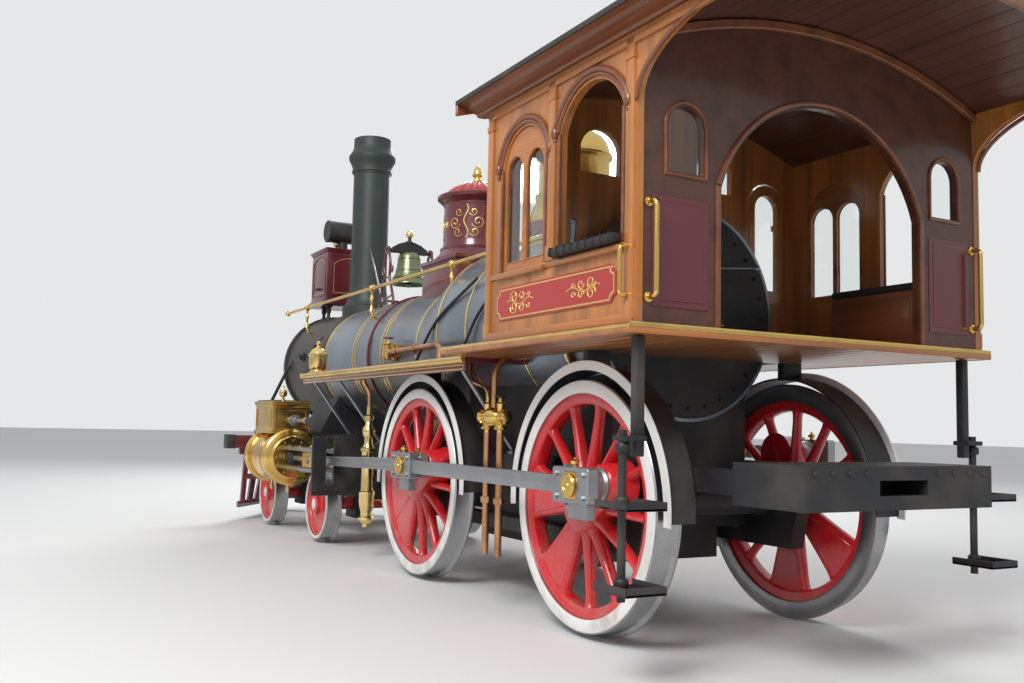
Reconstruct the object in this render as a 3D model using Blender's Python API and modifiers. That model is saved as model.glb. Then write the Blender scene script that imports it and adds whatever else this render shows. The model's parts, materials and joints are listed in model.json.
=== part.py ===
"""Steam locomotive of the 1860s with four leading wheels and four drivers, built as separate solids.

Metres throughout. While the pieces are made, X runs forward from the rear driving axle, Y to the
engine's left and Z up from the rail top. The last step moves the whole engine so that its origin lies
on the floor, under the middle of its length, with the wheel flanges standing on the floor.
"""
import math

import bmesh
import bpy
from mathutils import Matrix, Vector

# Fits between pieces
seat = 0.0003
running_clearance = 0.0001
door_clearance = 0.011
overrun = 0.05

# Driving wheels and rods
tread_radius = 0.686
flange_height = 0.028
flange_width = 0.032
tyre_inner_radius = 0.605
rim_inner_radius = 0.55
tyre_width = 0.14
wheel_back_y = 0.68
wheelbase = 2.246
spoke_count = 13
spoke_width = 0.052
hub_radius = 0.14
hub_inner_y = 0.66
hub_outer_y = 0.86
spider_inset = 0.03
crank_radius = 0.305
left_crank_degrees = 156.0
quarter_turn_degrees = 90.0
boss_radius = 0.11
boss_outer_y = 0.882
crank_pin_radius = 0.05
crank_collar_radius = 0.078
crank_cap_radius = 0.062
crank_cap_thickness = 0.018
open_pivot_gap = 0.007
bearing_sides = 32
axle_radius = 0.09
rod_inner_y = 1.0
rod_thickness = 0.07
rod_bar_height = 0.092
rod_bar_inset = 0.012
rod_end_length = 0.34
rod_end_height = 0.19
cotter_block_height = 0.075
main_rod_thickness = 0.066
main_rod_length = 2.40
main_rod_big_height = 0.10
main_rod_small_height = 0.085
main_rod_end_length = 0.24
main_rod_end_height = 0.17

# Cylinders, guides and crossheads
cylinder_y = 0.93
cylinder_axis_z = 0.75
cylinder_middle_x = 5.43
cylinder_length = 0.76
cylinder_radius = 0.25
cylinder_flange_radius = 0.278
cylinder_flange_width = 0.06
cylinder_head_radius = 0.2
cylinder_head_depth = 0.05
piston_rod_radius = 0.028
chest_half_width = 0.19
chest_top_z = 1.31
chest_lid_height = 0.035
chest_lid_overhang = 0.015
guide_bar_width = 0.032
guide_gap = 0.074
guide_height = 0.034
crosshead_length = 0.30
crosshead_half_height = 0.075
crosshead_width = 0.12
wrist_pin_radius = 0.03
yoke_x = 3.9
yoke_thickness = 0.035
yoke_half_width = 1.09
yoke_bottom_z = 0.46
yoke_strap_height = 0.09
yoke_window_height = 0.4

# Frames
frame_inner_y = 0.50
frame_thickness = 0.10
frame_top_z = 0.92
frame_bar_height = 0.12
frame_lower_bar_height = 0.085
pedestal_bottom_z = 0.42
pedestal_half_width = 0.23
pedestal_slope = 0.09
frame_tail_x = -1.0
beam_rear_x = 6.72
beam_depth = 0.18
beam_height = 0.15
beam_half_width = 1.17
tail_length = 0.46
tail_height = 0.2
tail_half_width = 0.62
draw_pocket_width = 0.32
draw_pocket_height = 0.07
draw_pocket_depth = 0.2

# Pilot
pilot_reach = 1.42
pilot_half_width = 1.02
pilot_tip_half_width = 0.09
pilot_bottom_z = 0.12
pilot_bar_height = 0.07
pilot_bar_depth = 0.08
pilot_slat_count = 8
pilot_slat_width = 0.055
pilot_slat_depth = 0.06
pilot_top_inset = 0.09

# Leading truck
truck_wheelbase = 1.70
truck_tread_radius = 0.33
truck_rim_radius = 0.30
truck_web_thickness = 0.05
truck_hub_radius = 0.075
truck_hub_outer_y = 0.845
truck_axle_radius = 0.06
truck_frame_half_gap = 0.40
truck_frame_thickness = 0.07
truck_frame_top_z = 0.55
truck_frame_bar_height = 0.11
truck_box_half_width = 0.13
truck_box_bottom_z = 0.2
truck_overhang = 0.22
bolster_length = 0.34
centre_plate_radius = 0.21

# Boiler, smokebox and firebox
boiler_axis_z = 1.72
boiler_radius = 0.57
wagon_radius = 0.66
boiler_front_x = 5.30
wagon_front_x = 2.85
wagon_rear_x = 2.35
backhead_x = 0.10
smokebox_radius = 0.578
smokebox_wall = 0.022
smokebox_front_x = 6.55
smokebox_ring_radius = 0.605
smokebox_ring_depth = 0.06
smokebox_mouth_radius = 0.39
smokebox_door_radius = 0.44
smokebox_door_thickness = 0.03
smokebox_door_dish = 0.035
smokebox_knob_radius = 0.06
firebox_front_x = 2.02
firebox_rear_x = 0.16
firebox_bottom_z = 0.52
ash_pan_depth = 0.2
ash_pan_inset = 0.12
fire_hole_width = 0.30
fire_hole_height = 0.24
fire_hole_depth = 0.3
fire_hole_z = 1.86
fire_door_lap = 0.04
fire_door_thickness = 0.03

# Saddle
saddle_half_length = 0.30
saddle_half_width = 0.62
saddle_bottom_z = 0.75
saddle_waist_half_width = 0.36

# Stack, headlight, bell and domes
stack_x = 5.57
stack_radius = 0.195
stack_bore_radius = 0.165
stack_top_z = 4.2
stack_foot_radius = 0.27
stack_foot_z = 2.38
headlight_front_x = 6.74
headlight_rear_x = 6.18
headlight_half_width = 0.27
headlight_bottom_z = 2.46
headlight_top_z = 3.06
headlight_lid_height = 0.03
headlight_lid_overhang = 0.02
lamp_neck_radius = 0.055
lamp_neck_height = 0.12
lamp_drum_radius = 0.13
lamp_drum_half_length = 0.2
shelf_thickness = 0.04
shelf_overhang = 0.06
shelf_foot_length = 0.1
shelf_foot_width = 0.05
shelf_foot_y = 0.2
shelf_foot_inset = 0.1
bell_x = 4.45
bell_axis_z = 2.80
bell_mouth_radius = 0.19
bell_height = 0.32
bell_wall = 0.02
bell_drop = 0.01
bell_yoke_thickness = 0.05
bell_trunnion_radius = 0.02
bell_stand_half_gap = 0.225
bell_stand_thickness = 0.03
bell_stand_foot_half_length = 0.2
bell_stand_top_half_length = 0.045
bell_stand_bar = 0.035
bell_stand_tie_length = 0.09
bell_ball_radius = 0.04
sand_dome_x = 2.98
sand_dome_radius = 0.28
sand_dome_base_half_width = 0.37
sand_dome_base_top_z = 2.50
sand_dome_top_z = 3.35
steam_dome_x = 1.42
steam_dome_radius = 0.26
steam_dome_base_half_width = 0.34
steam_dome_base_top_z = 2.60
steam_dome_top_z = 3.27
dome_root_depth = 0.2

# Handrails
handrail_y = 0.52
handrail_z = 2.35
handrail_radius = 0.017
handrail_front_x = 6.78
handrail_knob_radius = 0.036
post_radius = 0.02
post_foot_drop = 0.28
post_stem_drop = 0.24

# Running boards and splashers
board_front_x = 4.35
board_step_x = 0.97
board_top_z = 1.54
board_thickness = 0.04
board_half_width = 1.07
board_nosing_radius = 0.025
board_inner_y = 0.3
splasher_gap = 0.02
splasher_lip_width = 0.055
splasher_sheet = 0.012
splasher_inner_y = 0.63
splasher_end_degrees = 4.0
splasher_bracket_length = 0.05

# Cab
cab_front_x = 0.45
cab_rear_x = -1.0
cab_half_width = 1.2
cab_wall = 0.05
cab_floor_z = 1.58
cab_floor_thickness = 0.05
cab_floor_lip = 0.02
cab_eave_z = 2.93
cab_wing_start_z = 2.62
cab_wing_reach = 0.66
window_sill_z = 1.96
window_top_z = 2.80
rear_window_front_x = -0.34
rear_window_rear_x = -0.90
front_window_front_x = 0.27
front_window_rear_x = -0.20
front_window_top_z = 2.74
window_arch_rise = 0.2
doorway_half_width = 0.69
doorway_top_z = 2.76
doorway_arch_rise = 0.5
rear_light_inner_y = 0.80
rear_light_outer_y = 1.01
rear_light_bottom_z = 2.30
rear_light_top_z = 2.62
rear_light_rise = 0.1
front_door_inner_y = 0.74
front_door_outer_y = 1.07
front_door_bottom_z = 1.66
front_door_top_z = 2.78
front_door_rise = 0.14
spectacle_y = 0.45
spectacle_half_width = 0.145
spectacle_bottom_z = 2.66
spectacle_top_z = 2.94
roof_front_x = 0.60
roof_rear_x = -1.80
roof_half_width = 1.353
roof_edge_z = 3.01
roof_edge_height = 0.03
roof_crown_rise = 0.24
roof_thickness = 0.05
seat_length = 0.62
seat_width = 0.33
seat_height = 0.38
seat_rear_gap = 0.08

# Hinges
barrel_radius = 0.012
barrel_height = 0.05
leaf_width = 0.05
leaf_thickness = 0.006

# Steps, pump and injector
step_post_x = -0.93
step_post_y = 1.12
step_post_width = 0.05
step_post_bottom_z = 1.0
step_rod_y = 1.2
step_rod_radius = 0.022
step_rod_bottom_z = 0.34
step_tread_length = 0.26
step_tread_width = 0.22
step_tread_thickness = 0.02
step_upper_z = 0.76
step_lower_z = 0.4
pump_x = 3.3
pump_y = 0.80
pump_bottom_z = 0.24
pump_top_z = 1.24
pump_radius = 0.066
pump_bracket_z = 0.56
pump_bracket_size = 0.06
injector_x = 0.93
injector_y = 0.87
injector_z = 1.16
injector_radius = 0.07
injector_length = 0.34
injector_pipe_radius = 0.024
injector_pipe_gap = 0.17
injector_pipe_bottom_z = 0.3

# Colour, roughness and metallic value of each finish
finishes = {
    "wheel_red": ((0.62, 0.02, 0.02), 0.35, 0.0),
    "frame_black": ((0.02, 0.02, 0.022), 0.5, 0.0),
    "rod_steel": ((0.36, 0.37, 0.38), 0.4, 0.9),
    "brass": ((0.72, 0.50, 0.16), 0.25, 1.0),
    "jacket_iron": ((0.27, 0.31, 0.35), 0.35, 0.8),
    "smokebox_grey": ((0.06, 0.055, 0.05), 0.6, 0.2),
    "stack_green": ((0.03, 0.045, 0.04), 0.5, 0.0),
    "maroon": ((0.16, 0.02, 0.03), 0.35, 0.0),
    "cab_wood": ((0.42, 0.17, 0.04), 0.35, 0.0),
    "bell_bronze": ((0.22, 0.25, 0.14), 0.35, 0.9),
}

SIDES = (("left", 1.0), ("right", -1.0))


def clear_scene():
    """Removes what the scene holds and makes one collection for the engine and one for cutters."""
    for item in list(bpy.data.objects):
        bpy.data.objects.remove(item)
    group = bpy.data.collections.new("steam_locomotive")
    bpy.context.scene.collection.children.link(group)
    return group


ENGINE = clear_scene()
MATERIALS = {}


def material(finish):
    """One Principled material for each finish in the table."""
    if finish not in MATERIALS:
        colour, roughness, metallic = finishes[finish]
        made = bpy.data.materials.new(finish)
        made.use_nodes = True
        shader = made.node_tree.nodes["Principled BSDF"]
        shader.inputs["Base Color"].default_value = (*colour, 1.0)
        shader.inputs["Roughness"].default_value = roughness
        shader.inputs["Metallic"].default_value = metallic
        made.diffuse_color = (*colour, 1.0)
        MATERIALS[finish] = made
    return MATERIALS[finish]


def add_object(name, data):
    """Puts a mesh or curve into the engine's collection."""
    made = bpy.data.objects.new(name, data)
    ENGINE.objects.link(made)
    return made


def mesh_from(source):
    """Turns an object with modifiers, or a curve, into a plain welded mesh at the same place."""
    bpy.context.view_layer.update()
    graph = bpy.context.evaluated_depsgraph_get()
    data = bpy.data.meshes.new_from_object(source.evaluated_get(graph))
    work = bmesh.new()
    work.from_mesh(data)
    bmesh.ops.remove_doubles(work, verts=work.verts, dist=seat / 10)
    work.to_mesh(data)
    work.free()
    made = add_object(source.name + "_mesh", data)
    made.matrix_world = source.matrix_world
    bpy.data.objects.remove(source)
    return made


def block(size, centre):
    """A box of the given size around its centre."""
    data = bpy.data.meshes.new("block")
    work = bmesh.new()
    bmesh.ops.create_cube(work, size=1.0)
    bmesh.ops.scale(work, vec=size, verts=work.verts)
    work.to_mesh(data)
    work.free()
    made = add_object("block", data)
    made.location = centre
    return made


def span(low, high):
    """A box between two opposite corners."""
    low = Vector(low)
    high = Vector(high)
    return block(high - low, (low + high) / 2)


def bar(start, end, radius, sides=12):
    """A round bar from one point to another."""
    start = Vector(start)
    end = Vector(end)
    data = bpy.data.meshes.new("bar")
    work = bmesh.new()
    bmesh.ops.create_cone(work, cap_ends=True, segments=sides, radius1=radius, radius2=radius,
                          depth=(end - start).length)
    work.to_mesh(data)
    work.free()
    made = add_object("bar", data)
    made.rotation_mode = "QUATERNION"
    made.rotation_quaternion = Vector((0, 0, 1)).rotation_difference(end - start)
    made.location = (start + end) / 2
    return made


def turned(profile, centre, axis=(0, 0, 1), steps=24, ring=False):
    """A shape turned about an axis. The profile holds (radius, height) from top to bottom outside."""
    points = [(radius, 0.0, height) for radius, height in profile]
    edges = [(index, index + 1) for index in range(len(points) - 1)]
    if ring:
        edges.append((len(points) - 1, 0))
    data = bpy.data.meshes.new("turned")
    data.from_pydata(points, edges, [])
    made = add_object("turned", data)
    screw = made.modifiers.new("screw", "SCREW")
    screw.axis = "Z"
    screw.steps = steps
    screw.render_steps = steps
    screw.use_merge_vertices = True
    screw.merge_threshold = seat / 10
    made.rotation_mode = "QUATERNION"
    made.rotation_quaternion = Vector((0, 0, 1)).rotation_difference(Vector(axis))
    made.location = centre
    return mesh_from(made)


def plate(loops, thickness, centre, facing):
    """A flat outline with any holes, facing X (points are Y, Z), Y (points are X, Z) or Z (X, Y)."""
    data = bpy.data.curves.new("plate", "CURVE")
    data.dimensions = "2D"
    data.fill_mode = "BOTH"
    data.extrude = thickness / 2
    for loop in loops:
        line = data.splines.new("POLY")
        line.points.add(len(loop) - 1)
        for point, (across, up) in zip(line.points, loop):
            point.co = (across, up, 0.0, 1.0)
        line.use_cyclic_u = True
    made = add_object("plate", data)
    turns = {
        "X": Matrix(((0, 0, 1), (1, 0, 0), (0, 1, 0))),
        "Y": Matrix(((1, 0, 0), (0, 0, -1), (0, 1, 0))),
        "Z": Matrix.Identity(3),
    }
    made.matrix_world = Matrix.Translation(centre) @ turns[facing].to_4x4()
    return mesh_from(made)


def tube(points, radius):
    """A bent round tube through the points."""
    data = bpy.data.curves.new("tube", "CURVE")
    data.dimensions = "3D"
    data.bevel_depth = radius
    data.bevel_resolution = 2
    data.use_fill_caps = True
    line = data.splines.new("POLY")
    line.points.add(len(points) - 1)
    for point, place in zip(line.points, points):
        point.co = (*place, 1.0)
    return mesh_from(add_object("tube", data))


def combine(base, tool, operation):
    """Applies one exact Boolean and removes the tool."""
    change = base.modifiers.new("combine", "BOOLEAN")
    change.operation = operation
    change.solver = "EXACT"
    change.object = tool
    made = mesh_from(base)
    bpy.data.objects.remove(tool)
    return made


def unite(base, *others):
    """Joins overlapping solids into one body."""
    for other in others:
        base = combine(base, other, "UNION")
    return base


def carve(base, *cutters):
    """Cuts solids out of a body."""
    for cutter in cutters:
        base = combine(base, cutter, "DIFFERENCE")
    return base


def finish(name, piece, finish_name, carrier=None):
    """Names a finished sub-part, gives it its material and hangs it on its joint's empty."""
    piece.name = name
    piece.data.name = name
    piece.data.materials.clear()
    piece.data.materials.append(material(finish_name))
    piece.data.shade_smooth()
    piece.data.set_sharp_from_angle(angle=math.radians(30))
    if carrier is not None:
        bpy.context.view_layer.update()
        piece.parent = carrier
        piece.matrix_parent_inverse = carrier.matrix_world.inverted()
    return piece


def pivot(name, place, carrier=None):
    """An empty on a joint's axis."""
    made = add_object(name, None)
    made.location = place
    bpy.context.view_layer.update()
    if carrier is not None:
        made.parent = carrier
        made.matrix_parent_inverse = carrier.matrix_world.inverted()
        bpy.context.view_layer.update()
    return made


def arc(centre, radius, start_degrees, end_degrees, count):
    """Points on a circle from one angle to another, both ends included."""
    points = []
    for index in range(count):
        turn = math.radians(start_degrees + (end_degrees - start_degrees) * index / (count - 1))
        points.append((centre[0] + radius * math.cos(turn), centre[1] + radius * math.sin(turn)))
    return points


def bored(radius):
    """Radius of a faceted hole whose flats clear a faceted shaft at every angle."""
    return (radius + running_clearance) / math.cos(math.pi / bearing_sides)


def circle(centre, radius, count=16):
    """Points all round a circle."""
    return arc(centre, radius, 0, 360 - 360 / count, count)


def arched(low, high, bottom, top, rise, count=7):
    """An upright opening with a low arch, as (across, up) points."""
    half = (high - low) / 2
    radius = (half * half + rise * rise) / (2 * rise)
    reach = math.degrees(math.asin(half / radius))
    if rise > half:
        reach = 180 - reach
    crown = arc(((low + high) / 2, top - radius), radius, 90 - reach, 90 + reach, count)
    return [(low, bottom), (high, bottom)] + crown


def polar(centre, radius, degrees):
    """The point at an angle on a circle in the X, Z plane."""
    turn = math.radians(degrees)
    return centre[0] + radius * math.cos(turn), centre[1] + radius * math.sin(turn)


def loft(sections, sides=28):
    """Round sections about the X axis as (x, centre z, radius), joined front to back."""
    data = bpy.data.meshes.new("loft")
    work = bmesh.new()
    rings = []
    for x, middle, radius in sections:
        outline = circle((0, middle), radius, sides)
        rings.append([work.verts.new((x, across, up)) for across, up in outline])
    for first, second in zip(rings, rings[1:]):
        for index in range(sides):
            following = (index + 1) % sides
            work.faces.new((first[index], first[following], second[following], second[index]))
    work.faces.new(rings[0])
    work.faces.new(rings[-1])
    bmesh.ops.recalc_face_normals(work, faces=work.faces)
    work.to_mesh(data)
    work.free()
    return add_object("loft", data)


def boiler_shape(extra=0.0):
    """The boiler's outside: straight barrel, sloping course and wagon top, grown by a clearance."""
    wagon_axis_z = boiler_axis_z - boiler_radius + wagon_radius
    return loft((
        (boiler_front_x + extra, boiler_axis_z, boiler_radius + extra),
        (wagon_front_x, boiler_axis_z, boiler_radius + extra),
        (wagon_rear_x, wagon_axis_z, wagon_radius + extra),
        (backhead_x - extra, wagon_axis_z, wagon_radius + extra),
    ))


def smokebox_shape(extra=0.0):
    """The smokebox's outside as a plain cylinder, grown by a clearance."""
    rear = (boiler_front_x, boiler_axis_z, smokebox_radius + extra)
    front = (smokebox_front_x + overrun, boiler_axis_z, smokebox_radius + extra)
    return loft((rear, front))


def wheel_spider(centre, side, crank_degrees, filled):
    """Hub, spokes and rim as one plate. The filled gaps are the counterweight."""
    pitch = 360 / spoke_count
    gap_radius = rim_inner_radius + spider_inset / 2
    loops = [circle(centre, (tyre_inner_radius + tread_radius) / 2, 16)]
    for index in range(spoke_count):
        if index in filled:
            continue
        middle = crank_degrees + pitch * (index + 0.5)
        inner_half = pitch / 2 - math.degrees(math.asin(spoke_width / 2 / hub_radius))
        outer_half = pitch / 2 - math.degrees(math.asin(spoke_width / 2 / gap_radius))
        inner = arc(centre, hub_radius, middle - inner_half, middle + inner_half, 2)
        outer = arc(centre, gap_radius, middle + outer_half, middle - outer_half, 3)
        loops.append(inner + outer)
    spider_y = wheel_back_y + tyre_width / 2
    thickness = tyre_width - 2 * spider_inset
    return plate(loops, thickness, (0, side * spider_y, 0), "Y")


def driving_wheel(centre, side, crank_degrees, filled, pin_from_y):
    """One driving wheel: tyre, rim, spokes, hub, crank boss and pin."""
    x, z = centre
    tyre_outer_y = wheel_back_y + tyre_width
    tyre = turned((
        (tread_radius, tyre_outer_y),
        (tread_radius, wheel_back_y + flange_width),
        (tread_radius + flange_height, wheel_back_y + flange_width / 2),
        (tread_radius + flange_height / 2, wheel_back_y),
        (rim_inner_radius, wheel_back_y + spider_inset / 2),
        (rim_inner_radius, tyre_outer_y - spider_inset / 2),
        (tyre_inner_radius, tyre_outer_y),
    ), (x, 0, z), (0, side, 0), 32, ring=True)
    spider = wheel_spider(centre, side, crank_degrees, filled)
    hub = bar((x, side * hub_inner_y, z), (x, side * hub_outer_y, z), hub_radius + spoke_width / 4, 16)
    pin_x, pin_z = polar(centre, crank_radius, crank_degrees)
    boss_inner_y = wheel_back_y + spider_inset * 1.5
    boss = bar((pin_x, side * boss_inner_y, pin_z), (pin_x, side * boss_outer_y, pin_z), boss_radius, 14)
    web = block((crank_radius, (boss_outer_y - boss_inner_y) * 0.9, boss_radius * 1.7),
                ((x + pin_x) / 2, side * (boss_inner_y + boss_outer_y) / 2, (z + pin_z) / 2))
    web.rotation_euler = (0, -math.radians(crank_degrees), 0)
    rod_outer_y = rod_inner_y + rod_thickness
    if pin_from_y <= boss_outer_y:
        return unite(tyre, spider, hub, boss, web)
    pin = bar((pin_x, side * (boss_outer_y - overrun), pin_z), (pin_x, side * (rod_outer_y + seat), pin_z),
              crank_pin_radius, bearing_sides)
    cap = bar((pin_x, side * (rod_outer_y + 4 * seat), pin_z),
              (pin_x, side * (rod_outer_y + crank_cap_thickness), pin_z), crank_cap_radius, 12)
    neck = bar((pin_x, side * rod_inner_y, pin_z), (pin_x, side * (rod_outer_y + crank_cap_thickness / 2),
        pin_z),
               crank_pin_radius * 0.9, 8)
    collar = bar((pin_x, side * (boss_outer_y - overrun), pin_z), (pin_x, side * pin_from_y, pin_z),
                 crank_collar_radius, 12)
    return unite(tyre, spider, hub, boss, web, pin, neck, cap, collar)


def axle(x, z, radius, half_length, sides=bearing_sides):
    """A plain axle between two wheel hubs."""
    return bar((x, -half_length, z), (x, half_length, z), radius, sides)


def crank_pin_place(x, side):
    """The crank pin's centre in the X, Z plane for one side of one driving axle."""
    quarter = 0.0 if side > 0 else quarter_turn_degrees
    return polar((x, tread_radius), crank_radius, left_crank_degrees - quarter)


def build_driving_wheels():
    """Two driving axles with their wheels, each set on its own empty."""
    middle = (spoke_count - 1) // 2
    sets = (
        ("rear_driver", 0.0, (middle - 1, middle + 1), rod_inner_y - 2 * seat),
        ("front_driver", wheelbase, (middle - 1, middle, middle + 1), 0.0),
    )
    carriers = {}
    for name, x, filled, pin_from_y in sets:
        carrier = pivot(name + "_axis", (x, 0, tread_radius))
        carriers[name] = carrier
        half_length = hub_inner_y - seat
        finish(name + "_axle", axle(x, tread_radius, axle_radius, half_length), "rod_steel", carrier)
        for word, side in SIDES:
            quarter = 0.0 if side > 0 else quarter_turn_degrees
            wheel = driving_wheel((x, tread_radius), side, left_crank_degrees - quarter, filled, pin_from_y)
            finish(name + "_wheel_" + word, wheel, "wheel_red", carrier)
    return carriers


def build_side_rods(rear_driver):
    """The coupling rods, hung on the rear crank pins, with the outer end of the front pins in them."""
    for word, side in SIDES:
        front_x, pin_z = crank_pin_place(wheelbase, side)
        rear_x = front_x - wheelbase
        middle_y = side * (rod_inner_y + rod_thickness / 2)
        carrier = pivot("side_rod_" + word + "_axis", (rear_x, middle_y, pin_z), rear_driver)
        rod = span((rear_x, rod_inner_y + rod_bar_inset, pin_z - rod_bar_height / 2),
                   (front_x, rod_inner_y + rod_thickness - rod_bar_inset, pin_z + rod_bar_height / 2))
        if side < 0:
            rod.location.y = -rod.location.y
        for end_x in (rear_x, front_x):
            rod = unite(rod, block((rod_end_length, rod_thickness, rod_end_height), (end_x, middle_y,
                pin_z)))
            drop = rod_end_height / 2 + cotter_block_height / 2 - 2 * seat
            rod = unite(rod, block((rod_end_length / 2, rod_thickness * 0.9, cotter_block_height),
                                   (end_x - rod_end_length / 5, middle_y, pin_z - drop)))
        hole = bar((rear_x, middle_y - rod_thickness, pin_z), (rear_x, middle_y + rod_thickness, pin_z),
                   bored(crank_pin_radius), bearing_sides)
        stub_from_y = cylinder_y + main_rod_thickness / 2 + 2 * open_pivot_gap
        stub = bar((front_x, side * stub_from_y, pin_z), (front_x, middle_y, pin_z), crank_pin_radius, 12)
        cap = bar((front_x, middle_y, pin_z),
                  (front_x, side * (rod_inner_y + rod_thickness + crank_cap_thickness), pin_z),
                      crank_cap_radius, 12)
        finish("side_rod_" + word, unite(carve(rod, hole), stub, cap), "rod_steel", carrier)


def crosshead_x(side):
    """Where the wrist pin stands for this side's crank."""
    pin_x, pin_z = crank_pin_place(wheelbase, side)
    rise = pin_z - cylinder_axis_z
    return pin_x + math.sqrt(main_rod_length ** 2 - rise ** 2)


def build_main_rod(word, side):
    """The connecting rod from the wrist pin, with its own length of the front crank pin in its big end."""
    pin_x, pin_z = crank_pin_place(wheelbase, side)
    wrist_x = crosshead_x(side)
    slope = math.degrees(math.atan2(cylinder_axis_z - pin_z, wrist_x - pin_x))
    outline = [
        polar((pin_x, pin_z - main_rod_big_height / 2), 0.0, slope),
        polar((wrist_x, cylinder_axis_z - main_rod_small_height / 2), 0.0, slope),
        polar((wrist_x, cylinder_axis_z + main_rod_small_height / 2), 0.0, slope),
        polar((pin_x, pin_z + main_rod_big_height / 2), 0.0, slope),
    ]
    rod = plate([outline], main_rod_thickness * 0.8, (0, side * cylinder_y, 0), "Y")
    big_end = block((main_rod_end_length, main_rod_thickness, main_rod_end_height),
                    (pin_x, side * cylinder_y, pin_z))
    small_end = bar((wrist_x, side * (cylinder_y - main_rod_thickness / 2), cylinder_axis_z),
                    (wrist_x, side * (cylinder_y + main_rod_thickness / 2), cylinder_axis_z),
                    main_rod_small_height * 0.6, 16)
    rod = unite(rod, big_end, small_end)
    reach = main_rod_thickness
    stub = bar((pin_x, side * (boss_outer_y + open_pivot_gap), pin_z),
               (pin_x, side * (cylinder_y + main_rod_thickness / 2 + open_pivot_gap), pin_z),
                   crank_pin_radius, 12)
    small_hole = bar((wrist_x, side * cylinder_y - reach, cylinder_axis_z),
                     (wrist_x, side * cylinder_y + reach, cylinder_axis_z), wrist_pin_radius + seat, 16)
    finish("main_rod_" + word, unite(carve(rod, small_hole), stub), "rod_steel")


def build_crosshead(word, side):
    """A slotted crosshead with its wrist pin and the piston rod into the cylinder head."""
    wrist_x = crosshead_x(side)
    y = side * cylinder_y
    body = block((crosshead_length, crosshead_width, 2 * crosshead_half_height - 2 * seat),
                 (wrist_x, y, cylinder_axis_z))
    slot_front = wrist_x + main_rod_small_height * 0.6 + 2 * seat
    slot = span((wrist_x - crosshead_length, cylinder_y - main_rod_thickness / 2 - seat,
                 cylinder_axis_z - 2 * crosshead_half_height),
                (slot_front, cylinder_y + main_rod_thickness / 2 + seat,
                 cylinder_axis_z + 2 * crosshead_half_height))
    if side < 0:
        slot.location.y = -slot.location.y
    body = carve(body, slot)
    pin = bar((wrist_x, y - crosshead_width / 2, cylinder_axis_z), (wrist_x, y + crosshead_width / 2,
        cylinder_axis_z),
              wrist_pin_radius, 16)
    head_x = cylinder_middle_x - cylinder_length / 2 - cylinder_head_depth
    rod = bar((slot_front + overrun / 5, y, cylinder_axis_z), (head_x - seat, y, cylinder_axis_z),
        piston_rod_radius, 12)
    finish("crosshead_" + word, unite(body, pin, rod), "rod_steel")


def build_cylinder(word, side):
    """A cylinder with its two flanges, covers and the block that meets the saddle."""
    half = cylinder_length / 2
    flange = cylinder_flange_width
    head = half + cylinder_head_depth
    outline = (
        (0.0, head),
        (cylinder_head_radius * 0.55, head),
        (cylinder_head_radius, half + cylinder_head_depth / 4),
        (cylinder_flange_radius, half),
        (cylinder_flange_radius, half - flange),
        (cylinder_radius, half - flange),
        (cylinder_radius, flange - half),
        (cylinder_flange_radius, flange - half),
        (cylinder_flange_radius, -half),
        (cylinder_head_radius, -half - cylinder_head_depth / 4),
        (cylinder_head_radius * 0.55, -head),
        (0.0, -head),
    )
    y = side * cylinder_y
    body = turned(outline, (cylinder_middle_x, y, cylinder_axis_z), (1, 0, 0), 20)
    low_y = saddle_half_width + seat
    foot = span((cylinder_middle_x - saddle_half_length, low_y, frame_top_z + seat),
                (cylinder_middle_x + saddle_half_length, cylinder_y,
                    cylinder_axis_z + cylinder_radius * 0.9))
    if side < 0:
        foot.location.y = -foot.location.y
    finish("cylinder_" + word, unite(body, foot), "brass")


def build_steam_chest(word, side):
    """The valve chest seated on the barrel of the cylinder between its flanges."""
    half = cylinder_length / 2 - cylinder_flange_width - door_clearance
    y = side * cylinder_y
    low_z = cylinder_axis_z + cylinder_radius * 0.9 + seat
    lid_z = chest_top_z - chest_lid_height / 2
    body = block((2 * half, 2 * chest_half_width, lid_z - low_z), (cylinder_middle_x, y,
        (low_z + lid_z) / 2))
    lid = block((2 * (half + chest_lid_overhang), 2 * (chest_half_width + chest_lid_overhang),
        chest_lid_height),
                (cylinder_middle_x, y, chest_top_z - chest_lid_height / 2))
    cutter = bar((cylinder_middle_x - cylinder_length, y, cylinder_axis_z),
                 (cylinder_middle_x + cylinder_length, y, cylinder_axis_z), cylinder_radius + seat, 20)
    body = carve(body, cutter)
    finish("steam_chest_" + word, unite(body, lid), "brass")


def build_guides(word, side):
    """Four guide bars from the cylinder cover to the yoke, in pairs with room for the rod between."""
    front_x = cylinder_middle_x - cylinder_length / 2 - cylinder_head_depth - seat
    rear_x = yoke_x + yoke_thickness / 2 + seat
    y = side * cylinder_y
    tie_height = 2 * (crosshead_half_height + guide_height)
    tie = block((yoke_thickness, guide_gap + guide_bar_width, tie_height * 0.98),
                (front_x - yoke_thickness / 2 - seat, y, cylinder_axis_z))
    bars = []
    for sign in (1, -1):
        z = cylinder_axis_z + sign * (crosshead_half_height + guide_height / 2)
        for shift in (1, -1):
            bar_y = y + shift * (guide_gap + guide_bar_width) / 2
            bars.append(block((front_x - rear_x, guide_bar_width, guide_height), ((front_x + rear_x) / 2,
                bar_y, z)))
    rod_hole = bar((front_x - overrun, y, cylinder_axis_z), (front_x + overrun, y, cylinder_axis_z),
                   piston_rod_radius + seat, 12)
    finish("guides_" + word, carve(unite(tie, *bars), rod_hole), "rod_steel")


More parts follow.
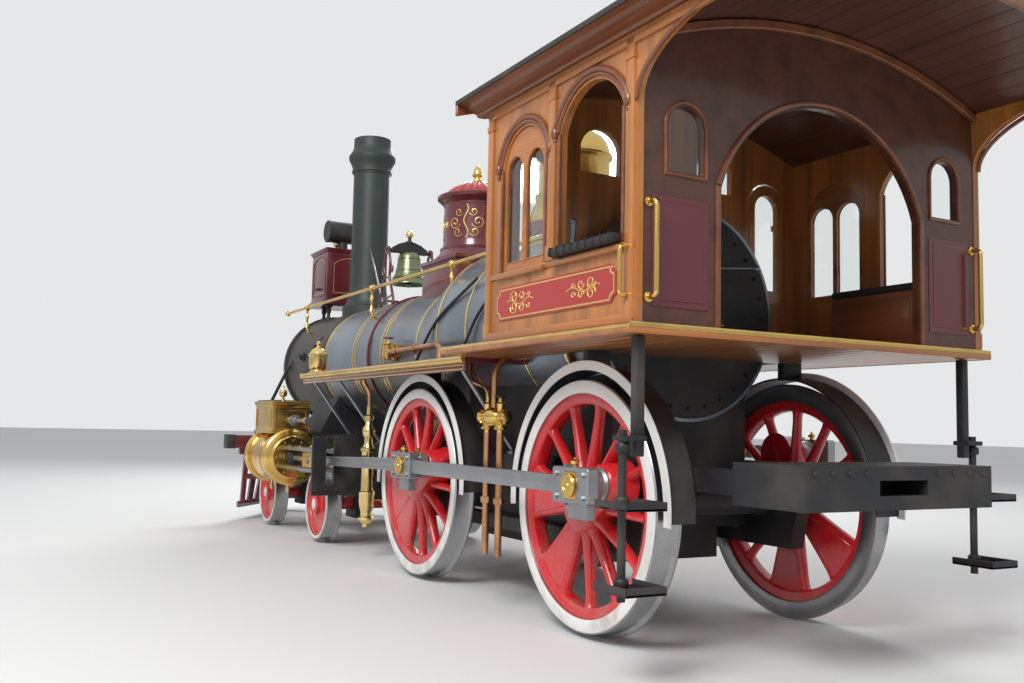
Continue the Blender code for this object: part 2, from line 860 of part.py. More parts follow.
def build_yoke():
    """The plate across the frames that carries the rear ends of the guides."""
    strap_top = frame_top_z + seat + yoke_strap_height
    strap_low = frame_top_z + seat
    inner = frame_inner_y + frame_thickness + seat
    window_low = cylinder_axis_z - yoke_window_height / 2
    window_high = window_low + yoke_window_height
    outline = [
        (-yoke_half_width, yoke_bottom_z), (-inner, yoke_bottom_z), (-inner, strap_low), (inner, strap_low),
        (inner, yoke_bottom_z), (yoke_half_width, yoke_bottom_z), (yoke_half_width, strap_top * 0.96),
        (inner, strap_top), (-inner, strap_top), (-yoke_half_width, strap_top * 0.96),
    ]
    holes = []
    hole_half = guide_gap / 2
    for _, side in SIDES:
        y = side * cylinder_y
        holes.append([(y - hole_half, window_low), (y + hole_half, window_low),
                      (y + hole_half, window_high), (y - hole_half, window_high)])
    finish("guide_yoke", plate([outline] + holes, yoke_thickness, (yoke_x, 0, 0), "X"), "frame_black")


def build_frames():
    """The two bar frames with their pedestals round the driving axles."""
    bottom = frame_top_z - frame_bar_height
    low = pedestal_bottom_z
    lower_top = low + frame_lower_bar_height
    front = wheelbase
    reach = pedestal_half_width + pedestal_slope
    outline = [
        (frame_tail_x, bottom), (-reach, bottom), (-pedestal_half_width, low),
        (front + pedestal_half_width, low), (front + reach, bottom), (beam_rear_x - seat, bottom),
        (beam_rear_x - seat, frame_top_z), (frame_tail_x, frame_top_z),
    ]
    gap = [(pedestal_half_width, lower_top), (front - pedestal_half_width, lower_top),
           (front - pedestal_half_width, bottom), (pedestal_half_width, bottom)]
    bearings = [circle((x, tread_radius), bored(axle_radius), bearing_sides) for x in (0.0, front)]
    for word, side in SIDES:
        y = side * (frame_inner_y + frame_thickness / 2)
        piece = plate([outline, gap] + bearings, frame_thickness, (0, y, 0), "Y")
        finish("frame_" + word, piece, "frame_black")


def build_beam_and_tail():
    """The front beam and the tail casting with its pocket for the draw link."""
    middle_z = frame_top_z - frame_bar_height / 2
    beam = block((beam_depth, 2 * beam_half_width, beam_height), (beam_rear_x + beam_depth / 2, 0, middle_z))
    finish("front_beam", beam, "maroon")
    tail_front = frame_tail_x - seat
    tail = span((tail_front - tail_length, -tail_half_width, middle_z - tail_height / 2),
                (tail_front, tail_half_width, middle_z + tail_height / 2))
    pocket = span((tail_front - tail_length - overrun, -draw_pocket_width / 2,
        middle_z - draw_pocket_height / 2),
                  (tail_front - tail_length + draw_pocket_depth, draw_pocket_width / 2,
                   middle_z + draw_pocket_height / 2))
    finish("tail_casting", carve(tail, pocket), "frame_black")


def build_pilot():
    """The pilot: a low arrow-shaped bar, a top bar under the beam and sloping slats between."""
    top_z = frame_top_z - frame_bar_height / 2 - beam_height / 2 - seat
    rear_x = beam_rear_x + beam_depth * 0.2
    tip_x = beam_rear_x + pilot_reach
    low_z = pilot_bottom_z
    half = pilot_bar_depth / 2
    arrow = [(rear_x, -pilot_half_width), (rear_x + pilot_bar_depth, -pilot_half_width),
             (tip_x, -pilot_tip_half_width), (tip_x, pilot_tip_half_width),
             (rear_x + pilot_bar_depth, pilot_half_width), (rear_x, pilot_half_width),
             (tip_x - 2 * pilot_bar_depth, pilot_tip_half_width), (tip_x - 2 * pilot_bar_depth,
                 -pilot_tip_half_width)]
    pilot = plate([arrow], pilot_bar_height, (0, 0, low_z + pilot_bar_height / 2), "Z")
    top_x = rear_x + half
    top_bar = block((pilot_bar_depth, 2 * pilot_half_width, pilot_bar_height), (top_x, 0,
        top_z - pilot_bar_height / 2))
    slats = []
    for index in range(2 * pilot_slat_count + 1):
        share = index / pilot_slat_count - 1
        low_y = share * (pilot_half_width - pilot_slat_width)
        along = 1 - abs(share)
        low_x = rear_x + half + along * (tip_x - pilot_bar_depth - rear_x - half)
        high = Vector((top_x, share * (pilot_half_width - pilot_top_inset), top_z - pilot_bar_height / 2))
        low = Vector((low_x, low_y, low_z + pilot_bar_height / 2))
        slat = block((pilot_slat_depth, pilot_slat_width, (high - low).length), (high + low) / 2)
        slat.rotation_mode = "QUATERNION"
        slat.rotation_quaternion = Vector((0, 0, 1)).rotation_difference(high - low)
        slats.append(slat)
    finish("pilot", unite(pilot, top_bar, *slats), "maroon")


def truck_wheel(x, side):
    """A small solid wheel with a raised hub."""
    outer_y = wheel_back_y + tyre_width
    web_y = wheel_back_y + tyre_width / 2
    return turned((
        (0.0, truck_hub_outer_y),
        (truck_hub_radius * 0.7, truck_hub_outer_y),
        (truck_hub_radius * 1.2, web_y + truck_web_thickness / 2),
        (truck_rim_radius * 0.9, web_y + truck_web_thickness / 2),
        (truck_rim_radius, outer_y),
        (truck_tread_radius, outer_y),
        (truck_tread_radius, wheel_back_y + flange_width),
        (truck_tread_radius + flange_height, wheel_back_y + flange_width / 2),
        (truck_tread_radius, wheel_back_y),
        (truck_rim_radius * 0.9, wheel_back_y),
        (truck_rim_radius * 0.9, web_y - truck_web_thickness / 2),
        (truck_hub_radius, web_y - truck_web_thickness / 2),
        (truck_hub_radius, hub_inner_y),
        (0.0, hub_inner_y),
    ), (x, 0, truck_tread_radius), (0, side, 0), 20)


def build_truck():
    """The swivelling leading truck: frame, centre plate and two wheelsets."""
    carrier = pivot("truck_axis", (cylinder_middle_x, 0, saddle_bottom_z))
    half_base = truck_wheelbase / 2
    rear_x = cylinder_middle_x - half_base - truck_overhang
    front_x = cylinder_middle_x + half_base + truck_overhang
    bar_low = truck_frame_top_z - truck_frame_bar_height
    outline = [(rear_x, bar_low), (front_x, bar_low), (front_x, truck_frame_top_z), (rear_x,
        truck_frame_top_z)]
    frame_y = truck_frame_half_gap + truck_frame_thickness / 2
    solids = []
    for _, side in SIDES:
        rail = plate([outline], truck_frame_thickness, (0, side * frame_y, 0), "Y")
        for sign in (-1, 1):
            axle_x = cylinder_middle_x + sign * half_base
            box = span((axle_x - truck_box_half_width, -truck_frame_thickness * 0.55, truck_box_bottom_z),
                       (axle_x + truck_box_half_width, truck_frame_thickness * 0.55, bar_low + overrun))
            box.location.y = side * frame_y
            rail = unite(rail, box)
            hole = bar((axle_x, side * frame_y - overrun, truck_tread_radius),
                       (axle_x, side * frame_y + overrun, truck_tread_radius), bored(truck_axle_radius),
                           bearing_sides)
            rail = carve(rail, hole)
        solids.append(rail)
    bolster = block((bolster_length, 2 * frame_y, truck_frame_bar_height * 0.9),
                    (cylinder_middle_x, 0, truck_frame_top_z - truck_frame_bar_height / 2))
    post = bar((cylinder_middle_x, 0, truck_frame_top_z - truck_frame_bar_height * 0.7),
               (cylinder_middle_x, 0, saddle_bottom_z - seat), centre_plate_radius, 20)
    ends = []
    for end_x in (rear_x + truck_frame_thickness / 2, front_x - truck_frame_thickness / 2):
        ends.append(block((truck_frame_thickness * 0.9, 2 * frame_y, truck_frame_bar_height * 0.8),
                          (end_x, 0, truck_frame_top_z - truck_frame_bar_height / 2)))
    body = unite(solids[0], bolster, *ends, solids[1], post)
    finish("truck_frame", body, "frame_black", carrier)
    for word, sign in (("front", 1), ("rear", -1)):
        x = cylinder_middle_x + sign * half_base
        set_carrier = pivot("truck_" + word + "_axis", (x, 0, truck_tread_radius), carrier)
        piece = axle(x, truck_tread_radius, truck_axle_radius, wheel_back_y + tyre_width / 2)
        wheels = [truck_wheel(x, side) for _, side in SIDES]
        finish("truck_" + word + "_wheelset", unite(wheels[0], piece, wheels[1]), "wheel_red", set_carrier)


def build_boiler():
    """The jacketed boiler with the fire hole in its backhead, and the firebox between the frames."""
    wagon_axis_z = boiler_axis_z - boiler_radius + wagon_radius
    hole = span((backhead_x - overrun, -fire_hole_width / 2, fire_hole_z - fire_hole_height / 2),
                (backhead_x + fire_hole_depth, fire_hole_width / 2, fire_hole_z + fire_hole_height / 2))
    boiler = carve(boiler_shape(), hole)
    barrels, lugs = hinge_barrels((backhead_x, fire_hole_width / 2 + fire_door_lap + barrel_radius),
                                  (fire_hole_z - fire_hole_height / 4, fire_hole_z + fire_hole_height / 4),
                                  (-1, 0), (0, -1), fire_door_thickness)
    finish("boiler", unite(boiler, *lugs), "jacket_iron")
    half_width = frame_inner_y - seat
    body = span((firebox_rear_x, -half_width, firebox_bottom_z), (firebox_front_x, half_width, wagon_axis_z))
    body = carve(body, boiler_shape(seat))
    pan = span((firebox_rear_x + ash_pan_inset, -half_width + ash_pan_inset,
        firebox_bottom_z - ash_pan_depth),
               (firebox_front_x - ash_pan_inset, half_width - ash_pan_inset, firebox_bottom_z + overrun))
    finish("firebox", unite(body, pan), "frame_black")
    door_x = backhead_x - seat - fire_door_thickness / 2
    reach = fire_hole_width / 2 + fire_door_lap
    carrier = pivot("fire_door_axis", (backhead_x - fire_door_thickness - barrel_radius,
                                       reach + barrel_radius, fire_hole_z))
    door = block((fire_door_thickness, 2 * reach, fire_hole_height + 2 * fire_door_lap), (door_x, 0,
        fire_hole_z))
    finish("fire_door", unite(door, *barrels), "frame_black", carrier)


def hinge_barrels(face, heights, outward, away, proud):
    """Hinge barrels on a vertical axis in front of a face.

    face is the axis line's (x, y) on the fixed face, outward the face's direction, away points from the
    hinge towards the door, and proud is how far the door's own face stands out. Each height gets a door
    barrel with its leaf, and a fixed barrel with its leaf above it.
    """
    outward = Vector((*outward, 0))
    away = Vector((*away, 0))
    moving = []
    fixed = []
    for z in heights:
        middle = Vector((*face, z)) + outward * (proud + barrel_radius)
        for bits, direction, low in ((moving, away, -barrel_height), (fixed, -away, seat)):
            start = middle + Vector((0, 0, low))
            end = start + Vector((0, 0, barrel_height - seat))
            bits.append(bar(start, end, barrel_radius, 8))
            leaf_middle = (start + end) / 2 + direction * leaf_width / 2 - outward * barrel_radius * 0.9
            size = [abs(direction[axis]) * leaf_width + abs(outward[axis]) * leaf_thickness for axis in (0,
                1)]
            depth = 0.0 if bits is moving else proud
            middle_leaf = leaf_middle - outward * depth / 2
            size[0] += abs(outward[0]) * depth
            size[1] += abs(outward[1]) * depth
            bits.append(block((size[0], size[1], barrel_height * 0.8), middle_leaf))
    return moving, fixed


def build_smokebox():
    """The hollow smokebox, its front ring and the hinged round door."""
    inner = smokebox_radius - smokebox_wall
    back = boiler_front_x + seat
    tube_plate = back + smokebox_wall
    shell = turned((
        (0.0, tube_plate), (inner, tube_plate), (inner, smokebox_front_x), (smokebox_radius,
            smokebox_front_x),
        (smokebox_radius, back), (0.0, back),
    ), (0, 0, boiler_axis_z), (1, 0, 0), 28)
    finish("smokebox", shell, "smokebox_grey")
    rear = smokebox_front_x + seat
    front = rear + smokebox_ring_depth
    ring = turned((
        (smokebox_mouth_radius, front), (smokebox_ring_radius, front),
        (smokebox_ring_radius, rear), (smokebox_mouth_radius, rear),
    ), (0, 0, boiler_axis_z), (1, 0, 0), 28, ring=True)
    hinge_y = smokebox_door_radius + 2 * barrel_radius
    heights = [boiler_axis_z + sign * smokebox_door_radius / 2 for sign in (-1, 1)]
    barrels, lugs = hinge_barrels((front, hinge_y), heights, (1, 0), (0, -1), smokebox_door_thickness)
    finish("smokebox_front", unite(ring, *lugs), "smokebox_grey")
    door_back = front + seat
    door_front = door_back + smokebox_door_thickness
    door = turned((
        (0.0, door_front + smokebox_door_dish), (smokebox_knob_radius,
            door_front + smokebox_door_dish * 0.95),
        (smokebox_door_radius * 0.7, door_front + smokebox_door_dish * 0.4),
        (smokebox_door_radius, door_front), (smokebox_door_radius, door_back), (0.0, door_back),
    ), (0, 0, boiler_axis_z), (1, 0, 0), 28)
    straps = []
    for z in heights:
        straps.append(span((door_front - leaf_thickness, 0.0, z - barrel_height),
                           (door_front + leaf_thickness, hinge_y - barrel_radius / 2, z)))
    knob = bar((door_front, 0, boiler_axis_z), (door_front + smokebox_door_dish + overrun, 0, boiler_axis_z),
               smokebox_knob_radius / 2, 12)
    carrier = pivot("smokebox_door_axis", (front + smokebox_door_thickness + barrel_radius, hinge_y,
        boiler_axis_z))
    finish("smokebox_door", unite(door, knob, *straps, *barrels), "smokebox_grey", carrier)


def build_saddle():
    """The casting that carries the smokebox on the frames, with the truck's bearing under it."""
    x = cylinder_middle_x
    top = boiler_axis_z - smokebox_radius * 0.6
    outline = [(-saddle_half_width, frame_top_z + seat), (saddle_half_width, frame_top_z + seat),
               (saddle_half_width, cylinder_axis_z + cylinder_radius), (saddle_waist_half_width * 1.2, top),
               (-saddle_waist_half_width * 1.2, top), (-saddle_half_width,
                   cylinder_axis_z + cylinder_radius)]
    body = plate([outline], 2 * saddle_half_length, (x, 0, 0), "X")
    low_half = frame_inner_y - seat
    root = span((x - saddle_half_length * 0.9, -low_half, saddle_bottom_z),
                (x + saddle_half_length * 0.9, low_half, frame_top_z + overrun))
    body = unite(body, root)
    body = carve(body, smokebox_shape(seat), boiler_shape(seat))
    finish("saddle", body, "frame_black")


def build_stack():
    """The straight stack with its moulded cap, seated on the smokebox."""
    barrel_top = stack_top_z - 2 * stack_radius
    cap_shares = (
        # radius share of the barrel, height share of the cap
        (1.05, 1.0), (1.05, 0.72), (1.31, 0.5), (1.31, 0.42), (1.08, 0.12), (1.12, 0.06), (1.0, 0.0),
    )
    outline = [(stack_bore_radius, stack_top_z)]
    for radius_share, height_share in cap_shares:
        outline.append((stack_radius * radius_share, barrel_top + height_share * (stack_top_z - barrel_top)))
    outline += [(stack_radius, stack_foot_z + stack_foot_radius * 0.7), (stack_foot_radius * 0.82,
        stack_foot_z + 0.0),
                (stack_foot_radius, stack_foot_z - stack_foot_radius * 0.12),
                (stack_foot_radius, boiler_axis_z + smokebox_radius * 0.7),
                (stack_bore_radius, boiler_axis_z + smokebox_radius * 0.7)]
    stack = turned(outline, (stack_x, 0, 0), (0, 0, 1), 20, ring=True)
    finish("stack", carve(stack, smokebox_shape(seat)), "stack_green")


def build_headlight():
    """The headlight box with its lamp chimney, on a shelf with four feet."""
    middle_x = (headlight_front_x + headlight_rear_x) / 2
    length = headlight_front_x - headlight_rear_x
    body = span((headlight_rear_x, -headlight_half_width, headlight_bottom_z),
                (headlight_front_x, headlight_half_width, headlight_top_z))
    lid = block((length + 2 * headlight_lid_overhang, 2 * (headlight_half_width + headlight_lid_overhang),
                 headlight_lid_height), (middle_x, 0, headlight_top_z))
    drum_z = headlight_top_z + lamp_neck_height + lamp_drum_radius
    neck = bar((middle_x, 0, headlight_top_z - lamp_neck_height / 2), (middle_x, 0, drum_z),
        lamp_neck_radius, 12)
    drum = bar((middle_x, -lamp_drum_half_length, drum_z), (middle_x, lamp_drum_half_length, drum_z),
               lamp_drum_radius, 20)
    lamp = unite(body, lid, neck, drum)
    shelf_top = headlight_bottom_z + seat
    shelf = span((headlight_rear_x - shelf_overhang, -headlight_half_width - shelf_overhang,
        shelf_top - shelf_thickness),
                 (headlight_front_x + shelf_overhang / 3, headlight_half_width + shelf_overhang, shelf_top))
    feet = []
    for x in (headlight_rear_x + shelf_foot_inset, smokebox_front_x - shelf_foot_inset):
        for _, side in SIDES:
            feet.append(span((x - shelf_foot_length / 2, side * shelf_foot_y - shelf_foot_width / 2,
                              boiler_axis_z + smokebox_radius * 0.85),
                             (x + shelf_foot_length / 2, side * shelf_foot_y + shelf_foot_width / 2,
                              shelf_top - shelf_thickness / 2)))
    shelf = carve(unite(shelf, *feet), smokebox_shape(seat))
    finish("headlight", unite(lamp, shelf), "maroon")


def build_bell():
    """The bell in its yoke, swinging between two braced stands on the boiler."""
    top = boiler_axis_z + boiler_radius
    foot_z = top - bell_stand_tie_length
    stands = []
    for _, side in SIDES:
        y = side * bell_stand_half_gap
        reach = bell_stand_foot_half_length
        cap = bell_stand_top_half_length
        head_z = bell_axis_z + cap
        outline = [(bell_x - reach, foot_z), (bell_x + reach, foot_z), (bell_x + cap, head_z),
            (bell_x - cap, head_z)]
        gap_top = bell_axis_z - 2.5 * cap
        bar_width = bell_stand_bar
        share = (gap_top - top) / (head_z - foot_z)
        narrow = reach - (reach - cap) * share - bar_width
        opening = [(bell_x - reach + 2 * bar_width, top + bar_width / 2), (bell_x + reach - 2 * bar_width,
            top + bar_width / 2),
                   (bell_x + max(narrow - bar_width, bar_width / 2), gap_top),
                   (bell_x - max(narrow - bar_width, bar_width / 2), gap_top)]
        bearing_radius = bell_trunnion_radius / math.cos(math.pi / 24) + running_clearance
        bearing = circle((bell_x, bell_axis_z), bearing_radius, 24)
        stands.append(plate([outline, opening, bearing], bell_stand_thickness, (0, y, 0), "Y"))
    tie = block((bell_stand_tie_length, 2 * bell_stand_half_gap, bell_stand_tie_length), (bell_x, 0,
        top - bell_stand_tie_length / 4))
    body = unite(stands[0], tie, stands[1])
    finish("bell_stand", carve(body, boiler_shape(seat)), "maroon")

    carrier = pivot("bell_axis", (bell_x, 0, bell_axis_z))
    crown_z = bell_axis_z - bell_drop
    mouth_z = crown_z - bell_height
    outer_shares = (
        # radius share of the mouth, height share from crown to mouth
        (0.42, 0.0), (0.56, 0.08), (0.62, 0.3), (0.7, 0.62), (0.82, 0.82), (1.0, 0.96), (1.0, 1.0),
    )
    outline = [(0.0, crown_z)]
    for radius_share, height_share in outer_shares:
        outline.append((bell_mouth_radius * radius_share, crown_z - bell_height * height_share))
    for radius_share, height_share in reversed(outer_shares[1:-1]):
        outline.append((bell_mouth_radius * radius_share - bell_wall,
            crown_z - bell_height * height_share - bell_wall / 3))
    outline.append((0.0, crown_z - bell_height * 0.14))
    bell = turned(outline, (bell_x, 0, 0), (0, 0, 1), 16)
    reach = bell_stand_half_gap - bell_stand_thickness
    rise = bell_height * 0.3
    arch_points = [(-reach, bell_axis_z - bell_yoke_thickness / 2), (reach,
        bell_axis_z - bell_yoke_thickness / 2),
                   (reach, bell_axis_z + bell_yoke_thickness / 2), (reach / 2, bell_axis_z + rise),
                   (-reach / 2, bell_axis_z + rise), (-reach, bell_axis_z + bell_yoke_thickness / 2)]
    yoke = plate([arch_points], bell_yoke_thickness, (bell_x, 0, 0), "X")
    trunnion_reach = bell_stand_half_gap + bell_stand_thickness / 3
    trunnion = bar((bell_x, -trunnion_reach, bell_axis_z), (bell_x, trunnion_reach, bell_axis_z),
        bell_trunnion_radius, 24)
    ball_z = bell_axis_z + rise + 2 * bell_ball_radius
    stem = bar((bell_x, 0, bell_axis_z), (bell_x, 0, ball_z), bell_ball_radius / 2, 8)
    ball = turned([(0.0, ball_z + bell_ball_radius)] + [
        (bell_ball_radius * math.cos(math.radians(turn)),
            ball_z + bell_ball_radius * math.sin(math.radians(turn)))
        for turn in (45, 0, -45)] + [(0.0, ball_z - bell_ball_radius)], (bell_x, 0, 0), (0, 0, 1), 12)
    clapper = bar((bell_x, 0, crown_z - bell_height * 0.1), (bell_x, 0, mouth_z - bell_wall),
        bell_wall * 0.6, 8)
    tongue = turned([(0.0, mouth_z + 2 * bell_wall)] + [(bell_wall * 1.4, mouth_z), (0.0,
        mouth_z - 2 * bell_wall)],
                    (bell_x, 0, 0), (0, 0, 1), 8)
    finish("bell", unite(bell, yoke, trunnion, stem, ball, clapper, tongue), "bell_bronze", carrier)


def dome(x, radius, base_half_width, base_top_z, top_z, shares, base_round):
    """A dome casing: base carved to the boiler, turned body, cornice and lid."""
    low_z = boiler_axis_z + boiler_radius - dome_root_depth
    if base_round:
        base = bar((x, 0, low_z), (x, 0, base_top_z + seat), base_half_width, 20)
    else:
        base = span((x - base_half_width, -base_half_width, low_z), (x + base_half_width, base_half_width,
            base_top_z))
    height = top_z - base_top_z
    outline = [(0.0, top_z)]
    for radius_share, height_share in shares:
        outline.append((radius * radius_share, base_top_z + height * height_share))
    outline += [(radius * shares[-1][0], base_top_z - overrun), (0.0, base_top_z - overrun)]
    body = turned(outline, (x, 0, 0), (0, 0, 1), 20)
    return carve(unite(base, body), boiler_shape(seat))


def build_domes():
    """The sand dome on the barrel and the steam dome ahead of the cab."""
    sand_shares = (
        # radius share of the body, height share from the base to the finial's tip
        (0.14, 0.97), (0.17, 0.9), (0.1, 0.86), (0.2, 0.84), (0.55, 0.80), (0.9, 0.71), (0.98, 0.66),
            (1.22, 0.655),
        (1.22, 0.63), (1.02, 0.56), (1.0, 0.2), (1.1, 0.1), (1.3, 0.02),
    )
    steam_shares = (
        # radius share of the body, height share from the base to the crown
        (0.3, 0.99), (0.7, 0.92), (0.94, 0.82), (1.0, 0.74), (1.08, 0.7), (1.0, 0.66), (1.0, 0.28), (1.08,
            0.22), (1.2, 0.16),
    )
    sand = dome(sand_dome_x, sand_dome_radius, sand_dome_base_half_width, sand_dome_base_top_z,
        sand_dome_top_z,
                sand_shares, False)
    finish("sand_dome", sand, "maroon")
    steam = dome(steam_dome_x, steam_dome_radius, steam_dome_base_half_width, steam_dome_base_top_z,
        steam_dome_top_z,
                 steam_shares, True)
    finish("steam_dome", steam, "brass")


def build_handrails():
    """The two handrails with their posts on the boiler."""
    post_x = (smokebox_front_x - 0.5 * (smokebox_front_x - boiler_front_x) * 0.8,
              (boiler_front_x + wagon_front_x) / 2 + seat, wagon_rear_x)
    for word, side in SIDES:
        y = side * handrail_y
        rail = bar((cab_front_x + seat, y, handrail_z), (handrail_front_x, y, handrail_z), handrail_radius,
            10)
        knob = turned([(0.0, handrail_knob_radius), (handrail_knob_radius, 0.0), (0.0,
            -handrail_knob_radius)],
                      (handrail_front_x, y, handrail_z), (1, 0, 0), 10)
        rail = unite(rail, knob)
        for x in post_x:
            post = bar((x, y, handrail_z - post_foot_drop), (x, y, handrail_z), post_radius, 8)
            stem = bar((x, y, handrail_z - post_stem_drop), (x, side * boiler_radius / 2,
                handrail_z - post_stem_drop - post_radius),
                       post_radius * 0.7, 8)
            rail = unite(rail, post, stem)
        shape = smokebox_shape(seat)
        rail = carve(rail, boiler_shape(seat), shape)
        finish("handrail_" + word, rail, "brass")


def build_running_boards():
    """The boards along the boiler from the cab's wider board to the cylinders."""
    for word, side in SIDES:
        board = span((board_step_x + seat, board_inner_y, board_top_z - board_thickness),
                     (board_front_x, board_half_width, board_top_z))
        if side < 0:
            board.location.y = -board.location.y
        nosing = bar((board_step_x + seat, side * board_half_width, board_top_z - board_nosing_radius),
                     (board_front_x, side * board_half_width, board_top_z - board_nosing_radius),
                         board_nosing_radius, 12)
        board = carve(unite(board, nosing), boiler_shape(seat))
        board = unite(board, splasher(wheelbase, side, board_top_z - board_thickness / 2))
        finish("running_board_" + word, board, "maroon")


def splasher(x, side, hang_z):
    """A curved cover over a driving wheel with a flat lip and the bracket it hangs from."""
    inner = tread_radius + flange_height + splasher_gap
    outer = inner + splasher_lip_width
    lip_y = wheel_back_y + tyre_width
    start = -splasher_end_degrees
    end = 180 + splasher_end_degrees
    centre = (x, tread_radius)
    lip = arc(centre, outer, start, end, 15) + arc(centre, inner, end, start, 15)
    under = inner + splasher_sheet / 3
    short = start + splasher_end_degrees / 4
    sheet = arc(centre, under + splasher_sheet, short, 180 - short, 15) + arc(centre, under, 180 - short,
        short, 15)
    lip_piece = plate([lip], splasher_sheet, (0, side * (lip_y - splasher_sheet / 2), 0), "Y")
    width = lip_y - splasher_sheet * 0.4 - splasher_inner_y
    sheet_piece = plate([sheet], width, (0, side * (splasher_inner_y + width / 2), 0), "Y")
    bracket = span((x - splasher_bracket_length / 2, splasher_inner_y + splasher_sheet,
        tread_radius + inner + splasher_sheet),
                   (x + splasher_bracket_length / 2, lip_y - splasher_sheet * 0.7, hang_z))
    if side < 0:
        bracket.location.y = -bracket.location.y
    return unite(lip_piece, sheet_piece, bracket)


def roof_inner_height(y, drop=0.0):
    """Height of the roof's arched underside at a distance from the middle."""
    half = cab_half_width - cab_wall
    rise = roof_crown_rise
    radius = (half * half + rise * rise) / (2 * rise)
    return cab_eave_z + rise - radius + math.sqrt(radius * radius - y * y) - drop


def roof_line(half, drop):
    """The arched line under the roof from left to right."""
    steps = 12
    points = []
    for index in range(steps + 1):
        y = half - 2 * half * index / steps
        points.append((y, roof_inner_height(y, drop)))
    return points


def build_cab_sides():
    """The cab's side walls with a glazed and an open arched window, and the wing that carries the roof."""
    for word, side in SIDES:
        low = cab_floor_z + seat
        wing_height = cab_eave_z - cab_wing_start_z
        wing = []
        for index in range(6):
            turn = math.radians(90 * index / 5)
            wing.append((cab_rear_x - cab_wing_reach * (1 - math.cos(turn)),
                         cab_wing_start_z + wing_height * 0.95 * math.sin(turn)))
        outline = [(cab_front_x, cab_eave_z), (cab_front_x, low), (cab_rear_x, low)] + wing
        outline.append((cab_rear_x - cab_wing_reach, cab_eave_z))
        open_window = arched(rear_window_rear_x, rear_window_front_x, window_sill_z, window_top_z,
            window_arch_rise)
        sash_window = arched(front_window_rear_x, front_window_front_x, window_sill_z, front_window_top_z,
                             window_arch_rise)
        y = side * (cab_half_width - cab_wall / 2)
        wall = plate([outline, open_window, sash_window], cab_wall, (0, y, 0), "Y")
        finish("cab_" + word, wall, "cab_wood")


def build_cab_ends():
    """The front wall round the boiler with its two doors, and the rear wall with its wide doorway."""
    half = cab_half_width - cab_wall - seat
    low = cab_floor_z + seat
    top = roof_line(half, 2 * seat)
    front_loops = [[(-half, low), (half, low)] + top]
    for _, side in SIDES:
        inner = min(side * front_door_inner_y, side * front_door_outer_y)
        outer = max(side * front_door_inner_y, side * front_door_outer_y)
        front_loops.append(arched(inner, outer, front_door_bottom_z, front_door_top_z, front_door_rise))
        front_loops.append(arched(side * spectacle_y - spectacle_half_width,
            side * spectacle_y + spectacle_half_width,
                                  spectacle_bottom_z, spectacle_top_z, spectacle_half_width * 0.8))
    wall = plate(front_loops, cab_wall, (cab_front_x - cab_wall / 2, 0, 0), "X")
    wall = carve(wall, boiler_shape(seat))
    for word, side in SIDES:
        face = (cab_front_x, side * (front_door_outer_y - door_clearance / 2))
        heights = (front_door_bottom_z + overrun * 3, front_door_top_z - front_door_rise - overrun * 3)
        barrels, lugs = hinge_barrels(face, heights, (1, 0), (0, -side), 0.0)
        wall = unite(wall, *lugs)
        inner = front_door_inner_y + door_clearance
        outer = front_door_outer_y - door_clearance
        low_y = min(side * inner, side * outer)
        high_y = max(side * inner, side * outer)
        outline = arched(low_y, high_y, front_door_bottom_z + door_clearance,
            front_door_top_z - door_clearance,
                         front_door_rise)
        door = plate([outline], cab_wall, (cab_front_x - cab_wall / 2, 0, 0), "X")
        carrier = pivot("front_door_" + word + "_axis", (face[0] + barrel_radius, face[1], cab_eave_z))
        finish("front_door_" + word, unite(door, *barrels), "cab_wood", carrier)
    finish("cab_front", wall, "cab_wood")

    doorway = arched(-doorway_half_width, doorway_half_width, low, doorway_top_z, doorway_arch_rise, 11)
    arch = doorway[2:]
    outline = [(half, low)] + top + [(-half, low), (-doorway_half_width,
        low)] + arch[::-1] + [(doorway_half_width, low)]
    rear_loops = [outline]
    for _, side in SIDES:
        inner = min(side * rear_light_inner_y, side * rear_light_outer_y)
        outer = max(side * rear_light_inner_y, side * rear_light_outer_y)
        rear_loops.append(arched(inner, outer, rear_light_bottom_z, rear_light_top_z, rear_light_rise))
    wall = plate(rear_loops, cab_wall, (cab_rear_x + cab_wall / 2, 0, 0), "X")
    finish("cab_rear", wall, "cab_wood")


def build_cab_roof():
    """The arched roof with its overhanging cornice."""
    half = cab_half_width - cab_wall
    steps = 12
    under = roof_line(half, 0.0)[::-1]
    over = []
    for index in range(steps + 1):
        share = 1 - 2 * index / steps
        y = roof_half_width * share
        crown = roof_crown_rise + roof_thickness + cab_eave_z - roof_edge_z
        over.append((y, roof_edge_z + crown * (1 - share * share)))
    low = cab_eave_z + seat
    outline = (under + [(half, low), (cab_half_width, low), (roof_half_width,
        roof_edge_z - roof_edge_height)]
               + over + [(-roof_half_width, roof_edge_z - roof_edge_height), (-cab_half_width, low),
                   (-half, low)])
    outline = [point for index, point in enumerate(outline) if point != outline[index - 1]]
    middle_x = (roof_front_x + roof_rear_x) / 2
    finish("cab_roof", plate([outline], roof_front_x - roof_rear_x, (middle_x, 0, 0), "X"), "cab_wood")


def build_cab_floor():
    """The cab's floor round the boiler, with the two seat boxes."""
    half = cab_half_width + cab_floor_lip
    low = cab_floor_z - cab_floor_thickness
    floor = span((cab_rear_x - cab_floor_lip, -half, low), (board_step_x, half, cab_floor_z))
    floor = carve(floor, boiler_shape(seat))
    for _, side in SIDES:
        outer = cab_half_width - cab_wall - seat
        rear = cab_rear_x + cab_wall + seat_rear_gap
        chest = span((rear, outer - seat_width, cab_floor_z - cab_floor_thickness / 2),
                     (rear + seat_length, outer, cab_floor_z + seat_height))
        if side < 0:
            chest.location.y = -chest.location.y
        floor = unite(floor, chest, splasher(0.0, side, cab_floor_z - cab_floor_thickness / 2))
    finish("cab_floor", floor, "cab_wood")


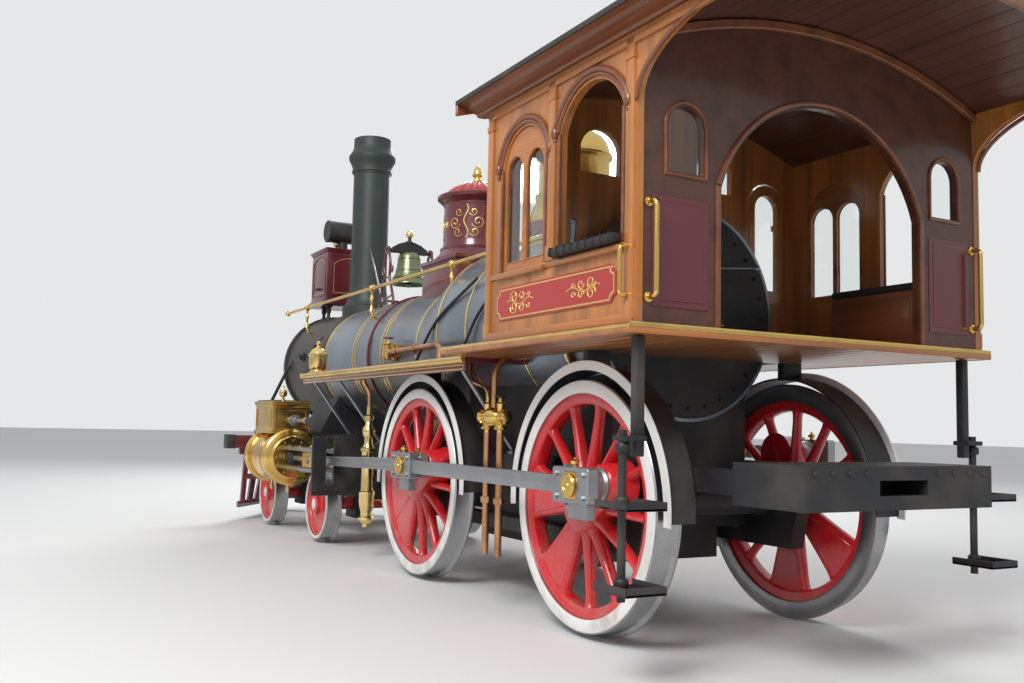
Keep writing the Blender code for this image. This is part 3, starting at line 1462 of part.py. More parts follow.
def build_steps():
    """The hanging steps behind the rear driving wheels."""
    floor_low = cab_floor_z - cab_floor_thickness
    for word, side in SIDES:
        post = block((step_post_width, step_post_width * 0.8, floor_low - seat - step_post_bottom_z),
                     (step_post_x, side * step_post_y, (floor_low - seat + step_post_bottom_z) / 2))
        bracket = block((step_post_width * 1.6, step_rod_y - step_post_y + step_post_width, step_post_width),
                        (step_post_x, side * (step_rod_y + step_post_y) / 2,
                            step_post_bottom_z + step_post_width / 4))
        rod = bar((step_post_x, side * step_rod_y, step_rod_bottom_z),
                  (step_post_x, side * step_rod_y, step_post_bottom_z + step_post_width), step_rod_radius,
                      10)
        treads = []
        for z in (step_upper_z, step_lower_z):
            treads.append(block((step_tread_length, step_tread_width, step_tread_thickness),
                                (step_post_x - step_tread_length / 4, side * step_rod_y, z)))
        finish("step_" + word, unite(post, bracket, rod, *treads), "frame_black")


def build_pumps():
    """The boiler feed pumps beside the frames: air chamber, flanges and barrel."""
    shares = (
        # radius share, height share from the bottom
        (0.28, 1.0), (0.28, 0.84), (1.0, 0.78), (1.0, 0.72), (0.4, 0.64), (0.4, 0.6), (1.0, 0.59), (1.0,
            0.56),
        (0.6, 0.55), (0.6, 0.43), (0.9, 0.42), (0.9, 0.38), (0.85, 0.37), (0.85, 0.0),
    )
    height = pump_top_z - pump_bottom_z
    for word, side in SIDES:
        y = side * pump_y
        outline = [(0.0, pump_top_z)]
        for radius_share, height_share in shares:
            outline.append((pump_radius * radius_share, pump_bottom_z + height * height_share))
        outline.append((0.0, pump_bottom_z))
        body = turned(outline, (pump_x, y, 0), (0, 0, 1), 10)
        frame_face = frame_inner_y + frame_thickness + seat
        arm = span((pump_x - pump_bracket_size / 2, frame_inner_y, pump_bracket_z - pump_bracket_size / 2),
                   (pump_x + pump_bracket_size / 2, pump_y, pump_bracket_z + pump_bracket_size / 2))
        hanger = span((pump_x - pump_bracket_size / 2, frame_face, pump_bracket_z - pump_bracket_size / 2),
                      (pump_x + pump_bracket_size / 2, frame_face + pump_bracket_size / 2,
                          frame_top_z - frame_bar_height / 2))
        if side < 0:
            arm.location.y = -arm.location.y
            hanger.location.y = -hanger.location.y
        finish("feed_pump_" + word, unite(body, arm, hanger), "brass")


def build_injectors():
    """The injectors below the cab's board with their two vertical pipes."""
    floor_low = cab_floor_z - cab_floor_thickness
    for word, side in SIDES:
        y = side * injector_y
        half = injector_length / 2
        outline = [(0.0, half), (injector_radius * 0.6, half), (injector_radius * 0.7, half * 0.5),
                   (injector_radius, half * 0.4), (injector_radius, -half * 0.3), (injector_radius * 0.6,
                       -half * 0.5),
                   (injector_radius * 0.6, -half), (0.0, -half)]
        body = turned(outline, (injector_x, y, injector_z), (1, 0, 0), 10)
        steam = bar((injector_x, y, injector_z), (injector_x, y, floor_low - seat),
            injector_pipe_radius * 0.7, 8)
        pipes = []
        for sign in (-1, 1):
            x = injector_x + sign * injector_pipe_gap / 2
            pipes.append(bar((x, y, injector_pipe_bottom_z), (x, y, injector_z), injector_pipe_radius, 10))
        finish("injector_" + word, unite(body, steam, *pipes), "brass")


def seat_on_origin():
    """Moves the engine so that the origin is on the floor under the middle of its length."""
    front_x = beam_rear_x + pilot_reach
    shift = Vector((-(front_x + roof_rear_x) / 2, 0, flange_height))
    for item in ENGINE.objects:
        if item.parent is None:
            item.location = item.location + shift


def main():
    """Builds every sub-part of the locomotive."""
    carriers = build_driving_wheels()
    build_side_rods(carriers["rear_driver"])
    for word, side in SIDES:
        build_main_rod(word, side)
        build_crosshead(word, side)
        build_cylinder(word, side)
        build_steam_chest(word, side)
        build_guides(word, side)
    build_yoke()
    build_frames()
    build_beam_and_tail()
    build_pilot()
    build_truck()
    build_boiler()
    build_smokebox()
    build_saddle()
    build_stack()
    build_headlight()
    build_bell()
    build_domes()
    build_handrails()
    build_running_boards()
    build_cab_sides()
    build_cab_ends()
    build_cab_roof()
    build_cab_floor()
    build_steps()
    build_pumps()
    build_injectors()
    seat_on_origin()


main()
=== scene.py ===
"""Looks of a wood-cabbed steam locomotive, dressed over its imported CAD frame.

Places are written in the rail frame: X runs forward from the rear driving axle, Y to the engine's left
and Z up from the rail top. Shop.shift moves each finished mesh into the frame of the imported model.
"""
from __future__ import annotations

import json
import logging
import math
from dataclasses import dataclass
from enum import Enum
from typing import Any, Iterable, Sequence

import bmesh
import bpy
from mathutils import Matrix, Vector

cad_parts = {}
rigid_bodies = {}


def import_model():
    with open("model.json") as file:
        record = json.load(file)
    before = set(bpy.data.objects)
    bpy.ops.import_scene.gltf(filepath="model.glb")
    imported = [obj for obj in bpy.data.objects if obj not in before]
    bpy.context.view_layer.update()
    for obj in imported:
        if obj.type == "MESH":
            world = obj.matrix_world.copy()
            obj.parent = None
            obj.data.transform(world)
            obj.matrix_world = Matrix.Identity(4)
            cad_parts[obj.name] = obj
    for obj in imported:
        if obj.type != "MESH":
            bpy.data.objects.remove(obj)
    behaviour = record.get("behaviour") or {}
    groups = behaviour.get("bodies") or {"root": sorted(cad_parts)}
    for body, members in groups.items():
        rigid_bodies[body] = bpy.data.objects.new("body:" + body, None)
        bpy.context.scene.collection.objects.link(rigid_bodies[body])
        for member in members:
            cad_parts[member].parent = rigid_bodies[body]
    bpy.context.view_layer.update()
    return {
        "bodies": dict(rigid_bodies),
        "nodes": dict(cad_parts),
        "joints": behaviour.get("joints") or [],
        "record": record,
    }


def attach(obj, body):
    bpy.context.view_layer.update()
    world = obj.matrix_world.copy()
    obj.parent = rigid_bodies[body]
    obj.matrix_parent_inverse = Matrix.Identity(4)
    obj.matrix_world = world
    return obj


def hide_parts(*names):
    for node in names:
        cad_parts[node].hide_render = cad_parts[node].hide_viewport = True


LOG = logging.getLogger("locomotive")
Point = Sequence[float]
Outline = list[tuple[float, float]]
Path3 = list[tuple[float, float, float]]
SIDES: tuple[tuple[str, float], ...] = (("left", 1.0), ("right", -1.0))
BOILER_AXIS = 1.72
WAGON_AXIS = 1.81


class Facing(Enum):
    """The axis that a flat outline faces."""

    X = "x"
    Y = "y"
    Z = "z"


class Grain(Enum):
    """The way the grain of a wooden piece runs, as the stretch of its pattern along X, Y and Z."""

    LENGTHWISE = (0.06, 1.0, 1.0)
    CROSSWISE = (1.0, 0.06, 1.0)
    UPRIGHT = (1.0, 1.0, 0.06)


class Wire:
    """One socket of a node tree, with its arithmetic written as Python operators."""

    def __init__(self, board: "Board", socket: Any) -> None:
        """Keeps the board and the socket."""
        self.board = board
        self.socket = socket

    def math(self, operation: str, *others: Any) -> "Wire":
        """Adds a Math node.

        Args:
            operation: the Math node's operation.
            others: the second and third values or wires.

        Returns:
            The wire that leaves the node.
        """
        values = dict(enumerate((self, *others)))
        return self.board.add("ShaderNodeMath", {"operation": operation}, values)

    def __add__(self, other: Any) -> "Wire":
        """Sum."""
        return self.math("ADD", other)

    __radd__ = __add__

    def __mul__(self, other: Any) -> "Wire":
        """Product."""
        return self.math("MULTIPLY", other)

    __rmul__ = __mul__

    def __sub__(self, other: Any) -> "Wire":
        """Difference."""
        return self.math("SUBTRACT", other)

    def __rsub__(self, other: Any) -> "Wire":
        """Difference from a plain number."""
        return (self * -1.0) + other

    def __truediv__(self, other: Any) -> "Wire":
        """Quotient."""
        return self.math("DIVIDE", other)

    def above(self, other: Any) -> "Wire":
        """One where this is greater than the other value."""
        return self.math("GREATER_THAN", other)

    def between(self, low: float, high: float) -> "Wire":
        """Spreads the stretch from low to high over 0 to 1, with soft ends.

        Args:
            low: the value that gives 0.
            high: the value that gives 1.

        Returns:
            The spread wire.
        """
        settings = {"interpolation_type": "SMOOTHSTEP"}
        return self.board.add("ShaderNodeMapRange", settings, {0: self, 1: low, 2: high})


class Board:
    """A node tree, of a material or of Geometry Nodes, with one method that adds nodes."""

    def __init__(self, tree: Any) -> None:
        """Keeps the tree."""
        self.tree = tree

    def make(self, kind: str, settings: dict[str, Any] | None = None,
             values: dict[Any, Any] | None = None) -> Any:
        """Adds a node, sets it and wires it.

        Args:
            kind: the node's type.
            settings: properties that are set first. The key stops holds a ramp's stops.
            values: numbers, colours or wires for its input sockets, by name or index.

        Returns:
            The node.
        """
        node = self.tree.nodes.new(kind)
        for key, value in (settings or {}).items():
            if key == "stops":
                ramp = node.color_ramp.elements
                while len(ramp) < len(value):
                    ramp.new(0.5)
                for element, (place, colour) in zip(ramp, value):
                    element.position = place
                    element.color = (*colour, 1.0)
            else:
                setattr(node, key, value)
        for key, value in (values or {}).items():
            if isinstance(value, Wire):
                self.tree.links.new(value.socket, node.inputs[key])
            else:
                node.inputs[key].default_value = value
        return node

    def add(self, kind: str, settings: dict[str, Any] | None = None, values: dict[Any, Any] | None = None,
            output: Any = 0) -> Wire:
        """Adds a node and gives back one of its outputs.

        Args:
            kind: the node's type.
            settings: properties that are set first.
            values: numbers, colours or wires for its input sockets.
            output: the output socket's name or index.

        Returns:
            The wire that leaves the node.
        """
        return Wire(self, self.make(kind, settings, values).outputs[output])

    def mix(self, share: Any, first: Any, second: Any) -> Wire:
        """Mixes two colours.

        Args:
            share: how much of the second colour, from 0 to 1.
            first: a colour or a wire.
            second: a colour or a wire.

        Returns:
            The mixed colour.
        """
        node = self.make("ShaderNodeMix", {"data_type": "RGBA"})
        for index, value in ((0, share), (6, first), (7, second)):
            if isinstance(value, Wire):
                self.tree.links.new(value.socket, node.inputs[index])
            elif index:
                node.inputs[index].default_value = (*value, 1.0)
            else:
                node.inputs[index].default_value = value
        return Wire(self, node.outputs[2])

    def place(self, stretch: Point = (1.0, 1.0, 1.0)) -> Wire:
        """Object coordinates, stretched along the axes."""
        where = self.add("ShaderNodeTexCoord", output="Object")
        return self.add("ShaderNodeMapping", None, {"Vector": where, "Scale": stretch})

    def noise(self, scale: float, detail: float = 3.0, stretch: Point = (1.0, 1.0, 1.0),
              rough: float = 0.5) -> Wire:
        """Soft noise over the piece, from 0 to 1."""
        values = {"Vector": self.place(stretch), "Scale": scale, "Detail": detail, "Roughness": rough}
        return self.add("ShaderNodeTexNoise", None, values)

    def cells(self, scale: float) -> Wire:
        """Distance to the nearest cell centre."""
        return self.add("ShaderNodeTexVoronoi", None, {"Vector": self.place(), "Scale": scale})

    def height(self) -> Wire:
        """How high a point stands over the floor."""
        where = self.add("ShaderNodeTexCoord", output="Object")
        return self.add("ShaderNodeSeparateXYZ", None, {0: where}, "Z")


Look = tuple[Wire, Wire, Wire, float]


@dataclass(frozen=True)
class Finish:
    """A surface finish. Its build method makes the material once."""

    name: str
    colour: tuple[float, float, float]
    roughness: float
    metallic: float = 0.0
    coat: float = 0.0

    def material(self) -> Any:
        """The finish's material, made on first use.

        Returns:
            The Blender material.
        """
        found = bpy.data.materials.get(self.name)
        if found is not None:
            return found
        made = bpy.data.materials.new(self.name)
        made.use_nodes = True
        made.diffuse_color = (*self.colour, 1.0)
        tree = made.node_tree
        shader = tree.nodes["Principled BSDF"]
        shader.inputs["Metallic"].default_value = self.metallic
        shader.inputs["Coat Weight"].default_value = self.coat
        shader.inputs["Coat Roughness"].default_value = 0.12
        board = Board(tree)
        colour, roughness, height, depth = self.surface(board)
        tree.links.new(colour.socket, shader.inputs["Base Color"])
        tree.links.new(roughness.socket, shader.inputs["Roughness"])
        if depth > 0.0:
            bump = board.add("ShaderNodeBump", None, {"Strength": 0.6, "Distance": depth, "Height": height})
            tree.links.new(bump.socket, shader.inputs["Normal"])
        return made

    def tint(self, factor: float) -> tuple[float, float, float]:
        """The colour made lighter or darker by a factor."""
        red, green, blue = self.colour
        return red * factor, green * factor, blue * factor

    def surface(self, board: Board) -> Look:
        """What changes over the surface.

        Args:
            board: the material's node board.

        Returns:
            Colour, roughness, bump height and bump depth in metres.
        """
        cloud = board.noise(1.7, 3.0)
        return board.mix(cloud, self.tint(0.86), self.tint(1.1)), cloud * 0.1 + self.roughness, cloud, 0.0


@dataclass(frozen=True)
class Enamel(Finish):
    """Brushed and varnished paint with a little road dust low down."""

    dust: float = 0.35

    def surface(self, board: Board) -> Look:
        """Cloudy paint, brush marks and dust."""
        cloud = board.noise(2.3, 4.0)
        fine = board.noise(60.0, 2.0)
        paint = board.mix(cloud, self.tint(0.88), self.tint(1.1))
        low = (1.0 - board.height().between(0.1, 1.3)) * board.noise(9.0, 6.0).between(0.42, 0.75) * self.dust
        colour = board.mix(low, paint, (0.30, 0.24, 0.19))
        return colour, fine * 0.08 + low * 0.4 + self.roughness, fine, 0.0004


@dataclass(frozen=True)
class PlanishedIron(Finish):
    """Blue-grey rolled jacket iron with its soft mottle."""

    def surface(self, board: Board) -> Look:
        """Broad clouds, small mottle and faint rolling marks round the barrel."""
        cloud = board.noise(1.1, 3.0)
        mottle = board.cells(38.0)
        marks = board.noise(5.0, 5.0, (8.0, 0.6, 0.6))
        base = board.mix(cloud.between(0.3, 0.7), self.tint(0.8), self.tint(1.18))
        colour = board.mix(mottle * 0.35, base, self.tint(1.35))
        return colour, marks * 0.16 + mottle * 0.06 + self.roughness, marks, 0.0008


@dataclass(frozen=True)
class WarmMetal(Finish):
    """Polished brass, copper or bronze that has begun to tarnish."""

    tarnish: tuple[float, float, float] = (0.30, 0.17, 0.06)
    share: float = 0.45

    def surface(self, board: Board) -> Look:
        """Bright metal under patches of tarnish."""
        patch = board.noise(4.2, 6.0).between(0.46, 0.78) * self.share
        fine = board.noise(90.0, 2.0)
        colour = board.mix(patch, self.colour, self.tarnish)
        return colour, patch * 0.35 + fine * 0.07 + self.roughness, fine, 0.0002


@dataclass(frozen=True)
class WorkedSteel(Finish):
    """Machined and hand-rubbed steel with fine lines along the rods."""

    def surface(self, board: Board) -> Look:
        """Fine lines along X and darker oily patches."""
        lines = board.noise(30.0, 4.0, (0.05, 1.0, 6.0))
        oil = board.noise(3.5, 5.0).between(0.5, 0.8)
        colour = board.mix(oil * 0.5, board.mix(lines, self.tint(0.8), self.tint(1.15)), self.tint(0.42))
        return colour, lines * 0.15 + oil * 0.1 + self.roughness, lines, 0.0003


@dataclass(frozen=True)
class CastIron(Finish):
    """Black or graphite-dressed castings and forgings with a sandy skin."""

    dust: float = 0.25

    def surface(self, board: Board) -> Look:
        """A grainy skin, oily patches and dust."""
        sand = board.noise(140.0, 3.0)
        patch = board.noise(3.0, 6.0).between(0.42, 0.72)
        colour = board.mix(patch * self.dust, self.colour, (0.16, 0.13, 0.10))
        return colour, sand * 0.12 + patch * 0.12 + self.roughness, sand, 0.0007


@dataclass(frozen=True)
class VarnishedWood(Finish):
    """Oiled and varnished hardwood with its grain along one axis."""

    grain: Grain = Grain.UPRIGHT

    def surface(self, board: Board) -> Look:
        """Growth bands, fine pores and slow changes of tone."""
        stretch = self.grain.value
        bands = board.noise(9.0, 5.0, stretch, 0.62)
        pores = board.noise(95.0, 3.0, stretch)
        cloud = board.noise(1.3, 2.0)
        stops = ((0.28, self.tint(0.45)), (0.46, self.tint(0.85)), (0.6, self.tint(1.15)),
                 (0.78, self.tint(0.7)))
        grain = board.add("ShaderNodeValToRGB", {"stops": stops}, {0: bands})
        dark = board.mix(pores.between(0.5, 0.8) * 0.4, grain, self.tint(0.35))
        colour = board.mix(cloud * 0.35, dark, self.tint(0.75))
        return colour, pores * 0.12 + self.roughness, pores, 0.0006


@dataclass(frozen=True)
class Pane(Finish):
    """Clear old window glass."""

    def material(self) -> Any:
        """Thin glass with a faint waviness.

        Returns:
            The Blender material.
        """
        found = bpy.data.materials.get(self.name)
        if found is not None:
            return found
        made = bpy.data.materials.new(self.name)
        made.use_nodes = True
        tree = made.node_tree
        shader = tree.nodes["Principled BSDF"]
        shader.inputs["Base Color"].default_value = (*self.colour, 1.0)
        shader.inputs["Roughness"].default_value = self.roughness
        shader.inputs["Transmission Weight"].default_value = 1.0
        shader.inputs["IOR"].default_value = 1.45
        board = Board(tree)
        wave = board.noise(7.0, 2.0)
        bump = board.add("ShaderNodeBump", None, {"Strength": 0.15, "Distance": 0.002, "Height": wave})
        tree.links.new(bump.socket, shader.inputs["Normal"])
        return made


WHEEL_RED = Enamel("wheel_red_enamel", (0.60, 0.015, 0.02), 0.24, coat=0.5)
TYRE_WHITE = Enamel("tyre_white_paint", (0.80, 0.79, 0.76), 0.35, dust=0.5)
MAROON = Enamel("maroon_enamel", (0.115, 0.012, 0.02), 0.2, coat=0.6, dust=0.2)
PANEL_RED = Enamel("panel_red_enamel", (0.38, 0.02, 0.018), 0.25, coat=0.5, dust=0.1)
GOLD_LINE = WarmMetal("gold_leaf_lines", (0.86, 0.60, 0.20), 0.3, 0.8, share=0.2)
STACK_GREEN = CastIron("stack_green_black", (0.022, 0.034, 0.030), 0.42, dust=0.12)
IRON_BLACK = CastIron("black_painted_iron", (0.014, 0.014, 0.016), 0.42)
SMOKEBOX_GREY = CastIron("graphite_smokebox", (0.060, 0.055, 0.050), 0.42, 0.35, dust=0.5)
JACKET = PlanishedIron("planished_jacket_iron", (0.25, 0.29, 0.33), 0.2, 0.8)
BRASS = WarmMetal("polished_brass", (0.78, 0.52, 0.16), 0.14, 1.0)
GILT = WarmMetal("bright_brass", (0.86, 0.66, 0.28), 0.12, 1.0, share=0.2)
COPPER = WarmMetal("worn_copper_pipe", (0.62, 0.33, 0.16), 0.26, 1.0, tarnish=(0.20, 0.11, 0.07), share=0.6)
BRONZE = WarmMetal("bell_bronze", (0.20, 0.25, 0.17), 0.26, 0.9, tarnish=(0.09, 0.12, 0.08), share=0.5)
STEEL = WorkedSteel("worked_steel", (0.36, 0.37, 0.38), 0.3, 0.9)
TREAD = WorkedSteel("rolled_tread_steel", (0.42, 0.42, 0.43), 0.25, 1.0)
CAB_WOOD = VarnishedWood("cab_wood_upright", (0.46, 0.17, 0.040), 0.26, coat=0.45)
CAB_RAIL = VarnishedWood("cab_wood_lengthwise", (0.42, 0.15, 0.036), 0.26, coat=0.45, grain=Grain.LENGTHWISE)
CAB_CROSS = VarnishedWood("cab_wood_crosswise", (0.42, 0.15, 0.036), 0.26, coat=0.45, grain=Grain.CROSSWISE)
# Cab wood darkened far below its own varnish: painted shade for the rear wall and the roof's underside, which
# stand in shadow.
CAB_PAINTED_SHADE = VarnishedWood("cab_wood_painted_shade", (0.085, 0.026, 0.013), 0.30, coat=0.35, grain=Grain.LENGTHWISE)
CAB_DARK = VarnishedWood("cab_wood_moulding", (0.20, 0.06, 0.020), 0.28, coat=0.4, grain=Grain.LENGTHWISE)
ROOF_CLOTH = CastIron("tarred_roof_canvas", (0.035, 0.030, 0.028), 0.7)
LEATHER = Finish("black_seat_leather", (0.018, 0.016, 0.015), 0.45)
GLASS = Pane("old_window_glass", (0.92, 0.96, 0.95), 0.03)


class Shop:
    """Builds closed shapes into one mesh, in the rail frame, and hands over the finished piece."""

    shift = Vector((-3.17, 0.0, 0.028))
    ease_share = 0.15
    weld = 0.00002

    def __init__(self, name: str) -> None:
        """Starts an empty piece of that name."""
        self.name = name
        self.work = bmesh.new()

    def take(self, points: Iterable[Point], faces: Iterable[Sequence[int]],
             turn: Matrix | None = None) -> "Shop":
        """Adds points and the faces between them.

        Args:
            points: the corner points.
            faces: each face as indices into the points.
            turn: a matrix for the points.

        Returns:
            This shop.
        """
        matrix = turn if turn is not None else Matrix.Identity(4)
        verts = [self.work.verts.new(matrix @ Vector(point)) for point in points]
        for face in faces:
            self.work.faces.new([verts[index] for index in face])
        return self

    def merge(self, other: Any, turn: Matrix | None = None) -> "Shop":
        """Adds a finished bmesh and frees it."""
        if turn is not None:
            other.transform(turn)
        data = bpy.data.meshes.new("part")
        other.to_mesh(data)
        other.free()
        self.work.from_mesh(data)
        bpy.data.meshes.remove(data)
        return self

    def box(self, low: Point, high: Point, bevel: float = 0.003, turn: Matrix | None = None) -> "Shop":
        """A box between two corners with eased edges.

        Args:
            low: the lowest corner.
            high: the highest corner.
            bevel: how far the edges are eased.
            turn: a matrix for the whole box.

        Returns:
            This shop.
        """
        lower = Vector([min(pair) for pair in zip(low, high)])
        upper = Vector([max(pair) for pair in zip(low, high)])
        part = bmesh.new()
        bmesh.ops.create_cube(part, size=1.0)
        bmesh.ops.scale(part, vec=upper - lower, verts=part.verts)
        bmesh.ops.translate(part, vec=(upper + lower) / 2, verts=part.verts)
        if bevel > 0.0:
            bmesh.ops.bevel(part, geom=part.edges[:], offset=bevel, segments=2, profile=0.6, affect="EDGES")
        return self.merge(part, turn)

    def lathe(self, profile: Sequence[Point], centre: Point, axis: Point = (0, 0, 1), sides: int = 48,
              ring: bool = False) -> "Shop":
        """A shape turned about an axis.

        Args:
            profile: (radius, place along the axis) from one end to the other.
            centre: the point that the places are measured from.
            axis: the axis.
            sides: how many sides the turned shape has.
            ring: whether the profile closes on itself round an open middle.

        Returns:
            This shop.
        """
        rows: list[list[int]] = []
        points: list[Point] = []
        for radius, along in profile:
            row = []
            count = 1 if radius == 0 else sides
            for index in range(count):
                turn = 2 * math.pi * index / sides
                row.append(len(points))
                points.append((radius * math.cos(turn), radius * math.sin(turn), along))
            rows.append(row)
        pairs = list(zip(rows, rows[1:]))
        if ring:
            pairs.append((rows[-1], rows[0]))
        faces: list[Sequence[int]] = []
        for first, second in pairs:
            for index in range(sides):
                after = (index + 1) % sides
                corners = (first[index % len(first)], first[after % len(first)], second[after % len(second)],
                           second[index % len(second)])
                corners = tuple(dict.fromkeys(corners))
                if len(corners) > 2:
                    faces.append(corners)
        if not ring:
            for row in (rows[0], rows[-1]):
                if len(row) > 1:
                    faces.append(row)
        spin = Vector((0, 0, 1)).rotation_difference(Vector(axis)).to_matrix().to_4x4()
        return self.take(points, faces, Matrix.Translation(Vector(centre)) @ spin)

    def rod(self, start: Point, end: Point, radius: float, sides: int = 16) -> "Shop":
        """A round bar with slightly eased ends."""
        begin, finish = Vector(start), Vector(end)
        length = (finish - begin).length
        ease = min(radius, length / 2) * self.ease_share
        profile = ((0.0, 0.0), (radius - ease, 0.0), (radius, ease), (radius, length - ease),
                   (radius - ease, length), (0.0, length))
        return self.lathe(profile, begin, finish - begin, sides)

    def ball(self, centre: Point, radius: float, sides: int = 20) -> "Shop":
        """A ball."""
        steps = sides // 2
        profile = []
        for index in range(steps + 1):
            turn = math.pi * index / steps
            profile.append((radius * math.sin(turn) if 0 < index < steps else 0.0, -radius * math.cos(turn)))
        return self.lathe(profile, centre, (0, 0, 1), sides)

    def slab(self, outline: Sequence[Point], holes: Sequence[Sequence[Point]], low: float, high: float,
             facing: Facing, bevel: float = 0.0, turn: Matrix | None = None) -> "Shop":
        """A flat plate with holes.

        Args:
            outline: the outer edge as points across and up. Facing X they are Y and Z, facing Y they are
                X and Z, facing Z they are X and Y.
            holes: the edges of the holes.
            low: where the plate starts along the axis it faces.
            high: where it ends.
            facing: the axis it faces.
            bevel: how far its corners are eased.
            turn: a matrix for the whole plate.

        Returns:
            This shop.
        """
        part = bmesh.new()
        for loop in (outline, *holes):
            verts = [part.verts.new((across, up, 0.0)) for across, up in loop]
            for index, vert in enumerate(verts):
                part.edges.new((vert, verts[(index + 1) % len(verts)]))
        bmesh.ops.triangle_fill(part, use_beauty=True, edges=part.edges[:], normal=(0, 0, 1))
        bmesh.ops.dissolve_limit(part, angle_limit=0.02, verts=part.verts[:], edges=part.edges[:])
        flat = part.faces[:]
        grown = bmesh.ops.extrude_face_region(part, geom=flat, use_keep_orig=True)
        top = [item for item in grown["geom"] if isinstance(item, bmesh.types.BMVert)]
        bmesh.ops.translate(part, vec=(0, 0, high - low), verts=top)
        bmesh.ops.translate(part, vec=(0, 0, low), verts=part.verts)
        bmesh.ops.recalc_face_normals(part, faces=part.faces)
        if bevel > 0.0:
            sharp = [edge for edge in part.edges
                     if len(edge.link_faces) == 2 and edge.calc_face_angle() > 0.6]
            bmesh.ops.bevel(part, geom=sharp, offset=bevel, segments=1, affect="EDGES", clamp_overlap=True)
        way = {Facing.X: Matrix(((0, 0, 1, 0), (1, 0, 0, 0), (0, 1, 0, 0), (0, 0, 0, 1))),
               Facing.Y: Matrix(((1, 0, 0, 0), (0, 0, 1, 0), (0, 1, 0, 0), (0, 0, 0, 1))),
               Facing.Z: Matrix.Identity(4)}[facing]
        return self.merge(part, way if turn is None else turn @ way)

    def sweep(self, points: Sequence[Point], radius: float, sides: int = 12,
              round_off: float = 0.0) -> "Shop":
        """A tube along a path, its corners rounded off.

        Args:
            points: the path.
            radius: the tube's radius.
            sides: how many sides it has.
            round_off: how far before and after each corner the bend starts.

        Returns:
            This shop.
        """
        path = [Vector(point) for point in points]
        if round_off > 0.0:
            smooth = [path[0]]
            for before, here, after in zip(path, path[1:], path[2:]):
                reach = min(round_off, (here - before).length / 2.1, (after - here).length / 2.1)
                start = here + (before - here).normalized() * reach
                end = here + (after - here).normalized() * reach
                for index in range(6):
                    share = index / 5
                    smooth.append(start.lerp(here, share).lerp(here.lerp(end, share), share))
            smooth.append(path[-1])
            path = smooth
        rows: list[list[int]] = []
        corners: list[Vector] = []
        normal = Vector((0, 0, 1))
        for index, here in enumerate(path):
            ahead = path[min(index + 1, len(path) - 1)] - path[max(index - 1, 0)]
            ahead.normalize()
            normal = normal - ahead * normal.dot(ahead)
            if normal.length < 0.01:
                normal = Vector((1, 0, 0)) - ahead * ahead.x
            if normal.length < 0.01:
                normal = Vector((0, 1, 0)) - ahead * ahead.y
            normal.normalize()
            side = ahead.cross(normal)
            row = []
            for step in range(sides):
                turn = 2 * math.pi * step / sides
                row.append(len(corners))
                corners.append(here + (normal * math.cos(turn) + side * math.sin(turn)) * radius)
            rows.append(row)
        faces: list[Sequence[int]] = [rows[0], rows[-1]]
        for first, second in zip(rows, rows[1:]):
            for step in range(sides):
                after = (step + 1) % sides
                faces.append((first[step], first[after], second[after], second[step]))
        return self.take(corners, faces)

    def loft(self, rows: Sequence[Sequence[Point]]) -> "Shop":
        """Joins closed rows of points of equal length, with caps at both ends.

        Args:
            rows: each row as points.

        Returns:
            This shop.
        """
        count = len(rows[0])
        points = [point for row in rows for point in row]
        faces: list[Sequence[int]] = []
        for row in range(len(rows) - 1):
            for index in range(count):
                after = (index + 1) % count
                faces.append((row * count + index, row * count + after, (row + 1) * count + after,
                              (row + 1) * count + index))
        faces.append(list(range(count)))
        faces.append(list(range((len(rows) - 1) * count, len(rows) * count)))
        return self.take(points, faces)

    def finish(self, finish: Finish, body: str = "engine", slot: str = "", replaces: Sequence[str] = (),
               crease: float = 32.0) -> Any:
        """Ends the piece: closes its mesh, gives it its finish and lets it ride on a body.

        Args:
            finish: the surface finish.
            body: the CAD body that it moves with.
            slot: not used.
            replaces: the CAD nodes that it stands for.
            crease: edges sharper than this angle in degrees stay sharp.

        Returns:
            The finished object.
        """
        bmesh.ops.remove_doubles(self.work, verts=self.work.verts, dist=self.weld)
        bmesh.ops.recalc_face_normals(self.work, faces=self.work.faces)
        self.work.transform(Matrix.Translation(self.shift))
        data = bpy.data.meshes.new(self.name)
        self.work.to_mesh(data)
        self.work.free()
        return hand_over(self.name, data, finish, body, replaces, crease)


def hand_over(name: str, data: Any, finish: Finish, body: str, replaces: Sequence[str],
              crease: float = 32.0) -> Any:
    """Args:
        name: the piece's name.
        data: its mesh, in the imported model's frame.
        finish: its surface finish.
        body: the CAD body that it moves with.
        replaces: the CAD nodes that it stands for.
        crease: edges sharper than this angle in degrees stay sharp.

    Returns:
        The object.
    """
    piece = bpy.data.objects.new(name, data)
    bpy.context.scene.collection.objects.link(piece)
    data.materials.clear()
    data.materials.append(finish.material())
    data.shade_smooth()
    data.set_sharp_from_angle(angle=math.radians(crease))
    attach(piece, body)
    if replaces:
        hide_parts(*replaces)
    LOG.info("%s: %d faces on %s", name, len(data.polygons), body)
    return piece


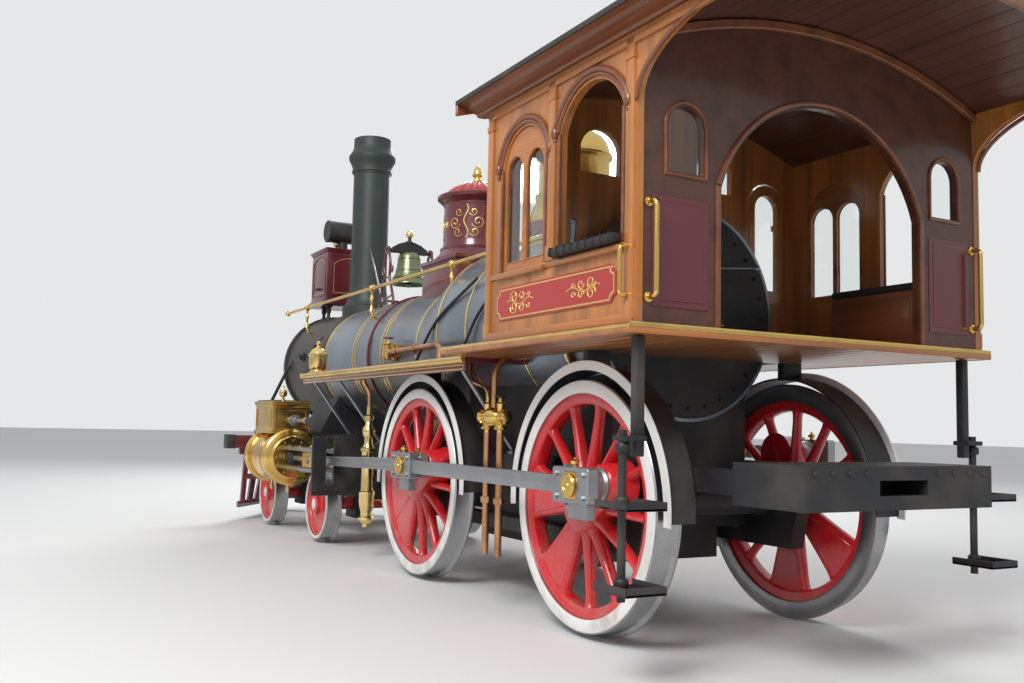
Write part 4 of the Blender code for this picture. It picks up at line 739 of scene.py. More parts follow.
class Recipe(Board):
    """A Geometry Nodes tree with named inputs, ending in Realize Instances and Set Material."""

    def __init__(self, name: str, inputs: Sequence[tuple[str, str, Any]]) -> None:
        """Starts a tree.

        Args:
            name: the tree's name.
            inputs: (name, socket type, default) of each size it takes.
        """
        tree = bpy.data.node_groups.new(name, "GeometryNodeTree")
        super().__init__(tree)
        tree.interface.new_socket("Geometry", in_out="OUTPUT", socket_type="NodeSocketGeometry")
        tree.interface.new_socket("Geometry", in_out="INPUT", socket_type="NodeSocketGeometry")
        self.keys: dict[str, str] = {}
        for label, kind, default in (*inputs, ("Finish", "NodeSocketMaterial", None)):
            socket = tree.interface.new_socket(label, in_out="INPUT", socket_type=kind)
            if default is not None:
                socket.default_value = default
            self.keys[label] = socket.identifier
        self.entry = tree.nodes.new("NodeGroupInput")

    def given(self, label: str) -> Wire:
        """The wire of a named input."""
        return Wire(self, self.entry.outputs[label])

    def close(self, geometry: Wire) -> "Recipe":
        """Realizes the instances, sets the material and ends the tree."""
        real = self.add("GeometryNodeRealizeInstances", None, {0: geometry})
        dressed = self.add("GeometryNodeSetMaterial", None,
                           {"Geometry": real, "Material": self.given("Finish")})
        self.make("NodeGroupOutput", None, {0: dressed})
        return self

    def cook(self, seed: Shop | None, finish: Finish, values: dict[str, Any]) -> Any:
        """Runs the tree on a seed shape and returns the plain mesh it makes.

        Args:
            seed: the shape that the tree starts from, or nothing.
            finish: the surface finish.
            values: the tree's inputs by name.

        Returns:
            The mesh, in the rail frame.
        """
        data = bpy.data.meshes.new("seed")
        if seed is not None:
            bmesh.ops.remove_doubles(seed.work, verts=seed.work.verts, dist=seed.weld)
            bmesh.ops.recalc_face_normals(seed.work, faces=seed.work.faces)
            seed.work.to_mesh(data)
            seed.work.free()
        carrier = bpy.data.objects.new("seed", data)
        bpy.context.scene.collection.objects.link(carrier)
        change = carrier.modifiers.new("recipe", "NODES")
        change.node_group = self.tree
        for label, value in values.items():
            change[self.keys[label]] = value
        change[self.keys["Finish"]] = finish.material()
        bpy.context.view_layer.update()
        graph = bpy.context.evaluated_depsgraph_get()
        made = bpy.data.meshes.new_from_object(carrier.evaluated_get(graph))
        carrier.modifiers.remove(change)
        bpy.data.objects.remove(carrier)
        bpy.data.meshes.remove(data)
        return made


class Recipes:
    """The Geometry Nodes trees that repeat or bend the small shapes."""

    def __init__(self) -> None:
        """Builds each tree once."""
        self.around = self._around()
        self.along = self._along()
        self.fan = self._fan()
        self.flutes = self._flutes()

    @staticmethod
    def _around() -> Recipe:
        """Repeats the seed about an axis through Centre.

        Returns:
            The tree.
        """
        vector, number = "NodeSocketVector", "NodeSocketFloat"
        tree = Recipe("repeat_around", (("Count", "NodeSocketInt", 8), ("Step", number, 0.5),
                                        ("Start", number, 0.0), ("Centre", vector, None),
                                        ("Tilt", vector, None)))
        points = tree.add("GeometryNodePoints", None, {"Count": tree.given("Count")})
        index = tree.add("GeometryNodeInputIndex")
        turn = index * tree.given("Step") + tree.given("Start")
        rotation = tree.add("ShaderNodeCombineXYZ", None, {"Z": turn})
        copies = tree.add("GeometryNodeInstanceOnPoints", None,
                          {"Points": points, "Instance": tree.given("Geometry"), "Rotation": rotation})
        real = tree.add("GeometryNodeRealizeInstances", None, {0: copies})
        moved = tree.add("GeometryNodeTransform", None,
                         {"Geometry": real, "Translation": tree.given("Centre"),
                          "Rotation": tree.given("Tilt")})
        return tree.close(moved)

    @staticmethod
    def _along() -> Recipe:
        """Repeats the seed along a straight line.

        Returns:
            The tree.
        """
        vector = "NodeSocketVector"
        tree = Recipe("repeat_along", (("Count", "NodeSocketInt", 8), ("Start", vector, None),
                                       ("End", vector, None)))
        line = tree.add("GeometryNodeMeshLine", {"mode": "END_POINTS"}, {"Count": tree.given("Count"),
                "Start Location": tree.given("Start"), "Offset": tree.given("End")})
        copies = tree.add("GeometryNodeInstanceOnPoints", None,
                          {"Points": line, "Instance": tree.given("Geometry")})
        return tree.close(copies)

    @staticmethod
    def _fan() -> Recipe:
        """Straight bars from one line to another, such as the slats of a pilot.

        Returns:
            The tree.
        """
        vector, number = "NodeSocketVector", "NodeSocketFloat"
        tree = Recipe("slat_fan", (("Count", "NodeSocketInt", 8), ("High Start", vector, None),
                                   ("High End", vector, None), ("Low Start", vector, None),
                                   ("Low End", vector, None), ("Width", number, 0.05),
                                   ("Depth", number, 0.05)))
        grid = tree.add("GeometryNodeMeshGrid", None, {"Size X": 1.0, "Size Y": 1.0,
                                                       "Vertices X": tree.given("Count"), "Vertices Y": 2})
        ends = tree.make("GeometryNodeInputMeshEdgeVertices")
        first = tree.add("ShaderNodeSeparateXYZ", None, {0: Wire(tree, ends.outputs["Position 1"])})
        second = tree.add("ShaderNodeSeparateXYZ", None, {0: Wire(tree, ends.outputs["Position 2"])})
        apart = (first - second).math("ABSOLUTE").above(0.0001)
        rails = tree.add("GeometryNodeDeleteGeometry", {"domain": "EDGE", "mode": "EDGE_FACE"},
                         {"Geometry": grid, "Selection": apart})
        place = tree.make("ShaderNodeSeparateXYZ", None, {0: tree.add("GeometryNodeInputPosition")})
        across = Wire(tree, place.outputs["X"]) + 0.5
        down = Wire(tree, place.outputs["Y"]) + 0.5
        lines = []
        for end in ("High", "Low"):
            node = tree.make("ShaderNodeMix", {"data_type": "VECTOR"}, {0: across})
            for socket, label in ((4, end + " Start"), (5, end + " End")):
                tree.tree.links.new(tree.given(label).socket, node.inputs[socket])
            lines.append(node.outputs[1])
        final = tree.make("ShaderNodeMix", {"data_type": "VECTOR"}, {0: down})
        tree.tree.links.new(lines[0], final.inputs[4])
        tree.tree.links.new(lines[1], final.inputs[5])
        placed = tree.add("GeometryNodeSetPosition", None,
                          {"Geometry": rails, "Position": Wire(tree, final.outputs[1])})
        curve = tree.add("GeometryNodeMeshToCurve", None, {0: placed})
        profile = tree.add("GeometryNodeCurvePrimitiveQuadrilateral", None, {"Width": tree.given("Depth"),
                "Height": tree.given("Width")})
        bars = tree.add("GeometryNodeCurveToMesh", None, {"Curve": curve, "Profile Curve": profile,
                                                          "Fill Caps": True})
        return tree.close(bars)

    @staticmethod
    def _flutes() -> Recipe:
        """Presses round flutes into a turned shape about an upright axis through X = Middle.

        Returns:
            The tree.
        """
        number = "NodeSocketFloat"
        tree = Recipe("press_flutes", (("Middle", number, 0.0), ("Count", number, 24.0),
                                       ("Depth", number, 0.01), ("Low", number, 0.0), ("High", number, 1.0)))
        place = tree.make("ShaderNodeSeparateXYZ", None, {0: tree.add("GeometryNodeInputPosition")})
        x = Wire(tree, place.outputs["X"]) - tree.given("Middle")
        y = Wire(tree, place.outputs["Y"])
        z = Wire(tree, place.outputs["Z"])
        angle = y.math("ARCTAN2", x)
        wave = (angle * tree.given("Count") * 0.5).math("SINE").math("ABSOLUTE")
        inside = z.above(tree.given("Low")) * (1.0 - z.above(tree.given("High")))
        radius = (x * x + y * y).math("SQRT")
        near = radius.math("MAXIMUM", 0.01)
        push = (wave - 1.0) * tree.given("Depth") * inside * (radius / (near + 0.08))
        offset = tree.add("ShaderNodeCombineXYZ", None, {"X": x / near * push, "Y": y / near * push})
        moved = tree.add("GeometryNodeSetPosition", None, {"Geometry": tree.given("Geometry"),
                "Offset": offset})
        return tree.close(moved)


class Maker:
    """What every sub-assembly shares: the trees, and short ways to repeat shapes."""

    def __init__(self, recipes: Recipes) -> None:
        """Keeps the trees."""
        self.recipes = recipes

    def deliver(self, name: str, made: Any, finish: Finish, body: str = "engine", slot: str = "",
                replaces: Sequence[str] = (), crease: float = 32.0) -> Any:
        """Moves a tree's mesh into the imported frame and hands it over."""
        made.transform(Matrix.Translation(Shop.shift))
        return hand_over(name, made, finish, body, replaces, crease)

    def bolt_ring(self, name: str, centre: Point, axis: Point, radius: float, count: int, size: float,
                  finish: Finish, body: str = "engine", start: float = 0.0) -> Any:
        """A ring of hexagon nuts with stud ends.

        Args:
            name: the piece's name.
            centre: the ring's centre, on the face that the nuts stand on.
            axis: the way the nuts point.
            radius: the ring's radius.
            count: how many nuts.
            size: a nut's radius.
            finish: its surface finish.
            body: the CAD body that it moves with.
            start: the first nut's angle in radians.

        Returns:
            The object.
        """
        nut = Shop("nut")
        nut.lathe(((0.0, -size * 0.1), (size, -size * 0.1), (size, size * 0.7), (size * 0.8, size * 0.85),
                   (0.0, size * 0.85)), (radius, 0, 0), (0, 0, 1), 6)
        nut.lathe(((0.0, size * 0.8), (size * 0.45, size * 0.8), (size * 0.4, size * 1.25),
                   (0.0, size * 1.3)), (radius, 0, 0), (0, 0, 1), 8)
        tilt = lean(axis)
        values = {"Count": count, "Step": 2 * math.pi / count, "Start": start, "Centre": tuple(centre),
                  "Tilt": tilt}
        return self.deliver(name, self.recipes.around.cook(nut, finish, values), finish, body)

    def rivet_row(self, name: str, start: Point, end: Point, count: int, size: float, out: Point,
                  finish: Finish, body: str = "engine") -> Any:
        """A straight row of round-headed rivets.

        Args:
            name: the piece's name.
            start: the first rivet's place.
            end: the last one's place.
            count: how many rivets.
            size: a head's radius.
            out: the way the heads point.
            finish: its surface finish.
            body: the CAD body that it moves with.

        Returns:
            The object.
        """
        head = Shop("head")
        head.lathe(((0.0, -size * 0.2), (size, -size * 0.2), (size * 0.93, size * 0.3),
                    (size * 0.55, size * 0.65), (0.0, size * 0.75)), (0, 0, 0), out, 8)
        made = self.recipes.along.cook(head, finish, {"Count": count, "Start": tuple(start),
                                                      "End": tuple(end)})
        return self.deliver(name, made, finish, body)


def mm(*values: float) -> Outline:
    """Pairs of lengths in millimetres, given back in metres."""
    return [(first / 1000, second / 1000) for first, second in zip(values[::2], values[1::2])]


def lean(axis: Point) -> tuple[float, ...]:
    """The Euler angles that turn Z onto an axis."""
    return tuple(Vector((0, 0, 1)).rotation_difference(Vector(axis)).to_euler())


def oblong(low_across: float, low_up: float, high_across: float, high_up: float) -> Outline:
    """The four corners of an upright rectangle."""
    return [(low_across, low_up), (high_across, low_up), (high_across, high_up), (low_across, high_up)]


def polar(centre: Point, radius: float, degrees: float) -> tuple[float, float]:
    """A point on a circle."""
    turn = math.radians(degrees)
    return centre[0] + radius * math.cos(turn), centre[1] + radius * math.sin(turn)


def arc(centre: Point, radius: float, start: float, end: float, count: int) -> Outline:
    """Points on a circle from one angle to another, both ends included."""
    return [polar(centre, radius, start + (end - start) * index / (count - 1)) for index in range(count)]


def circle(centre: Point, radius: float, count: int = 32) -> Outline:
    """Points all round a circle."""
    return arc(centre, radius, 0.0, 360.0 - 360.0 / count, count)


def arched(low: float, high: float, bottom: float, top: float, rise: float, count: int = 17) -> Outline:
    """An upright opening with an arched head.

    Args:
        low: its left edge.
        high: its right edge.
        bottom: its sill.
        top: the crown of the arch.
        rise: how far the crown stands over the ends of the arch.
        count: how many points the arch has.

    Returns:
        The outline's points.
    """
    half = (high - low) / 2
    radius = (half * half + rise * rise) / (2 * rise)
    reach = math.degrees(math.asin(min(1.0, half / radius)))
    if rise > half:
        reach = 180 - reach
    return [(low, bottom), (high, bottom)] + arc(((low + high) / 2, top - radius), radius, 90 - reach,
                                                 90 + reach, count)


PIN_CAP = mm(0, 1071.2, 60, 1071.2, 62, 1075, 62, 1082, 56, 1088, 36, 1088, 30, 1082, 14, 1082, 10, 1088, 0,
             1088)


@dataclass
class DrivingWheels(Maker):
    """The two driving axles with tyres, spoked centres, crank pins and caps."""

    recipes: Recipes
    wheelbase: float = 2.246
    tread: float = 0.686
    crank: float = 0.305
    left_crank: float = 156.0
    spokes: int = 13

    def pin(self, x: float, side: float) -> tuple[float, float]:
        """The crank pin's centre on one side of an axle."""
        return polar((x, self.tread), self.crank, self.left_crank if side > 0 else self.left_crank - 90.0)

    def build(self) -> None:
        """Builds both axles."""
        gaps = {"rear_driver": (5, 7), "front_driver": (5, 6, 7)}
        for name, x in (("rear_driver", 0.0), ("front_driver", self.wheelbase)):
            self._axle(name, x)
            for word, side in SIDES:
                self._rim(name, word, x, side)
                self._centre(name, word, x, side, gaps[name])
                self._pin(name, word, x, side)

    def _axle(self, name: str, x: float) -> None:
        """The axle with its eased collars."""
        shop = Shop(name + "_axle_forging")
        shop.lathe(mm(0, -655, 88, -655, 88, -470, 78, -450, 74, 0, 78, 450, 88, 470, 88, 655, 0, 655),
                   (x, 0, self.tread), (0, 1, 0), 40)
        shop.finish(IRON_BLACK, name, "rod_steel", [name + "_axle"])

    def _rim(self, name: str, word: str, x: float, side: float) -> None:
        """The tyre, its white edge and the red rim."""
        centre, axis = (x, 0.0, self.tread), (0, side, 0)
        tyre = Shop(f"{name}_tyre_{word}")
        tyre.lathe(mm(607.5, 815, 607.5, 682, 612, 680, 700, 680, 709, 683, 713.5, 690, 712, 698, 703, 705,
                      692, 710, 685.5, 720, 683.5, 812, 678, 818.5, 612, 818.5), centre, axis, 96, ring=True)
        tyre.finish(TREAD, name, "wheel_red")
        edge = Shop(f"{name}_tyre_edge_{word}")
        edge.lathe(mm(608.5, 812, 608.5, 821.5, 612, 823.5, 671, 823.5, 675.5, 821, 675.5, 812), centre,
                   axis, 96, ring=True)
        edge.finish(TYRE_WHITE, name, "wheel_red")
        rim = Shop(f"{name}_rim_{word}")
        rim.lathe(mm(607.8, 700, 607.8, 806, 597, 808, 560, 803, 550, 795, 546, 780, 546, 732, 550, 718, 560,
                     708), centre, axis, 96, ring=True)
        rim.finish(WHEEL_RED, name, "wheel_red")

    def _centre(self, name: str, word: str, x: float, side: float, gaps: Sequence[int]) -> None:
        """Spokes, hub, crank boss and counterweight."""
        crank = self.left_crank if side > 0 else self.left_crank - 90.0
        spoke = Shop("spoke")
        rows = []
        for radius, width, depth in ((0.125, 0.105, 0.13), (0.15, 0.082, 0.115), (0.18, 0.066, 0.1),
                                     (0.24, 0.060, 0.088), (0.36, 0.053, 0.075), (0.48, 0.048, 0.066),
                                     (0.525, 0.052, 0.068), (0.545, 0.066, 0.076), (0.556, 0.088, 0.088)):
            row = []
            for across, up in circle((0.0, 0.0), 1.0, 16):
                row.append((radius, across * width / 2, 0.757 + up * depth / 2))
            rows.append(row)
        spoke.loft(rows)
        tilt = lean((0, side, 0))
        step = 2 * math.pi / self.spokes
        values = {"Count": self.spokes, "Step": step, "Start": math.radians(-side * crank),
                  "Centre": (x, 0.0, self.tread), "Tilt": tilt}
        made = self.recipes.around.cook(spoke, WHEEL_RED, values)
        self.deliver(f"{name}_spokes_{word}", made, WHEEL_RED, name, "wheel_red", [f"{name}_wheel_{word}"],
                     50.0)
        shop = Shop(f"{name}_hub_{word}")
        shop.lathe(mm(0, 661, 118, 661, 134, 670, 142, 700, 156, 735, 156, 785, 147, 828, 130, 848, 102, 858,
                      84, 860, 0, 860), (x, 0, self.tread), (0, side, 0), 64)
        pin_x, pin_z = self.pin(x, side)
        shop.lathe(mm(0, 722, 132, 722, 122, 752, 113, 782, 110, 868, 100, 880, 0, 880), (pin_x, 0, pin_z),
                   (0, side, 0), 48)
        web = [polar((x, self.tread), 0.135, crank + turn) for turn in range(90, 271, 15)]
        web += [polar((pin_x, pin_z), 0.102, crank + turn) for turn in range(-90, 91, 15)]
        shop.slab(web, (), side * 0.724, side * 0.852, Facing.Y, 0.012)
        pitch = 360.0 / self.spokes
        for index in gaps:
            middle = crank + pitch * (index + 0.5)
            wedge = arc((x, self.tread), 0.165, middle - 13.0, middle + 13.0, 6)
            wedge += arc((x, self.tread), 0.553, middle + 13.4, middle - 13.4, 12)
            shop.slab(wedge, (), side * 0.722, side * 0.792, Facing.Y, 0.006)
        shop.finish(WHEEL_RED, name, "wheel_red", crease=38.0)

    def _pin(self, name: str, word: str, x: float, side: float) -> None:
        """The axle's end, the crank pin with its collar, and the cap over the rod."""
        pin_x, pin_z = self.pin(x, side)
        shop = Shop(f"{name}_pin_{word}")
        shop.lathe(mm(0, 850, 78, 850, 78, 862, 70, 868, 22, 868, 12, 860, 0, 860), (x, 0, self.tread),
                   (0, side, 0), 40)
        if name.startswith("rear"):
            collar = mm(0, 860, 90, 860, 90, 890, 78, 902, 74, 930, 78, 965, 84, 975, 84, 998.5, 49, 999, 49,
                        1080, 0, 1080)
            shop.lathe(collar, (pin_x, 0, pin_z), (0, side, 0), 40)
            cap = Shop(f"{name}_pin_cap_{word}")
            cap.lathe(PIN_CAP, (pin_x, 0, pin_z), (0, side, 0), 40)
            cap.finish(BRASS, name)
        shop.finish(STEEL, name, "rod_steel")


@dataclass
class Motion(Maker):
    """Side rods, main rods, crossheads, guides and the yoke's bolts."""

    recipes: Recipes
    wheels: DrivingWheels
    cylinder_y: float = 0.93
    axis_z: float = 0.75
    rod_length: float = 2.40

    def build(self) -> None:
        """Builds both sides."""
        for word, side in SIDES:
            self._side_rod(word, side)
            self._main_rod(word, side)
            self._crosshead(word, side)
            self._guides(word, side)
            for z in (0.505, 0.965):
                self.rivet_row(f"yoke_rivets_{word}_{int(z * 1000)}", (3.881, side * 0.68, z),
                               (3.881, side * 1.05, z), 5, 0.014, (-1, 0, 0), IRON_BLACK)

    def _strap(self, steel: Shop, brass: Shop, x: float, z: float, side: float, faces: tuple[float, float],
               half: tuple[float, float], slope: float = 0.0) -> None:
        """One rod end: a strap round a brass that is open for the pin.

        Args:
            steel: the shop of the strap.
            brass: the shop of the bearing.
            x: the pin's place along.
            z: the pin's height.
            side: which side of the engine.
            faces: the strap's near and far face from the middle.
            half: half the strap's length and height.
            slope: the rod's slope in radians.
        """
        turn = Matrix.Translation((x, 0, z)) @ Matrix.Rotation(-slope, 4, "Y")
        long, high = half
        near, far = faces
        ease = 0.018
        outline = []
        for sx, sz, start in ((1, 1, 0), (-1, 1, 90), (-1, -1, 180), (1, -1, 270)):
            outline += arc((sx * (long - ease), sz * (high - ease)), ease, start, start + 90, 5)
        window = oblong(-0.058, -0.068, 0.058, 0.068)
        steel.slab(outline, [window], side * (near + 0.002), side * (far - 0.003), Facing.Y, 0.003, turn)
        brass.slab([(across * 0.995, up * 0.995) for across, up in window], [circle((0, 0), 0.0506, 32)],
                   side * (near + 0.0006), side * (far - 0.0006), Facing.Y, 0.002, turn)
        for share in (-0.74, 0.74):
            for up in (-0.62, 0.62):
                spot = turn @ Vector((share * long, side * (far - 0.004), up * high))
                steel.lathe(mm(0, 0, 16, 0, 16, 11, 12, 14, 0, 14), spot, (0, side, 0), 6)
        steel.box((long * 0.42, side * (near + 0.004), -high * 1.12), (long * 0.52, side * (far - 0.02),
                high * 1.14), 0.003, turn)

    def _side_rod(self, word: str, side: float) -> None:
        """The coupling rod with strapped ends, cotter blocks and oil cups."""
        front_x, z = self.wheels.pin(self.wheels.wheelbase, side)
        rear_x = front_x - self.wheels.wheelbase
        steel, brass = Shop("side_rod_straps_" + word), Shop("side_rod_brasses_" + word)
        low, high = z - 0.046, z + 0.046
        steel.box((rear_x + 0.15, side * 1.014, low), (front_x - 0.15, side * 1.056, high), 0.007)
        for x in (rear_x, front_x):
            self._strap(steel, brass, x, z, side, (1.0, 1.07), (0.17, 0.093))
            steel.box((x - 0.153, side * 1.006, z - 0.166), (x + 0.017, side * 1.064, z - 0.09), 0.006)
            steel.rod((x - 0.11, side * 1.035, z - 0.172), (x - 0.11, side * 1.035, z - 0.16), 0.016, 6)
            steel.rod((x - 0.03, side * 1.035, z - 0.172), (x - 0.03, side * 1.035, z - 0.16), 0.016, 6)
            brass.lathe(mm(0, 0, 12, 0, 12, 12, 22, 18, 24, 34, 18, 40, 7, 44, 6, 52, 0, 53),
                        (x, side * 1.035, z + 0.09), (0, 0, 1), 20)
        steel.lathe(mm(0, 978, 66, 978, 68, 982, 68, 998.5, 49, 999, 49, 1080, 0, 1080), (front_x, 0, z),
                    (0, side, 0), 40)
        brass.lathe(PIN_CAP, (front_x, 0, z), (0, side, 0), 40)
        body = f"side_rod_{word}_body"
        steel.finish(STEEL, body, "rod_steel", ["side_rod_" + word])
        brass.finish(BRASS, body, "brass")

    def _wrist_x(self, side: float) -> float:
        """Where the wrist pin stands."""
        x, z = self.wheels.pin(self.wheels.wheelbase, side)
        return x + math.sqrt(self.rod_length ** 2 - (z - self.axis_z) ** 2)

    def _main_rod(self, word: str, side: float) -> None:
        """The connecting rod with its fluted shank."""
        x, z = self.wheels.pin(self.wheels.wheelbase, side)
        wrist = self._wrist_x(side)
        slope = math.atan2(self.axis_z - z, wrist - x)
        steel, brass = Shop("main_rod_shank_" + word), Shop("main_rod_brasses_" + word)
        turn = Matrix.Translation((x, 0, z)) @ Matrix.Rotation(-slope, 4, "Y")
        length = self.rod_length
        shank = [(0.10, -0.05), (length, -0.036), (length, 0.036), (0.10, 0.05)]
        flute = [(0.26, -0.028), (length - 0.16, -0.018), (length - 0.16, 0.018), (0.26, 0.028)]
        steel.slab(shank, [flute], side * 0.906, side * 0.954, Facing.Y, 0.003, turn)
        steel.slab(flute, (), side * 0.918, side * 0.942, Facing.Y, 0.0, turn)
        self._strap(steel, brass, x, z, side, (0.898, 0.962), (0.12, 0.084), slope)
        steel.lathe(mm(0, 890, 47, 890, 49, 893, 49, 966, 47, 969.5, 0, 969.5), (x, 0, z), (0, side, 0), 36)
        steel.lathe(mm(31, 901, 51, 901, 53, 906, 53, 954, 51, 959, 31, 959), (wrist, 0, self.axis_z),
                    (0, side, 0), 36, ring=True)
        brass.lathe(mm(0, 0, 10, 0, 10, 12, 20, 17, 21, 30, 6, 38, 0, 42), (x, side * 0.93, z + 0.083),
                    (0, 0, 1), 20)
        steel.finish(STEEL, "engine", "rod_steel", ["main_rod_" + word])
        brass.finish(BRASS, "engine", "brass")

    def _crosshead(self, word: str, side: float) -> None:
        """The brass crosshead, its wrist pin, oil cup and piston rod."""
        x, y, z = self._wrist_x(side), self.cylinder_y, self.axis_z
        brass, steel = Shop("crosshead_block_" + word), Shop("piston_rod_" + word)
        cheek = []
        for sx, sz, start in ((1, 1, 0), (-1, 1, 90), (-1, -1, 180), (1, -1, 270)):
            cheek += arc((x + sx * 0.13, z + sz * 0.05), 0.018, start, start + 90, 5)
        for near, far in ((0.034, 0.058), (-0.034, -0.058)):
            brass.slab(cheek, [circle((x, z), 0.0305, 24)], side * (y + near), side * (y + far), Facing.Y,
                       0.003)
        for sign in (-1, 1):
            brass.box((x - 0.149, side * (y - 0.035), z + sign * 0.058), (x + 0.149, side * (y + 0.035),
                    z + sign * 0.0742), 0.002)
        brass.box((x + 0.062, side * (y - 0.034), z - 0.06), (x + 0.14, side * (y + 0.034), z + 0.06), 0.003)
        brass.lathe(mm(0, 0, 10, 0, 9, 12, 19, 18, 21, 45, 14, 52, 4, 55, 4, 66, 0, 67),
                    (x + 0.06, side * y, z + 0.074), (0, 0, 1), 20)
        steel.lathe(((0.0, y - 0.06), (0.029, y - 0.06), (0.029, y + 0.058), (0.04, y + 0.06),
                     (0.04, y + 0.064), (0.0, y + 0.066)), (x, 0, z), (0, side, 0), 28)
        steel.rod((x + 0.138, side * y, z), (4.962, side * y, z), 0.027, 24)
        steel.rod((x + 0.139, side * y, z), (x + 0.175, side * y, z), 0.042, 6)
        brass.finish(BRASS, "engine", "rod_steel", ["crosshead_" + word])
        steel.finish(STEEL, "engine", "rod_steel")

    def _guides(self, word: str, side: float) -> None:
        """Four guide bars with their front blocks and bolts."""
        steel = Shop("guide_bars_" + word)
        for across in (-0.053, 0.053):
            y = self.cylinder_y + across
            for low, high in ((0.641, 0.675), (0.825, 0.859)):
                steel.box((3.919, side * (y - 0.016), low), (4.998, side * (y + 0.016), high), 0.003)
                for x in (3.95, 3.985, 4.955):
                    out = 1 if high > 0.75 else -1
                    steel.lathe(mm(0, -4, 12, -4, 12, 9, 9, 12, 0, 12),
                                (x, side * y, high if out > 0 else low), (0, 0, out), 6)
        for low, high in ((0.641, 0.672), (0.828, 0.859)):
            steel.box((4.93, side * (self.cylinder_y - 0.07), low + 0.002),
                      (4.996, side * (self.cylinder_y + 0.07), high - 0.002), 0.003)
        steel.finish(STEEL, "engine", "rod_steel", ["guides_" + word])


@dataclass
class Cylinders(Maker):
    """Brass-cased cylinders and steam chests with their rims, nuts, glands and cocks."""

    recipes: Recipes
    y: float = 0.93
    z: float = 0.75
    rear: float = 5.0
    front: float = 5.86

    def build(self) -> None:
        """Builds both sides."""
        for word, side in SIDES:
            self._barrel(word, side)
            self._chest(word, side)
            self._cocks(word, side)

    def _barrel(self, word: str, side: float) -> None:
        """The jacket with stepped rims and a gland."""
        rim = mm(60, 0, 196, 0, 203, 6, 203, 22, 215, 28, 232, 30, 238, 38, 240, 48, 256, 52, 268, 58, 277.5,
                 67, 277.5, 92, 270, 100, 259, 104, 252, 112, 249, 124)
        profile = [(0.0, 0.0)] + list(rim)
        length = self.front - self.rear
        profile += [(0.2495, 0.25), (0.2515, 0.256), (0.2515, 0.266), (0.2495, 0.272),
                    (0.2495, length - 0.272), (0.2515, length - 0.266), (0.2515, length - 0.256),
                    (0.2495, length - 0.25)]
        profile += [(radius, length - along) for radius, along in reversed(rim)] + [(0.0, length)]
        shop = Shop("cylinder_jacket_" + word)
        shop.lathe(profile, (self.rear, side * self.y, self.z), (1, 0, 0), 96)
        shop.lathe(((0.0, length - 0.003), (0.055, length - 0.003), (0.05, length + 0.01),
                    (0.0, length + 0.014)), (self.rear, side * self.y, self.z), (1, 0, 0), 32)
        shop.finish(BRASS, "engine", "brass", ["cylinder_" + word], 26.0)
        black = Shop("cylinder_gland_" + word)
        black.lathe(mm(29, -60, 44, -58, 48, -50, 48, -34, 72, -30, 74, -16, 60, -12, 60, 2, 29, 2),
                    (self.rear, side * self.y, self.z), (1, 0, 0), 32, ring=True)
        black.box((5.15, side * 0.62, 0.60), (5.71, side * 0.80, 0.985), 0.012)
        black.finish(IRON_BLACK)
        for place, face, way in (("rear", self.rear + 0.001, -1), ("front", self.front - 0.001, 1)):
            self.bolt_ring(f"cylinder_nuts_{place}_{word}", (face, side * self.y, self.z), (way, 0, 0),
                           0.165, 12, 0.0115, BRASS)

    def _chest(self, word: str, side: float) -> None:
        """The valve chest with its cornice and framed panels."""
        shop = Shop("steam_chest_case_" + word)
        low_y, high_y = self.y - 0.19, self.y + 0.19
        shop.box((5.118, side * low_y, 1.0), (5.742, side * high_y, 1.27), 0.008)
        for grow, low, high, ease in ((0.012, 0.98, 1.006, 0.005), (0.006, 1.254, 1.264, 0.003),
                                      (0.012, 1.264, 1.278, 0.004), (0.0145, 1.278, 1.298, 0.006)):
            shop.box((5.116 - grow, side * (low_y - grow), low), (5.744 + grow, side * (high_y + grow),
                    high), ease)
        for face in (5.119, 5.741):
            frame = oblong(side * (low_y + 0.03), 1.03, side * (high_y - 0.03), 1.235)
            hole = oblong(side * (low_y + 0.044), 1.044, side * (high_y - 0.044), 1.221)
            shop.slab(frame, [hole], face - 0.006, face + 0.006, Facing.X, 0.002)
        frame, hole = oblong(5.15, 1.03, 5.71, 1.235), oblong(5.164, 1.044, 5.696, 1.221)
        shop.slab(frame, [hole], side * (high_y - 0.006), side * (high_y + 0.006), Facing.Y, 0.002)
        shop.finish(BRASS, "engine", "brass", ["steam_chest_" + word], 26.0)
        lid = Shop("steam_chest_lid_" + word)
        lid.box((5.125, side * (low_y + 0.008), 1.292), (5.735, side * (high_y - 0.008), 1.309), 0.005)
        lid.finish(IRON_BLACK)
        gland = Shop("valve_gland_" + word)
        gland.rod((4.93, side * 0.93, 1.11), (5.13, side * 0.93, 1.11), 0.034, 24)
        gland.rod((4.97, side * 0.93, 1.11), (4.995, side * 0.93, 1.11), 0.056, 24)
        gland.rod((4.62, side * 0.93, 1.11), (4.94, side * 0.93, 1.11), 0.017, 16)
        gland.rod((4.60, side * 0.93, 1.11), (4.66, side * 0.93, 1.11), 0.03, 16)
        gland.finish(STEEL)

    def _cocks(self, word: str, side: float) -> None:
        """Drain cocks under the cylinder and an oil cup over the chest."""
        shop = Shop("cylinder_cocks_" + word)
        for x in (5.14, 5.72):
            shop.rod((x, side * self.y, 0.52), (x, side * self.y, 0.40), 0.011, 12)
            shop.rod((x, side * self.y, 0.455), (x, side * self.y, 0.42), 0.02, 6)
            shop.rod((x - 0.03, side * self.y, 0.437), (x + 0.03, side * self.y, 0.437), 0.009, 10)
        shop.lathe(mm(0, 1300, 30, 1300, 26, 1318, 14, 1326, 14, 1345, 36, 1358, 42, 1385, 36, 1412, 16,
                      1424, 10, 1440, 14, 1452, 0, 1462), (5.43, side * self.y, 0.0), (0, 0, 1), 32)
        shop.finish(GILT)


